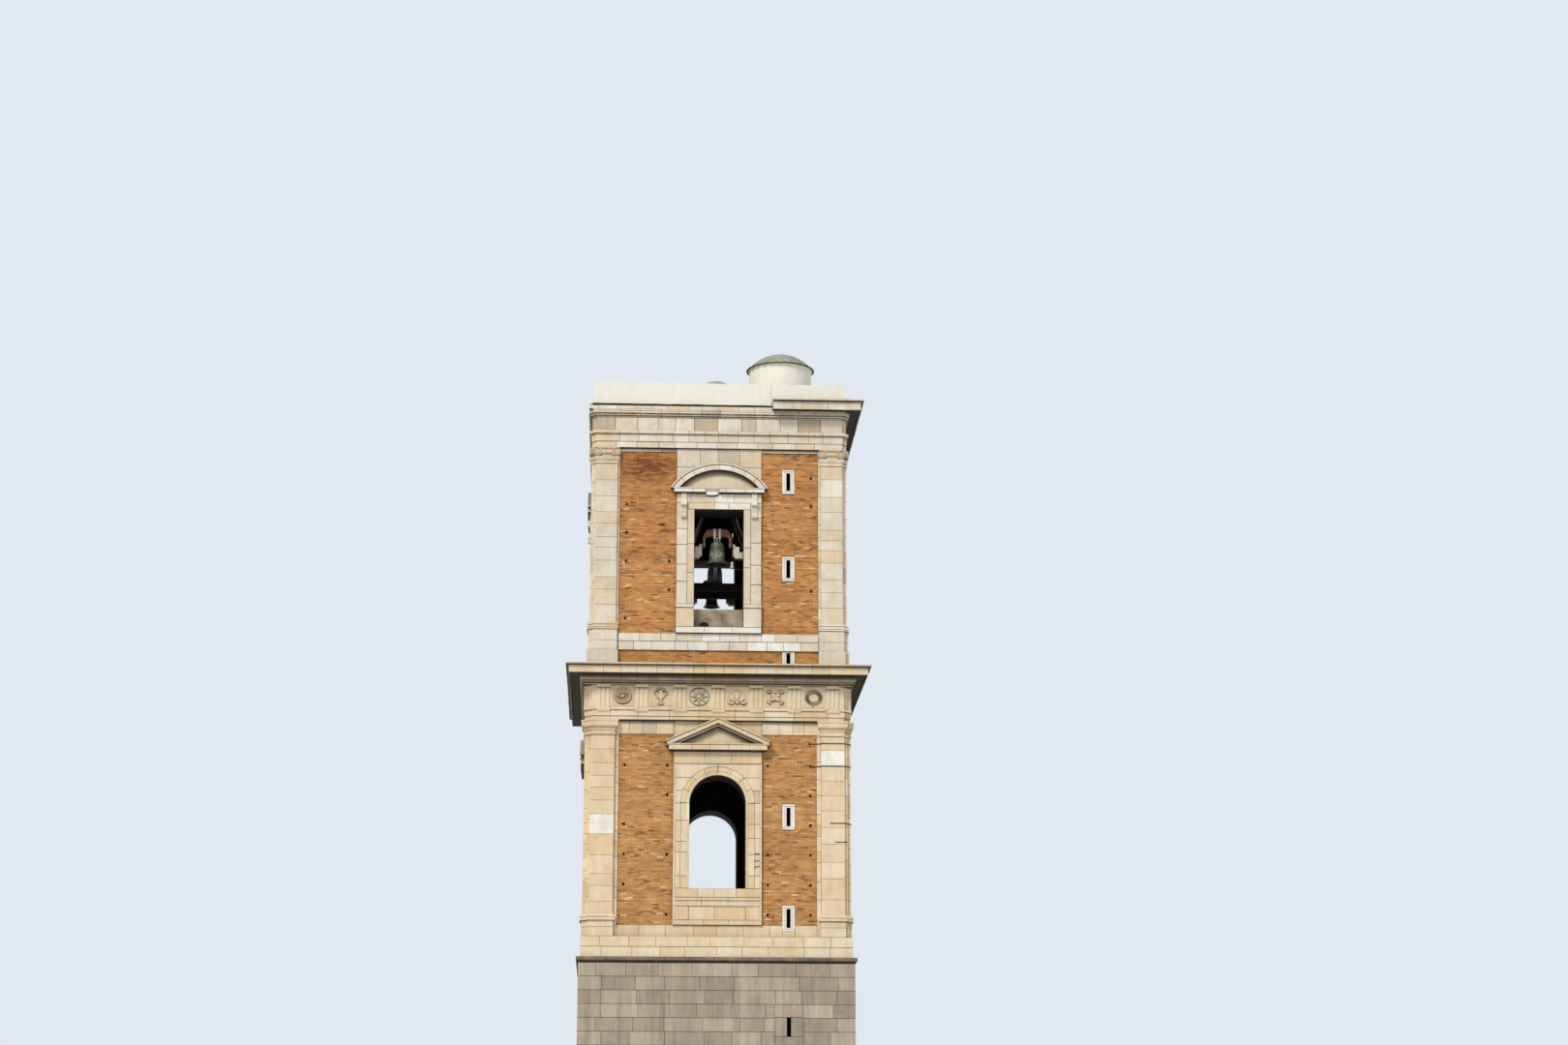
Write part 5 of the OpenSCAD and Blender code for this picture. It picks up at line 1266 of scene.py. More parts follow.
def vase(x, z):
    half = 0.12 + 0.34 * np.exp(-((z - 0.05) / 0.3) ** 2) + 0.22 * np.exp(-((z + 0.82) / 0.1) ** 2)
    half = half + 0.14 * np.exp(-((z - 0.62) / 0.07) ** 2)
    body = np.clip(1 - (x / half) ** 2, 0, 1) ** 0.5 * (np.abs(z) < 0.88) * np.where(z < 0.66, 1, 0)
    handle = np.exp(-((np.hypot((np.abs(x) - 0.42) * 1.3, z - 0.32) - 0.22) / 0.05) ** 2)
    flowers = sum(lump(x, z, cx, cz, 0.13) for cx, cz in ((0, 0.82), (-0.24, 0.76), (0.24, 0.76)))
    return np.maximum.reduce([body, 0.7 * handle, 0.8 * np.clip(flowers, 0, 1)])


def wreath(x, z):
    r, a = np.hypot(x, z), np.arctan2(z, x)
    leaves = 0.16 + 0.07 * np.abs(np.sin(11 * a + 4 * r))
    band_height = np.exp(-((r - 0.62) / leaves) ** 4) * (0.55 + 0.45 * np.cos(22 * a + 9 * r))
    tails = np.exp(-((x - 0.25 * np.sin(3 * z)) / 0.07) ** 2) * (z < -0.7)
    return np.maximum(band_height, 0.6 * tails)


def crossed_boughs(x, z):
    height = np.zeros_like(x)
    for sign in (-1, 1):
        u = (x + sign * z) * 0.7071
        v = (z - sign * x) * 0.7071
        stem = np.exp(-(u / 0.05) ** 2) * (np.abs(v) < 0.95)
        leaves = np.clip(1 - (np.abs(u) / (0.24 * np.abs(np.sin(5.2 * v)) + 0.02)) ** 2, 0, 1) ** 0.5
        height = np.maximum(height, np.maximum(0.7 * stem, leaves * (np.abs(v) < 0.9)))
    return height


def patera(x, z):
    r, a = np.hypot(x, z), np.arctan2(z, x)
    flutes = (0.55 + 0.25 * np.cos(18 * a)) * ((r > 0.26) & (r < 0.66))
    return np.maximum.reduce([flutes, np.exp(-((r - 0.74) / 0.09) ** 4), lump(x, z, 0, 0, 0.22)])


def palmette(x, z):
    r, a = np.hypot(x, z + 0.72), np.arctan2(z + 0.72, x)
    leaf = np.abs(np.cos(4.5 * (a - math.pi / 2)))
    fan = np.clip(1 - (r / (1.0 + 0.45 * np.sin(a) ** 3)) ** 6, 0, 1) * leaf ** 0.6 * (z > -0.72)
    scroll = sum(np.exp(-((np.hypot(x - s * 0.55, z + 0.62) - 0.17) / 0.06) ** 2) for s in (-1, 1))
    return np.maximum(0.85 * fan * (r > 0.25), np.maximum(scroll, lump(x, z, 0, -0.62, 0.2)))


MOTIFS = (palmette, rosette, vase, patera, wreath, crossed_boughs)
RELIEF_DEPTH, RELIEF_POINTS = 0.034, 56


def relief(x0, x1, z0, z1, face, motif):
    """A carved panel as a closed slab: its front is a height field over (u, v) in -1 to 1, held down to
    nothing at the frame, and each column of points goes up the front and back down behind it. Grime
    lies where the field is low, and painted shade where it is steep, which draws the outlines."""
    u = np.linspace(-1, 1, RELIEF_POINTS)
    x, z = np.meshgrid(u, u, indexing="ij")
    fade = np.clip((1 - np.maximum(np.abs(x), np.abs(z))) * 9, 0, 1)
    wear = 1 + 0.18 * np.sin(5 * x + 3 * z) * np.sin(4 * z - 2 * x)
    height = motif(x, z) * fade * wear * RELIEF_DEPTH
    slope = np.hypot(*np.gradient(height)) / RELIEF_DEPTH
    height = height + 0.003 * (fade < 1)
    place_x = (x0 + x1) / 2 + x * (x1 - x0) / 2
    place_z = (z0 + z1) / 2 + z * (z1 - z0) / 2
    front = np.stack([place_x, -face - 0.004 - height, place_z], -1)
    back = np.stack([place_x[:, [-1, 0]], np.full((RELIEF_POINTS, 2), 0.02 - face), place_z[:, [-1, 0]]],
                    -1)
    grime_and_shade = np.clip(0.3 - height / RELIEF_DEPTH, 0, 0.05) * fade + np.clip(slope * 2.2, 0, 0.55)
    dirt_and_shade = np.concatenate([grime_and_shade, np.zeros((RELIEF_POINTS, 2))], 1).ravel()
    return grid_tube(np.concatenate([front, back], 1), chance.uniform(0.2, 0.7), dirt_and_shade)


def metopes(side):
    half = TRIGLYPH_W / 2 + 0.035
    return [relief(a + half, b - half, FRIEZE_Z + 0.045, CORNICE_Z - 0.045, LOWER["face"],
                   MOTIFS[(k * 5 + side * 2 + 3) % 6]) for k, (a, b) in enumerate(spans(TRIGLYPHS))]


piece("doric_frieze_stones", frieze + on_sides(triglyphs), lower_marble, replaces=("doric_frieze",))
piece("metope_reliefs", on_sides(metopes), lower_marble, smooth=50)

# %% [markdown]
# ## Main cornice
# A run of moulded blocks: bed moulding, a deep corona with a drip, a hollow and a crowning fillet. The
# soffit is black with soot and painted shade, while rain keeps the face pale, so the profile carries its own
# dirt and painted shade.

# %% Main cornice
MAIN_H, MAIN_OUT = BELFRY_Z - CORNICE_Z, 0.425
CORONA = MAIN_H * 0.443
# Third column: dirt and painted shade, dark on the bed mouldings, the soffit and the line under the fillet
main_profile = ([[0.022, 0, 0], [0.022, 0.016, 0.4]] + [[p, q, 0.6]
        for p, q in arc(0.022, 0.07, 0.054, -90, 0)]
                + [[0.086, 0.074, 0.2], [0.098, 0.084, 0.2], [0.13, CORONA - 0.036, 1],
                   [0.13, CORONA + 0.006, 1],
                   [MAIN_OUT - 0.11, CORONA + 0.006, 1], [MAIN_OUT - 0.11, CORONA - 0.006, 1],
                   [MAIN_OUT - 0.076, CORONA - 0.006, 1], [MAIN_OUT - 0.07, CORONA + 0.002, 0],
                   [MAIN_OUT - 0.07, CORONA + 0.11, 0]]
                + [[p, q, 0] for p, q in arc(MAIN_OUT - 0.012, CORONA + 0.11, 0.058, 180, 130, 4)]
                + [[MAIN_OUT - 0.012, MAIN_H - 0.082, 0.3], [MAIN_OUT - 0.011, MAIN_H - 0.074, 1],
                   [MAIN_OUT, MAIN_H - 0.07, 0.4], [MAIN_OUT, MAIN_H - 0.036, 0],
                   [0.08, MAIN_H - 0.002, 0.5], [core - LOWER["face"], MAIN_H - 0.002, 1],
                   [core - LOWER["face"], 0, 1]])
main_path = square(LOWER["face"])
piece("main_cornice_stones", course(main_path, ring_spans(main_path, 0.37, 0.42), main_profile,
                                    level(CORNICE_Z),
                                    joint=0.006, wander=0.004),
      lower_marble, replaces=("main_cornice",))

# %% [markdown]
# ## Belfry storey
# The same wall again in the Ionic order: a brick band, two marble courses, brick panels between paired
# pilasters, and an opening in each side that lets out the sound of the bells.

# %% Belfry brick
BELFRY_COURSE_Z, WINDOW_FOOT = 14.555, 14.935
STRIP_Z = UPPER_Z - 0.075
WINDOW_FRAME, WINDOW_HALF = 0.9255, 0.5375
BELFRY_SLITS = (18.355, 16.395)
BAND_SLIT, BAND_SLIT_H = 14.385, 0.34
b_core, b_margin, b_inner, b_brick = BELFRY["core"], BELFRY["margin"], BELFRY["inner"], BELFRY["brick"]


def belfry_panel(side):
    """The two tall panels of one side and the low band under the courses."""
    bricks, beds = [], []
    for sign in (-1, 1):
        x0, x1 = either_side(sign, WINDOW_FRAME, b_inner)
        heights = np.arange(WINDOW_FOOT + 0.33, STRIP_Z - 0.1, PUTLOG_PITCH)
        putlogs = [(x, z) for z in heights for x in (x0 + 0.15, x1 - 0.15)]
        slots = slit_rows(BELFRY_SLITS, FRAME_HEIGHT) if side == 0 and sign > 0 else []
        wall, bed = panel(x0, x1, WINDOW_FOOT, STRIP_Z, BELFRY, putlogs, slots)
        if side == 0 and sign < 0:
            middle = wall[0].reshape(-1, 8, 3).mean(1)
            stain = 1.25 * np.exp(-((middle[:, 0] + 1.55) / 0.62) ** 2 - ((middle[:,
                    2] - 18.66) / 0.27) ** 2)
            wall[3] = np.repeat(np.clip(stain * chance.uniform(0.25, 1.4, len(stain)), 0, 0.92), 8)
        bricks.append(wall)
        beds.append(bed)
    slots = slit_rows((BAND_SLIT,), BAND_SLIT_H) if side == 0 else []
    wall, bed = panel(-b_inner, b_inner, BELFRY_Z, BELFRY_COURSE_Z, BELFRY, [], slots)
    return bricks + [wall], beds + [bed]


brick_pieces("belfry", belfry_panel, belfry_clay)


# %% Belfry courses
def belfry_bands(side):
    """Two courses above the brick band and the strip above the brick."""
    middle = (BELFRY_COURSE_Z + WINDOW_FOOT) / 2 + 0.01
    face = b_margin + 0.015
    parts = []
    for low, high, pitch in ((BELFRY_COURSE_Z, middle, 0.41), (middle, WINDOW_FOOT, 0.44)):
        rows = split(-b_inner, b_inner, low, high, pitch)
        parts += flat_stones(rows, face, b_core, 0.008, np.maximum(chance.uniform(-0.1, 0.5, len(rows)), 0))
    for sign in (-1, 1):
        x0, x1 = either_side(sign, WINDOW_FRAME, b_inner)
        parts += band(x0, x1, STRIP_Z, UPPER_Z - STRIP_Z, b_margin, b_margin - b_core, 0.42,
                      shaded(UPPER_Z - STRIP_Z, b_margin - b_core, 0.045))
    return parts


piece("belfry_course_stones", on_sides(belfry_bands), upper_marble, replaces=("belfry_courses",))

# %% Belfry pilasters
PEDESTAL_TOP, IONIC_BASE_H, STEP_H = 15.0, 0.16, 0.34
BELFRY_SHAFT_Z = PEDESTAL_TOP + IONIC_BASE_H
ionic_base = ([[0.044, 0], [0.044, IONIC_BASE_H * 0.2]] + arc(0.026, IONIC_BASE_H * 0.36,
                                                              IONIC_BASE_H * 0.16, -90, 90, 5)
              + [[0.016, IONIC_BASE_H * 0.56], [0.014, IONIC_BASE_H * 0.66]]
              + arc(0.016, IONIC_BASE_H * 0.78, IONIC_BASE_H * 0.11, -90, 90, 5) + [[0.008, IONIC_BASE_H]])


def belfry_corner(side):
    whole = corner_outline(BELFRY)
    step_out = BELFRY["edge"] - BELFRY["pilaster"] - b_inner - 0.005
    parts = [tier(whole, BELFRY_Z, BELFRY_Z + STEP_H, step_out),
             tier(whole, BELFRY_Z + STEP_H, BELFRY_COURSE_Z + 0.2, 0.024),
             tier(whole, BELFRY_COURSE_Z + 0.2, PEDESTAL_TOP, 0.024),
             moulded(whole, PEDESTAL_TOP, ionic_base)]
    for part in ("front", "side"):
        drums = pile(corner_outline(BELFRY, part), BELFRY_SHAFT_Z, IONIC_Z)
        for drum in drums:
            drum[2] = np.maximum(drum[2], 0.12)
        parts += drums
    return parts + pile(corner_outline(BELFRY, "fold"), BELFRY_SHAFT_Z, IONIC_Z, 0.3, 0.6)


piece("belfry_pilaster_stones", on_sides(belfry_corner) + on_sides(lambda side: margins(BELFRY, BELFRY_Z,
        UPPER_Z)),
      shaft_upper, replaces=("belfry_pilasters",))

# %% [markdown]
# The Ionic capital is the hardest carving on the tower. Its volutes are one ridge that winds in two and
# a half turns to an eye; the ridge is swept along a logarithmic spiral whose radius shrinks by the same
# share in each turn. Eggs stand in a row between the volutes, under the abacus.


# %% Ionic capitals
CAPITAL_H, VOLUTE_R = UPPER_Z - IONIC_Z, 0.105
IONIC_NECK = CAPITAL_H - 2 * VOLUTE_R
ionic_neck = ([[0.002, 0]] + arc(0.004, 0.022, 0.018, -90, 90, 4) + [[0, 0.044], [0, IONIC_NECK * 0.45],
              [0.01, IONIC_NECK * 0.5], [0.026, IONIC_NECK * 0.75], [0.034, IONIC_NECK]])


def tube(points, radius, tone=0.5, sides=8):
    """A round bar along a line: each ring stands square to the line's direction there. The two axes of
    a ring come from the cross products of that direction with one fixed vector."""
    points = np.asarray(points, float)
    direction = np.gradient(points, axis=0)
    direction /= np.linalg.norm(direction, axis=1)[:, None]
    spread = np.abs(direction).mean(0)
    fixed = np.eye(3)[int(np.argmin(spread))]
    a = np.cross(direction, fixed)
    a /= np.linalg.norm(a, axis=1)[:, None]
    b = np.cross(direction, a)
    angle = np.linspace(0, 2 * math.pi, sides, endpoint=False)
    radius = np.broadcast_to(radius, len(points))[:, None, None]
    ring_points = points[:, None] + radius * (np.cos(angle)[None, :, None] * a[:, None]
                                              + np.sin(angle)[None, :, None] * b[:, None])
    return grid_tube(ring_points[:, ::-1], tone)


def disc(x, z, radius, face, back, tone=0.5, dirt_and_shade=(0, 0), count=28):
    """A round block on the front with its axis across the wall."""
    angle = np.linspace(0, 2 * math.pi, count, endpoint=False)
    rings = [[[x + radius * math.cos(a), -y, z + radius * math.sin(a)] for a in angle[::-1]]
            for y in (back, face)]
    return grid_tube(np.array(rings), tone, np.repeat(np.asarray(dirt_and_shade, float), count))


def ionic_capital(x, tone):
    """Volutes, echinus and abacus of one capital on the front at x."""
    half = BELFRY["pilaster"] / 2
    reach, face = 0.052, BELFRY["face"]
    z = IONIC_Z + IONIC_NECK + VOLUTE_R
    front = face + reach
    parts = []
    for sign in (-1, 1):
        cx = x + sign * half * 0.86
        # The disc behind the spiral is darkened by half
        parts.append(disc(cx, z, VOLUTE_R * 0.97, front - 0.016, b_margin, tone, (0.5, 0.5)))
        turn = np.linspace(0, 2.6 * 2 * math.pi, 90)
        radius = VOLUTE_R * 0.9 * 0.52 ** (turn / (2 * math.pi))
        line = np.column_stack([cx - sign * radius * np.sin(turn), np.full(90, 0.008 - front),
                                z + radius * np.cos(turn)])
        parts.append(tube(line, np.linspace(0.0125, 0.007, 90), tone, 8))
        parts.append(disc(cx, z, VOLUTE_R * 0.2, front + 0.002, front - 0.02, tone, count=14))
    low, high = z - VOLUTE_R * 0.35, z + VOLUTE_R * 0.68
    parts.append(boxes([x - half * 0.86, -front + 0.034, low], [x + half * 0.86, -b_margin, high], tone))
    for k in range(5):
        cx = x + (k - 2) * 0.056
        turn, rise = np.meshgrid(np.linspace(0, 2 * math.pi, 12, endpoint=False),
                                 np.linspace(-1.45, 1.45, 7))
        egg = np.stack([cx + 0.022 * np.cos(rise) * np.cos(turn),
                        -front + 0.030 - 0.024 * np.cos(rise) * np.sin(turn),
                        z - 0.01 + 0.036 * np.sin(rise)], -1)
        parts.append(grid_tube(egg[:, ::-1], tone))
    top = IONIC_Z + CAPITAL_H
    parts.append(boxes([x - half - 0.018, -front + 0.016, high],
                       [x + half + 0.018, -b_margin, high + 0.014], tone))
    parts.append(boxes([x - half - 0.03, -front + 0.004, high + 0.014],
                       [x + half + 0.03, -b_margin, top - 0.002], tone))
    return parts


def ionic_corner(side):
    middle = BELFRY["edge"] - BELFRY["pilaster"] / 2
    tones = chance.uniform(0.2, 0.78, 2)
    return ([moulded(corner_outline(BELFRY), IONIC_Z,
                     ionic_neck + [[0, IONIC_NECK + 0.01], [0, CAPITAL_H]])]
            + ionic_capital(middle, tones[0]) + ionic_capital(-middle, tones[1]))


piece("ionic_capital_stones", on_sides(ionic_corner), shaft_upper, smooth=35,
      replaces=("ionic_capitals",))

# %% [markdown]
# ## Bell openings
# Each opening is a small temple front: a broad architrave with an inner strip, ledges beside the
# parapet, two scrolled consoles and a segmental pediment. On the front the level cornice has broken
# away in the middle, which leaves the rough core of its stones.

# %% Window surround
W_FACE, W_SILL, W_HEAD = 2.777, 15.07, 17.697
W_CORNICE, W_CORNICE_H = 18.047, 0.12
LEDGE_Z = 15.495


def window_surround(side):
    f, a, w = W_FACE, WINDOW_FRAME, WINDOW_HALF
    parts = flat_stones(split(-a, a, WINDOW_FOOT, W_SILL, 0.62), f + 0.03, b_core, 0.008,
                        [0.05, 0.03, 0.08])
    for sign in (-1, 1):
        x0, x1 = either_side(sign, w, a)
        parts += flat_stones([(x0, x1, W_SILL, LEDGE_Z)], f + 0.026, b_core)
        wide = sorted((sign * w, sign * (a + 0.006)))
        parts.append(face_block(rectangle(*wide, LEDGE_Z, LEDGE_Z + 0.075), f + 0.046, b_core))
        mid = sign * (w + 0.15)
        near, far = sorted((sign * w, mid)), sorted((mid, sign * a))
        for low, high in spans(cuts(LEDGE_Z + 0.075, W_HEAD, 0.62, 0.25)):
            parts.append(face_block(rectangle(*near, low, high), f + 0.016, b_core, 0.008,
                                    chance.uniform(0.25, 0.85)))
        for low, high in spans(cuts(LEDGE_Z + 0.075, W_HEAD + 0.15, 0.5, 0.3)):
            parts.append(face_block(rectangle(*far, low, high), f, b_core, 0.008,
                                    chance.uniform(0.1, 0.55)))
    lintel = [-w - 0.15, -0.09, 0.2, w + 0.15]
    for (x0, x1), tone in zip(spans(lintel), (0.72, 0.02, 0.08)):
        parts.append(face_block(rectangle(x0, x1, W_HEAD, W_HEAD + 0.15), f + 0.016, b_core, tone=tone))
    for (x0, x1), tone in zip(spans([-a, -0.62, -0.09, 0.33, a]), (0.3, 0.74, 0.04, 0.12)):
        parts.append(face_block(rectangle(x0, x1, W_HEAD + 0.15, W_CORNICE), f, b_core, tone=tone))
    top = (W_CORNICE + UPPER_Z) / 2 + 0.1
    wall = b_brick + 0.03
    parts += flat_stones(split(-a, a, W_CORNICE, top, 0.46) + split(-a, a, top, UPPER_Z, 0.5), wall, b_core)
    return parts


piece("window_surround_stones", on_sides(window_surround), upper_marble, replaces=("window_surrounds",))


# %% Consoles
def console_pair(side):
    """Scrolled brackets under the ends of the pediment. Seen from the side each is one S curve: a neck
    under the cornice, a swelling head, a hollow and a curled foot. The outline runs across the wall, and
    raised bars along both edges and the middle of the face give it its channels. A cap block stands
    out at the head and throws a shadow on the lower part."""
    h, out, y = 0.56, 0.11, W_FACE
    foot_z = W_CORNICE - h
    turn = np.linspace(0, math.pi, 9)
    foot_curl = np.column_stack([y + 0.034 + 0.036 * np.sin(turn), 0.072 - 0.07 * np.cos(turn)])
    shank = [[y + 0.046, 0.2], [y + 0.05, 0.27]]
    head_curl = np.column_stack([y + 0.056 + 0.04 * np.sin(turn), 0.355 - 0.075 * np.cos(turn)])
    neck = [[y + 0.05, 0.45], [y + 0.058, h]]
    outline = np.vstack([[[y - 0.02, 0.002]], foot_curl, shank, head_curl, neck, [[y - 0.02, h]]])
    cap_outline = [[y - 0.02, 0.283], [y + out - 0.012, 0.283], [y + out - 0.002, 0.30],
                   [y + out - 0.002, 0.385],
                   [y + out - 0.012, 0.405], [y + 0.06, 0.415], [y - 0.02, 0.415]]
    parts = []
    for sign in (-1, 1):
        x = sign * 0.7705
        tone = chance.uniform(0.02, 0.3)
        for half_width, shift, swell in ((0.05, 0.0, -0.008), (0.011, -0.042, 0.0), (0.011, 0.042, 0.0),
                                         (0.008, 0.0, 0.0)):
            origins = [[x + shift - half_width, 0, foot_z], [x + shift + half_width, 0, foot_z]]
            parts.append(prism(outline, origins, -Y_AXIS, Z_AXIS, [swell, swell], 0.0, tone))
        sides = [x - 0.065, x - 0.061, x + 0.061, x + 0.065]
        parts.append(prism(cap_outline, [[v, 0, foot_z] for v in sides], -Y_AXIS, Z_AXIS,
                           [-0.004, 0, 0, -0.004], 0.0, tone * 0.5))
    return parts


piece("window_console_stones", on_sides(console_pair), shaft_upper, replaces=("window_consoles",))

# %% Segmental pediments
PED_HALF, PED_RISE = 1.0655, 0.56
PED_R = (PED_HALF**2 + PED_RISE**2) / (2 * PED_RISE)
W_TOP = W_CORNICE + W_CORNICE_H
PED_CENTRE = W_TOP + PED_RISE - PED_R
W_OUT = 0.17


def curved_cornice(radius, inner_radius, out, wall):
    """One moulding of the curved cornice, cut level where it meets the cornice below."""
    limit = math.acos((W_TOP - 0.001 - PED_CENTRE) / radius)
    angle = np.linspace(-limit, limit, 41)
    line = np.column_stack([radius * np.sin(-angle), PED_CENTRE + radius * np.cos(angle)])
    path = walk(line, 1.0)
    drop = radius - inner_radius
    under = radius < PED_R - 0.01
    # Its underside is dark with painted shade, and on an inner ring a line of painted shade runs under the ring
    # above
    profile = [[-0.11, -drop, 1], [out - 0.006, -drop, 1], [out, 0.005 - drop, 0.1], [out, -0.024, 0],
               [out, -0.006, 0.85 * under], [out - 0.006, 0, 1.0 if under else 0.4], [-0.11, 0, 1]]
    joints = np.linspace(0, path["at"][-1], 9)
    return course(path, spans(joints), profile, upright(wall), joint=0.007,
                  tones=chance.uniform(0, 0.35, 8))


def window_pediment(side):
    wall = b_brick + 0.03
    line = returned(WINDOW_FRAME, wall, b_core, 0.062, W_OUT - 0.03)
    joints = cuts(0, line["at"][-1], 0.42)
    middle = line["at"][-1] / 2
    laid = gapped(spans(joints), [(middle - 0.31, middle)] if side == 0 else [])
    parts = course(line, laid, level_profile(W_CORNICE_H), level(W_CORNICE),
                   tones=chance.uniform(0, 0.3, len(laid)))
    parts += curved_cornice(PED_R, PED_R - 0.034, W_OUT - 0.03, wall)
    parts += curved_cornice(PED_R - 0.032, PED_R - 0.155, W_OUT - 0.046, wall)
    radius = PED_R - 0.15
    reach = math.sqrt(radius**2 - (W_TOP - PED_CENTRE) ** 2) * 0.999
    parts += tympanum([-reach, -0.3, 0.36, reach], W_TOP - 0.002,
                      lambda x: PED_CENTRE + np.sqrt(radius**2 - x * x), wall + 0.012, b_core, 0.13, 0.74)
    if side == 0:
        rough = [[-0.29, -0.046], [-0.2, -0.06], [-0.07, -0.052], [-0.012, -0.03], [0.0, 0.02],
                 [-0.04, 0.055],
                 [-0.1, 0.068], [-0.16, 0.06], [-0.23, 0.07], [-0.29, 0.05], [-0.308, 0.0]]
        parts.append(face_block([[x, W_CORNICE + z] for x, z in rough], wall + 0.075, b_core, 0.022, 0.02))
    return parts


piece("window_pediment_stones", on_sides(window_pediment), upper_marble, replaces=("window_pediments",))

# %% [markdown]
# ## Upper entablature and cornice
# Two fasciae laid as two courses, then one high course of frieze blocks in very different tones, then the
# bed moulding. The crown above has fallen from the left and most of the front. What is left of its bed is
# closed with a fillet of lime and a black strip of felt.

# %% Upper entablature
upper_fold = folded(BELFRY)
UA_H = 0.385
upper_depth = b_margin - b_core
# Its foot is dark with grime and painted shade, for the black line under the architrave
lower_fascia = [[-0.003, 0, 1], [0, 0.006, 0.95], [0, 0.018], [0, UA_H * 0.38 - 0.02],
                [0, UA_H * 0.38, 0.9]]
upper_fascia = ([[0.012, 0], [0.012, UA_H * 0.34], [0.018, UA_H * 0.34]]
                + arc(0.05, UA_H * 0.34, 0.032, 180, 110, 5) + [[0.05, UA_H * 0.46], [0.05, UA_H * 0.62]])
UF_H = UPPER_CORNICE_Z - UPPER_Z - UA_H
# The top of the frieze is darkened with painted shade under the bed moulding
upper_frieze_profile = [[-0.003, 0], [0, 0.004], [0, UF_H - 0.016], [0, UF_H, 0.85]]
entablature = ring_course(upper_fold, lower_fascia, upper_depth, UPPER_Z, ring_spans(upper_fold, 0.42, 0.5))
entablature += ring_course(upper_fold, upper_fascia, upper_depth, UPPER_Z + UA_H * 0.38,
                           ring_spans(upper_fold, 0.36, 0.42), wander=0.003)
piece("upper_architrave_stones", entablature, upper_marble, replaces=("upper_entablature",))
laid = ring_spans(upper_fold, 0.44, 0.46)
SEEN_TONES = [0.3, 0.02, 0.22, 0.05, 0.6, 0.03, 0.85, 0.1, 0.06, 0.6, 0.2, 0.42]
front_run = upper_fold["runs"][2]
on_front = [k for k, (start, stop) in enumerate(laid) if front_run[0] - 0.4 < start < front_run[1] - 0.1]
frieze_tones = chance.random(len(laid))
frieze_tones[on_front] = np.resize(SEEN_TONES, len(on_front))
frieze_stones = course(upper_fold, laid, closed_course(upper_frieze_profile, upper_depth),
                       level(UPPER_Z + UA_H),
                       0.009, 0.004, frieze_tones)
piece("upper_frieze_stones", frieze_stones, frieze_marble, replaces=("upper_entablature",))

# %% Upper cornice
BED_H, BED_OUT, CROWN_OUT = ROOF_Z - UPPER_CORNICE_Z, 0.075, 0.375
CROWN_H = head("upper_cornice") - ROOF_Z
BREAK_X = 1.16
ATTIC = 2.75
bed_profile = ([[0.012, 0], [0.012, 0.018]] + arc(0.012, 0.054, 0.036, -90, 0)
               + [[BED_OUT - 0.008, BED_H * 0.45], [BED_OUT, BED_H * 0.5], [BED_OUT, BED_H * 0.74],
                  [BED_OUT - 0.006, BED_H * 0.76], [BED_OUT, BED_H * 0.8], [BED_OUT, BED_H]])
cornice = ring_course(upper_fold, bed_profile, upper_depth, UPPER_CORNICE_Z,
                      ring_spans(upper_fold, 0.44, 0.5),
                      wander=0.003)
# The soffit and drip of the crown are dark with soot and painted shade
crown_profile = ([[ATTIC - 2.79, 0.002, 1], [BED_OUT + 0.005, 0.002, 1], [CROWN_OUT - 0.095, 0.002, 1],
                  [CROWN_OUT - 0.095, -0.012, 0.9], [CROWN_OUT - 0.07, -0.012, 0.3],
                  [CROWN_OUT - 0.07, -0.006, 0],
                  [CROWN_OUT - 0.07, CROWN_H * 0.5, 0]]
                 + [[p, q, 0] for p, q in arc(CROWN_OUT - 0.014, CROWN_H * 0.5, 0.056, 180, 105, 5)]
                 + [[CROWN_OUT, CROWN_H - 0.052, 0], [CROWN_OUT, CROWN_H - 0.012, 0],
                    [BED_OUT, CROWN_H - 0.001, 0.6],
                    [ATTIC - 2.79, CROWN_H - 0.001, 1]])
half = BELFRY["face"]
crown = walk([[BREAK_X, -half], [half, -half], [half, half], [-ATTIC, half]], 1.0)
joints = np.concatenate([cuts(0, crown["at"][1] - 0.42, 0.43),
                         cuts(crown["at"][1] + 0.42, crown["at"][2] - 0.4, 0.45),
                         cuts(crown["at"][2] + 0.4, crown["at"][3], 0.45)])
cornice += course(crown, spans(joints), crown_profile, level(ROOF_Z), joint=0.005, wander=0.003)
left_break = walk([[-half, ATTIC], [-half, -half]], 1.0)
front_break = walk([[-half, -half], [BREAK_X, -half]], 1.0)
broken = walk([[-half, ATTIC], [-half, -half], [BREAK_X, -half]], 1.0)
STUMP_H = 0.095
stump_profile = [[ATTIC - half, 0.001, 1], [BED_OUT, 0.001, 1], [BED_OUT, 0.008, 0],
                 [BED_OUT - 0.008, STUMP_H * 0.8, 0],
                 [BED_OUT - 0.03, STUMP_H, 0], [ATTIC - half, STUMP_H, 1]]
cornice += course(broken, spans(cuts(0, broken["at"][-1], 0.38)), stump_profile, level(ROOF_Z),
                  wander=0.003)
piece("upper_cornice_stones", cornice, upper_marble, replaces=("upper_cornice",))


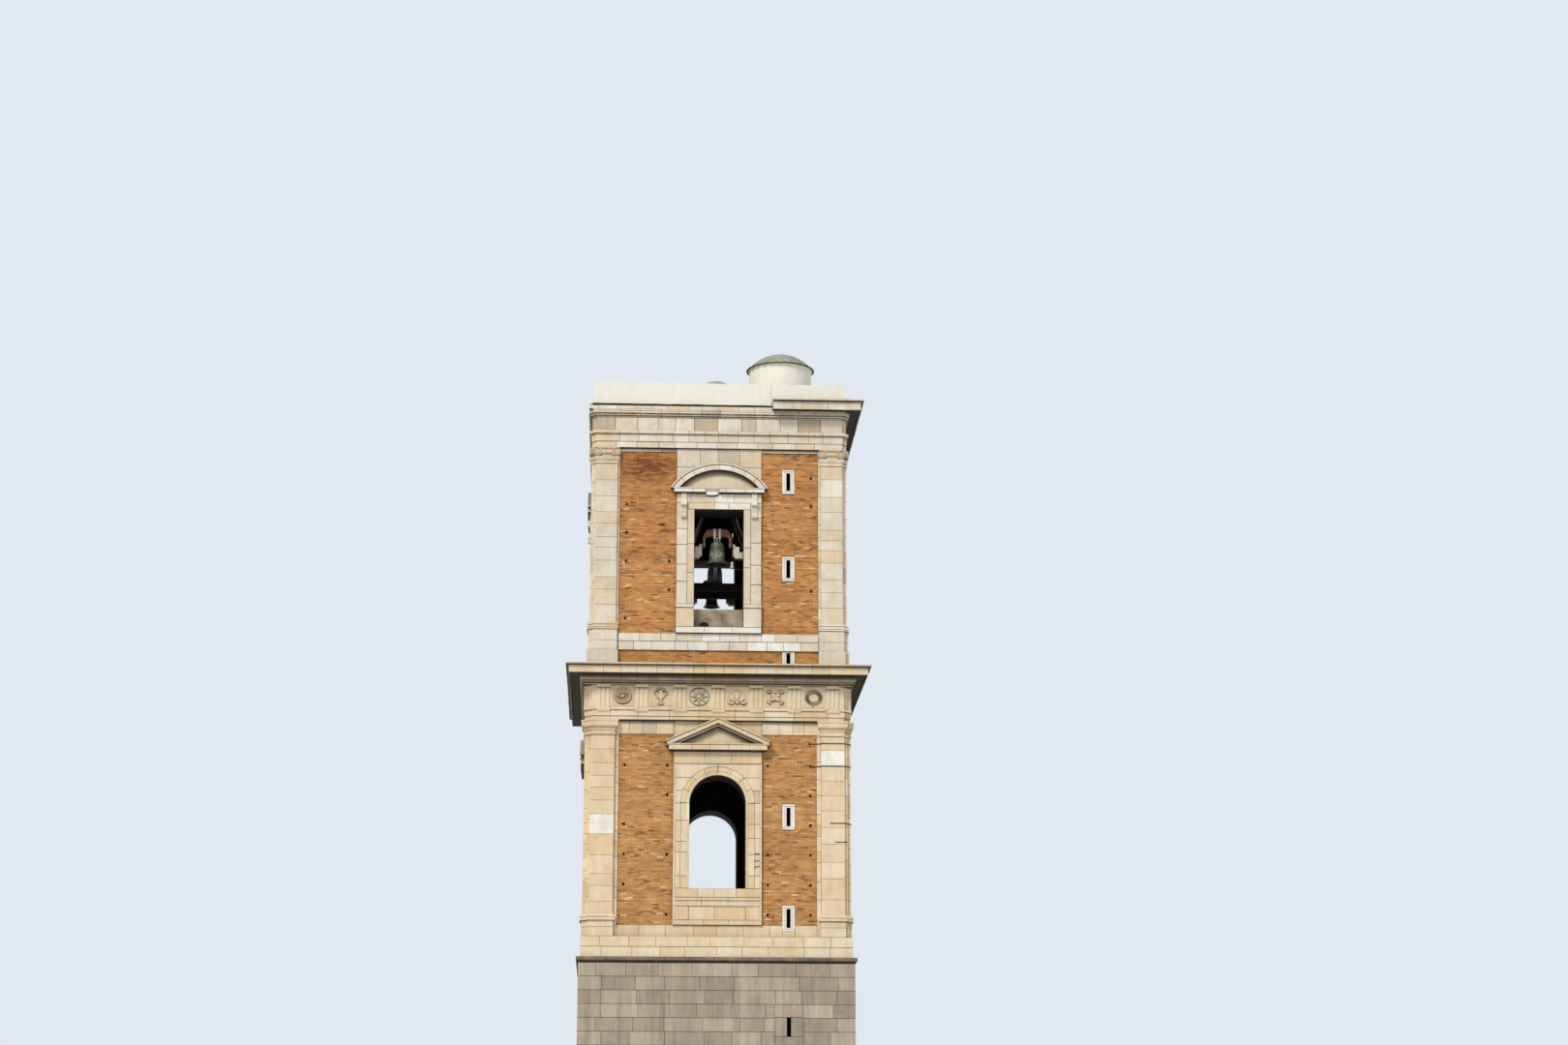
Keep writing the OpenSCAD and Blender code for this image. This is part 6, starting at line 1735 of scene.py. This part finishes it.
def ragged(path, count, heights, depths):
    """A strip along the broken top as one closed tube, whose height and reach wander between sections.
    Its heights and depths are a low one, a high one and how far the high one wanders."""
    s = np.linspace(0, path["at"][-1], count)
    points, run = on_path(path, s)
    wave = np.interp(s, np.linspace(0, s[-1], count // 3), chance.uniform(0, 1, count // 3))
    rings = []
    for far, high in ((0, 0), (1, 0), (1, 1), (0, 1)):
        height = heights[0] + high * (heights[1] - heights[0] + wave * heights[2])
        reach = depths[far] + far * wave * depths[2]
        outward = path["normal"][run] * np.broadcast_to(reach, count)[:, None]
        rings.append(np.column_stack([points + outward, STUMP_TOP + height]))
    return grid_tube(np.stack(rings, 1))


STUMP_TOP = ROOF_Z + STUMP_H - 0.004
for name, counts, heights, depths, material, slot in (
        ("cornice_fillet", (60, 50), (0, 0.03, 0.014), (ATTIC - half - 0.001, 0.012, 0.01), clean_render,
         "render"),
        ("felt_strip", (70, 60), (0, 0.034, 0.01), (0.0, BED_OUT - 0.018, 0.008), black_iron,
         "dark_stone")):
    strips = [ragged(path, count, heights, depths) for path, count in zip((left_break,
            front_break), counts)]
    piece(name, strips, material)

# %% [markdown]
# ## Roof
# The attic, the lantern and the stair turret are brick under lime render, trowelled by hand, so their
# faces are not quite flat. The turret's low dome is rendered too and its eaves are a ring of clay tiles.


# %% Rendered walls
TROWEL = 0.12


def wavy_wall(x0, x1, z0, z1, face, back):
    """A rendered wall on the front as a closed slab: columns of points go up the face, over the top and
    down the back, and the face and the top edge wander by a few millimetres."""
    count, rows = (max(3, round(length / TROWEL)) for length in (x1 - x0, z1 - z0))
    x = np.linspace(x0, x1, count)
    z = np.linspace(z0, z1, rows)
    swell = chance.normal(0, 0.0022, (count, rows))
    swell[[0, -1]] = 0
    top = -np.abs(chance.normal(0, 0.003, count))
    front = np.stack([np.broadcast_to(x[:, None], swell.shape), -face + np.abs(swell),
                      np.broadcast_to(z, swell.shape) + top[:, None] * (z == z1)], -1)
    behind = np.stack([np.column_stack([x, x]), np.full((count, 2), -back),
                       np.column_stack([z1 + top, np.full(count, z0)])], -1)
    return grid_tube(np.concatenate([front, behind], 1), chance.random())


def attic_side(side):
    top = head("attic_wall")
    inside = ATTIC - 0.19
    if side == 0:
        return [wavy_wall(-ATTIC, 1.128, ROOF_Z, top, ATTIC, inside),
                wavy_wall(1.134, ATTIC, ROOF_Z, top, ATTIC - 0.004, inside)]
    return [wavy_wall(-ATTIC, ATTIC, ROOF_Z, top, ATTIC - 0.0005 * side, inside)]


piece("attic_render", on_sides(attic_side), clean_render, replaces=("attic_wall",))


def half_width(node):
    """Half of a node's length along X."""
    low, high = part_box(node)
    return (high.x - low.x) / 2


TURRET_X, TURRET_Y = 1.4, -1.5
EAVES_Z = head("stair_turret")
EAVES_R = half_width("turret_dome")
DOME_TOP = head("turret_dome")
WALL_R = half_width("stair_turret")


def spun(profile, cx, cy, count):
    """A closed ring turned about an upright axis: profile points (r, z) go once round its section, and
    the last ring of points is joined to the first."""
    profile = np.asarray(profile, float)
    angle = np.linspace(0, 2 * math.pi, count, endpoint=False)
    radius = np.broadcast_to(profile[None, :, 0], (count, len(profile)))
    v = np.stack([cx + radius * np.cos(angle)[:, None], cy + radius * np.sin(angle)[:, None],
                  np.broadcast_to(profile[:, 1], radius.shape)], -1)
    n = len(profile)
    index = np.arange(count * n).reshape(count, n)
    b = np.roll(index, -1, 0)
    quads = np.stack([index, b, np.roll(b, -1, 1), np.roll(index, -1, 1)], -1).reshape(-1, 4)
    return [v.reshape(-1, 3), [quads], np.full(count * n, 0.5), np.zeros(count * n)]


def cap(radius, foot_z, rise, count):
    """Profile of a low dome from its rim to a hair's breadth from its axis."""
    ball = (radius**2 + rise**2) / (2 * rise)
    limit = math.asin(min(1.0, radius / ball))
    angle = np.linspace(limit, 0.002, count)
    return [[ball * math.sin(a), foot_z + rise - ball + ball * math.cos(a)] for a in angle]


dome_foot = EAVES_Z + 0.034
TILES = 25
dome = [spun(cap(WALL_R + 0.03, dome_foot, DOME_TOP - dome_foot, 14) + [[0.002, dome_foot - 0.03], [WALL_R,
        dome_foot - 0.03]],
             TURRET_X, TURRET_Y, 64)]
piece("turret_dome_render", dome, dome_render, smooth=40, replaces=("turret_dome",))


def eaves_tiles():
    """Half-round tiles laid radially round the rim: each is an arched strip that thins a little towards
    the dome, closed by its own lower side."""
    parts = []
    turn = np.linspace(0, math.pi, 9)
    up = np.array([0, 0, 1.0])
    wide = math.pi * EAVES_R / TILES * 0.98
    for k in range(TILES):
        a = 2 * math.pi * k / TILES
        along = np.array([math.cos(a), math.sin(a), 0.0])
        across = np.array([-math.sin(a), math.cos(a), 0.0])
        rings = [[along * r + across * (w - inset) * math.cos(t) + up * (EAVES_Z - 0.002 + lift + rise * math.sin(t))
                  for inset, rise, way in ((0, 0.036, 1), (0.012, 0.024, -1)) for t in turn[::way]]
                 for r, lift, w in ((EAVES_R - 0.002, 0.0, wide), (WALL_R - 0.06, 0.035, wide * 0.9))]
        part = grid_tube(np.array(rings), chance.random())
        part[0] = part[0] + np.array([TURRET_X, TURRET_Y, 0.0])
        parts.append(part)
    return parts


piece("eaves_tiles", eaves_tiles(), tile_clay)
eaves_bed = [[WALL_R - 0.05, EAVES_Z - 0.004], [EAVES_R - 0.035, EAVES_Z + 0.001],
             [EAVES_R - 0.035, EAVES_Z + 0.012],
             [WALL_R - 0.05, EAVES_Z + 0.045]]
piece("eaves_bed", [spun(eaves_bed, TURRET_X, TURRET_Y, 64)], clean_render)


# %% Finishes of the carried nodes
def dress(node, material):
    """Gives a node of the frame a finish of this notebook."""
    for slot in bpy.data.objects[node].material_slots:
        slot.material = material


for node, chosen in (("stair_turret", turret_render), ("roof_lantern", dome_render),
                     ("window_parapets", stained_render), ("floor_slabs", slab_stone),
                     ("lower_front_back_walls", core_painted_shade), ("lower_side_walls", core_painted_shade),
                     ("belfry_front_back_walls", core_painted_shade), ("belfry_side_walls", core_painted_shade),
                     ("door_surround", carved_marble), ("bell_corbels", corbel_marble)):
    dress(node, chosen)
print("dressed nodes")

# %% [markdown]
# ## Slit frames
# Each slit of the stair has a small marble frame of four stones let into the brick, with a rebate round
# the hole. Four stones a frame, mitred nowhere: the sill and the lintel run the full width, as masons lay
# them, and the jambs stand between.


# %% Slit frames
def slit_frame(z, hole, height, plan):
    """Sill, lintel and jambs of a frame with its middle at z, and the thinner stones of its rebate."""
    face, back = plan["brick"] + 0.014, plan["core"]
    x0, x1 = SLIT_X - FRAME_HALF, SLIT_X + FRAME_HALF
    a, b = SLIT_X - SLIT_HALF - 0.035, SLIT_X + SLIT_HALF + 0.035
    low, high = z - height / 2, z + height / 2
    sill, lintel = max(z - hole / 2 - 0.03, low + 0.01), min(z + hole / 2 + 0.03, high - 0.01)
    tones = chance.uniform(0.0, 0.09, 6)
    rows = [(x0, x1, low, sill), (x0, x1, lintel, high), (x0, a, sill, lintel), (b, x1, sill, lintel)]
    parts = [face_block(rectangle(*row), face, back, 0.004, tone) for row, tone in zip(rows, tones)]
    inside = [(a, SLIT_X - SLIT_HALF, sill, lintel), (SLIT_X + SLIT_HALF, b, sill, lintel),
              (SLIT_X - SLIT_HALF, SLIT_X + SLIT_HALF, sill, z - hole / 2),
              (SLIT_X - SLIT_HALF, SLIT_X + SLIT_HALF, z + hole / 2, lintel)]
    return parts + [face_block(rectangle(*row), face - 0.007, back, 0.002, tones[4]) for row in inside]


frames = [part for z in LOWER_SLITS for part in slit_frame(z, 0.4, FRAME_HEIGHT, LOWER)]
frames += [part for z in BELFRY_SLITS for part in slit_frame(z, 0.4, FRAME_HEIGHT, BELFRY)]
frames += slit_frame(BAND_SLIT, 0.28, BAND_SLIT_H, BELFRY)
piece("slit_frame_stones", frames, upper_marble, replaces=("slit_frames",))

# %% [markdown]
# ## Bells
# A bell is a shape of revolution, cast in a loam mould swept with a board, so its mouldings are rings: a
# heavy sound bow at the lip, wires above it, a band at the waist and more under the shoulder. The board's
# profile is a curve a little fuller at the waist than the solid bell's, with narrow swells at the heights
# of the wires. The bronze has gone green-grey, and paler where the raised band sheds the rain.

# %% Bronze, yoke and steel finishes
bell_bronze, tree, shader, coordinates = finish("bell_bronze", 0.55, 0.35, 0.4)
where = coordinates["Object"]
patina = ramp(tree, noise(tree, where, 9.0, 7.0, 0.7),
              [(0.32, (0.055, 0.065, 0.050)), (0.5, (0.115, 0.125, 0.095)),
                                                        (0.68, (0.20, 0.205, 0.15))])
raised = attribute(tree, "tone")
spots = ramp(tree, noise(tree, where, 12.0, 5.0, 0.7), [(0.43, 0.0), (0.56, 1.0)])
patina = blend(tree, times(tree, raised, spots), patina, (0.50, 0.52, 0.27))
runs = noise(tree, stretched(tree, where, (24.0, 24.0, 2.0)), 1.0, 6.0, 0.7)
patina = tint(tree, patina, ramp(tree, runs, [(0.35, 0.35), (0.62, 1.15)]), 0.6)
# The inside of each bell is painted near black as shade
inside_shade = attribute(tree, "dirt_and_shade")
patina = blend(tree, inside_shade, patina, (0.018, 0.017, 0.014))
tree.links.new(patina, shader.inputs["Base Color"])
bump(tree, shader, noise(tree, where, 60.0, 6.0, 0.7), 0.3, 0.002)

red_yoke = plain_finish("red_yoke", [(0.055, 0.028, 0.017), (0.15, 0.066, 0.038), (0.26, 0.135, 0.08)],
                        14.0, 0.9,
                        relief=0.5, streak=0.5, grain=70.0)
pale_steel = plain_finish("pale_steel", [(0.42, 0.33, 0.27), (0.66, 0.60, 0.54)], 12.0, 0.6, 0.3,
                          grain=60.0)
canon_metal = plain_finish("canon_metal", [(0.30, 0.29, 0.26), (0.55, 0.54, 0.50)], 16.0, 0.5, 0.5)
clapper_iron = plain_finish("clapper_iron", [(0.03, 0.022, 0.018), (0.09, 0.055, 0.035)], 20.0, 0.75, 0.5)

# The trestle's colour is painted light and shade: near white high up at the front, where light from the opening
# falls, and near black lower down and further back
trestle_lit_and_shaded, tree, shader, coordinates = finish("trestle_lit_and_shaded", 0.6, 0.2)
where = coordinates["Object"]
place = put(tree, "SeparateXYZ", {0: where}).outputs
high = put(tree, "MapRange", {"Value": place["Z"], "From Min": 16.6, "From Max": 16.9}).outputs[0]
lit_front = put(tree, "MapRange", {"Value": place["Y"], "From Min": 0.1, "From Max": -0.1,
                               "To Min": 0.25}).outputs[0]
flake = noise(tree, where, 11.0, 6.0, 0.7)
lit_and_shaded_colour = blend(tree, times(tree, high, lit_front),
              ramp(tree, flake, [(0.35, (0.02, 0.018, 0.016)), (0.7, (0.06, 0.045, 0.035))]),
              ramp(tree, flake, [(0.3, (0.85, 0.85, 0.83)), (0.6, (0.96, 0.96, 0.94))]))
tree.links.new(lit_and_shaded_colour, shader.inputs["Base Color"])
bump(tree, shader, flake, 0.3, 0.002)
print("bell finishes ready")

# %% Bell bodies
BELL_R, BELL_H, BELL_DROP, PIVOT_Z = 0.25, 0.495, 0.42, BELFRY_Z + 2.775
YOKE_UNDER, YOKE_TOP, YOKE_HALF, YOKE_THICK = 0.21, 0.37, 0.315, 0.12


def swept(t):
    """Outer radius of a bell as a share of its lip's, at a share t of its height: two falling powers of
    e over a constant make the flare, and an eighth power draws in the shoulder."""
    return 0.64 + 0.24 * np.exp(-5.5 * t) + 0.12 * np.exp(-16 * t) - 0.09 * t**8


def bell_body(cx, cy, share):
    """A hollow bell turned about its axis, with its wires and two plain raised bands."""
    r, h = BELL_R * share, BELL_H * share
    lip = PIVOT_Z - BELL_DROP * share
    t = np.linspace(0, 1, 150)
    wires = sum(a * np.exp(-((t - c) / w) ** 2) for c, w, a in
                ((0.045, 0.008, 0.0035), (0.135, 0.007, 0.0035), (0.158, 0.006, 0.003),
                 (0.40, 0.007, 0.003),
                 (0.425, 0.006, 0.003), (0.70, 0.006, 0.003), (0.725, 0.006, 0.0025), (0.90, 0.008, 0.003)))
    bands = 0.0012 * (np.abs(t - 0.56) < 0.075) + 0.001 * (np.abs(t - 0.81) < 0.05)
    outer = np.column_stack([r * (swept(t) - 0.012) + (wires + bands) * share, lip + h * 0.94 * t])
    shoulder = [[r * 0.51, lip + h * 0.958], [r * 0.44, lip + h * 0.982], [r * 0.34, lip + h],
                [0.002, lip + h]]
    u = np.linspace(0.9, 0, 26)
    wall = 0.075 * r * (1 + 0.9 * np.exp(-14 * u))
    inside = np.column_stack([r * (swept(u / 0.94) - 0.012) - wall, lip + h * u])
    profile = np.vstack([outer, shoulder, [[0.002, lip + h * 0.9]], inside])
    body = spun(profile, cx, cy, 72)
    band = np.concatenate([np.exp(-((t - 0.46) / 0.13) ** 2), np.zeros(len(profile) - len(t))])
    # The inside of the bell is marked to be painted near black as shade
    dark = np.concatenate([np.zeros(len(t) + 4), np.ones(len(profile) - len(t) - 4)])
    body[2], body[3] = np.tile(band * 0.9, 72), np.tile(dark * 0.85, 72)
    return [body]


def bell_crown(cx, cy, share):
    """Six loops round a post: each rises from the shoulder, bends inwards and meets the post."""
    lip, h = PIVOT_Z - BELL_DROP * share, BELL_H * share
    foot = lip + h - 0.006
    parts = [spun([[0.024 * share, foot], [0.024 * share, foot + 0.10 * share],
                   [0.018 * share, foot + 0.136 * share],
                   [0.002, foot + 0.138 * share], [0.002, foot]], cx, cy, 16)]
    s = np.linspace(0, 1, 13)
    reach = (0.062 + 0.006 * np.sin(math.pi * s) - 0.046 * s**3) * share
    rise = foot + 0.112 * share * np.sin(math.pi / 2 * s) ** 0.9
    for k in range(6):
        a = math.pi * (k / 3 + 1 / 6)
        line = np.column_stack([cx + reach * math.cos(a), cy + reach * math.sin(a), rise])
        parts.append(tube(line, 0.0115 * share, sides=10))
    return parts


BELLS = (("front", -0.025, -2.3, 1.0, 0), ("middle", 0.0, 0.0, 1.05, 1), ("rear", 0.0, 2.3, 0.8, 0))
for name, cx, cy, share, turn in BELLS:
    piece(f"{name}_bell_casting", bell_body(cx, cy, share), bell_bronze, f"{name}_bell_body",
          (f"{name}_bell",),
          smooth=40)
    piece(f"{name}_bell_canons", bell_crown(cx, cy, share), canon_metal, f"{name}_bell_body",
          smooth=40)
    dress(f"{name}_clapper", clapper_iron)

# %% [markdown]
# The yokes are cranked, which brings the pivots down beside the shoulders of the bell and makes the swing
# light. Flat straps bent over each yoke hold the crown loops up to it, with threaded ends and square nuts.


# %% Yoke fittings
def strap(x, y, z, width, low, high, depth):
    """A flat bar bent over the yoke: up the front, over the top and down the back, swept as one tube."""
    t, half = 0.007, depth / 2
    outer = [[-half - t, low], [-half - t, high + t * 0.4], [-half - t * 0.4, high + t],
             [half + t * 0.4, high + t],
             [half + t, high + t * 0.4], [half + t, low]]
    inner_line = [[half + 0.0005, low], [half + 0.0005, high + 0.0005], [-half - 0.0005, high + 0.0005],
                  [-half - 0.0005, low]]
    low_x, high_x = x - width / 2, x + width / 2
    origins = [[place, y, z] for place in (low_x, low_x + 0.002, high_x - 0.002, high_x)]
    return prism(outer + inner_line, origins, Y_AXIS, Z_AXIS, [-0.0015, 0, 0, -0.0015], 0.0, 0.4)


def nut(x, y, z, size, face):
    """A square nut with chamfered corners on a plate at y, on its front (face -1) or back (face 1)."""
    c = size * 0.16
    outline = [[-size + c, -size], [size - c, -size], [size, -size + c], [size, size - c], [size - c, size],
               [-size + c, size], [-size, size - c], [-size, -size + c]]
    origins = [[x, y + face * 0.010 * share, z] for share in (0, 0.75, 1)]
    return prism(outline, origins, X_AXIS, Z_AXIS, [0, 0, -0.002], 0.0, 0.3)


def fittings(share):
    """Straps and nuts of one yoke, for a bell at the origin that swings about X."""
    depth = YOKE_THICK * share
    top, under = YOKE_TOP * share, YOKE_UNDER * share
    parts = []
    for side in (-1, 1):
        x = side * 0.054 * share
        parts.append(strap(x, 0, 0, 0.046 * share, under - 0.055 * share, top, depth))
        for level_z in (under + 0.02 * share, top - 0.03 * share):
            parts += [nut(x, face * (depth / 2 + 0.0065), level_z, 0.012 * share, face) for face in (-1, 1)]
        leg = side * (YOKE_HALF - 0.029) * share
        for level_z in (0.02 * share, 0.13 * share):
            parts.append(nut(leg, -depth / 2, level_z, 0.010 * share, -1))
    return parts


for name, cx, cy, share, turn in BELLS:
    made = [turned(part, turn) for part in fittings(share)]
    for part in made:
        part[0] = part[0] + np.array([cx, cy, PIVOT_Z])
    piece(f"{name}_yoke_straps", made, pale_steel, f"{name}_bell_body")
    dress(f"{name}_yoke", red_yoke)
dress("bell_trestle", trestle_lit_and_shaded)

# %% [markdown]
# ## Striking hammer
# Beside the front bell hangs a small hammer for striking the hours: a pale cast head at the foot of a
# thin rod, held by an eye on the corbel and by an arm from the jamb. It stands clear of the swinging bell.

# %% Hammer
HAMMER_X, HAMMER_Y = 0.312, -2.412
rod = tube([[HAMMER_X, HAMMER_Y, z] for z in np.linspace(16.55, 17.17, 8)], 0.0065, sides=10)
arm_line = [[HAMMER_X - 0.004, HAMMER_Y, 16.47], [0.36, HAMMER_Y, 16.452], [0.44, HAMMER_Y, 16.44],
            [0.52, HAMMER_Y, 16.437],
            [WINDOW_HALF + 0.01, HAMMER_Y, 16.437]]
arm = tube(arm_line, 0.009, sides=10)
eye = tube([[HAMMER_X + 0.014 * math.cos(a), HAMMER_Y + 0.014 * math.sin(a),
             16.93] for a in np.linspace(0.2, 6.4, 15)],
           0.0035, sides=6)
hook = tube([[HAMMER_X + 0.014, HAMMER_Y + 0.002, 16.93], [0.335, -2.405, 16.93], [0.35, -2.393, 16.93]],
            0.0035, sides=6)
piece("hammer_rods", [rod, arm, eye, hook], clapper_iron, "tower", smooth=50)
head_profile = [[0.012, 16.455], [0.036, 16.458], [0.043, 16.468], [0.043, 16.51], [0.036, 16.52],
                [0.033, 16.535],
                [0.036, 16.55], [0.036, 16.588], [0.030, 16.60], [0.014, 16.612], [0.0075, 16.62],
                [0.0075, 16.455]]
knob = [[0.0065, 17.165], [0.013, 17.172], [0.016, 17.19], [0.016, 17.235], [0.012, 17.255], [0.003, 17.26],
        [0.003, 17.165]]
piece("hammer_head", [spun(head_profile, HAMMER_X - 0.010, HAMMER_Y, 24),
                      spun(knob, HAMMER_X, HAMMER_Y, 16)],
      pale_steel, "tower", smooth=35)

# %% [markdown]
# ## Ironwork on the walls
# Flat straps of wrought iron were bent round the right corner when it began to open, and short cramps
# were driven beside them. They follow the folds of the wall, so each is one course swept along a walk.


# %% Straps, cramps and staples
def iron_band(points, z, height=0.022, thick=0.009):
    """A flat bar on edge along a broken line in plan, with its ends drawn in."""
    path = walk(points)
    profile = [[-0.003, 0, 0], [thick, 0.002, 0], [thick, height - 0.002, 0], [-0.003, height, 0]]
    return course(path, [(0, path["at"][-1])], profile, level(z), joint=0.002)


def round_corner(start, stop):
    """Plan of a strap from x = start on the front brick round the right corner to y = stop."""
    b, m, f, e = LOWER["brick"], LOWER["margin"], LOWER["face"], LOWER["edge"]
    p = e - LOWER["pilaster"]
    return [[start, -b], [inner - 0.012, -b], [inner - 0.004, -m], [p - 0.012, -m], [p - 0.004, -f],
            [e, -f], [f, -e],
            [f, stop]]


def on_plane(x0, x1, y):
    return [[x0, -y], [x1, -y]]


bars = [(round_corner(x, -2.24), z) for x, z in ((1.97, 12.52), (2.04, 12.03))]
bars += [([[2.40, -2.85], [2.71, -2.85], [2.85, -2.71], [2.85, -2.6]], 10.80),
         ([[2.50, -2.85], [2.71, -2.85], [2.76, -2.80]], 10.40, 0.018)]
bars += [(on_plane(x0, x1, FRAME_Y), z, 0.013)
         for x0, x1, z in ((0.80, 0.90, 10.145), (0.79, 0.925, 9.995), (0.795, 0.90, 9.87))]
bars += [(on_plane(x, x + 0.012, FRAME_Y), z, 0.028) for x, z in ((0.80, 10.12), (0.79, 9.97),
        (0.795, 9.845))]
bars += [(on_plane(x - 0.02, x + 0.004, LOWER["brick"]), z - 0.02, 0.06, 0.012)
        for x, z in ((1.97, 12.52), (2.04, 12.03))]
piece("wall_irons", [part for bar in bars for part in iron_band(*bar)], black_iron, "tower")

# %% Parapet outlet
outlet_x, outlet_z, outlet_y = -0.305, W_SILL + 0.066, -(b_core - 0.06)
arch_points = [[outlet_x + 0.10 * math.cos(a), outlet_z + 0.095 * math.sin(a)]
        for a in np.linspace(0, math.pi,
                                                                                                    13)]
hood = [[outlet_x + 0.078 * math.cos(a), outlet_z + 0.07 * math.sin(a)]
        for a in np.linspace(math.pi, 0, 13)]
rim = prism(arch_points + hood, [[0, outlet_y + 0.004, 0], [0, outlet_y - 0.018, 0],
                                 [0, outlet_y - 0.022, 0]],
            X_AXIS, Z_AXIS, [0, 0, -0.003], 0.0, 0.5)
bar_x, bar_top = outlet_x + 0.03 * np.arange(-2, 3), outlet_z + 0.08 - 0.012 * np.abs(np.arange(-2, 3))
grate = boxes([[x - 0.004, outlet_y - 0.012, outlet_z] for x in bar_x],
              [[x + 0.004, outlet_y + 0.004, top] for x, top in zip(bar_x, bar_top)], 0.5)
plate = prism(hood[::-1], [[0, outlet_y + 0.004, 0], [0, outlet_y - 0.002, 0]], X_AXIS, Z_AXIS, 0.0, 0.0,
              0.2)
piece("parapet_outlet", [rim, grate, plate], black_iron, "tower")

# %% [markdown]
# ## Floor
# A pale studio floor takes the tower's shadow, and is no part of the object.

# %% Floor
floor_mesh = bpy.data.meshes.new("studio_floor")
floor_mesh.from_pydata([(-90, -90, 0), (90, -90, 0), (90, 90, 0), (-90, 90, 0)], [], [(0, 1, 2, 3)])
floor = bpy.data.objects.new("studio_floor", floor_mesh)
scene.collection.objects.link(floor)
floor_finish, tree, shader, coordinates = finish("studio_floor", 0.9, 0.0, 0.2)
cloudy = noise(tree, coordinates["Object"], 0.15, 3.0)
tree.links.new(ramp(tree, cloudy, [(0.3, (0.62, 0.61, 0.58)), (0.7, (0.67, 0.66, 0.63))]),
               shader.inputs["Base Color"])
floor_mesh.materials.append(floor_finish)
print("floor laid")
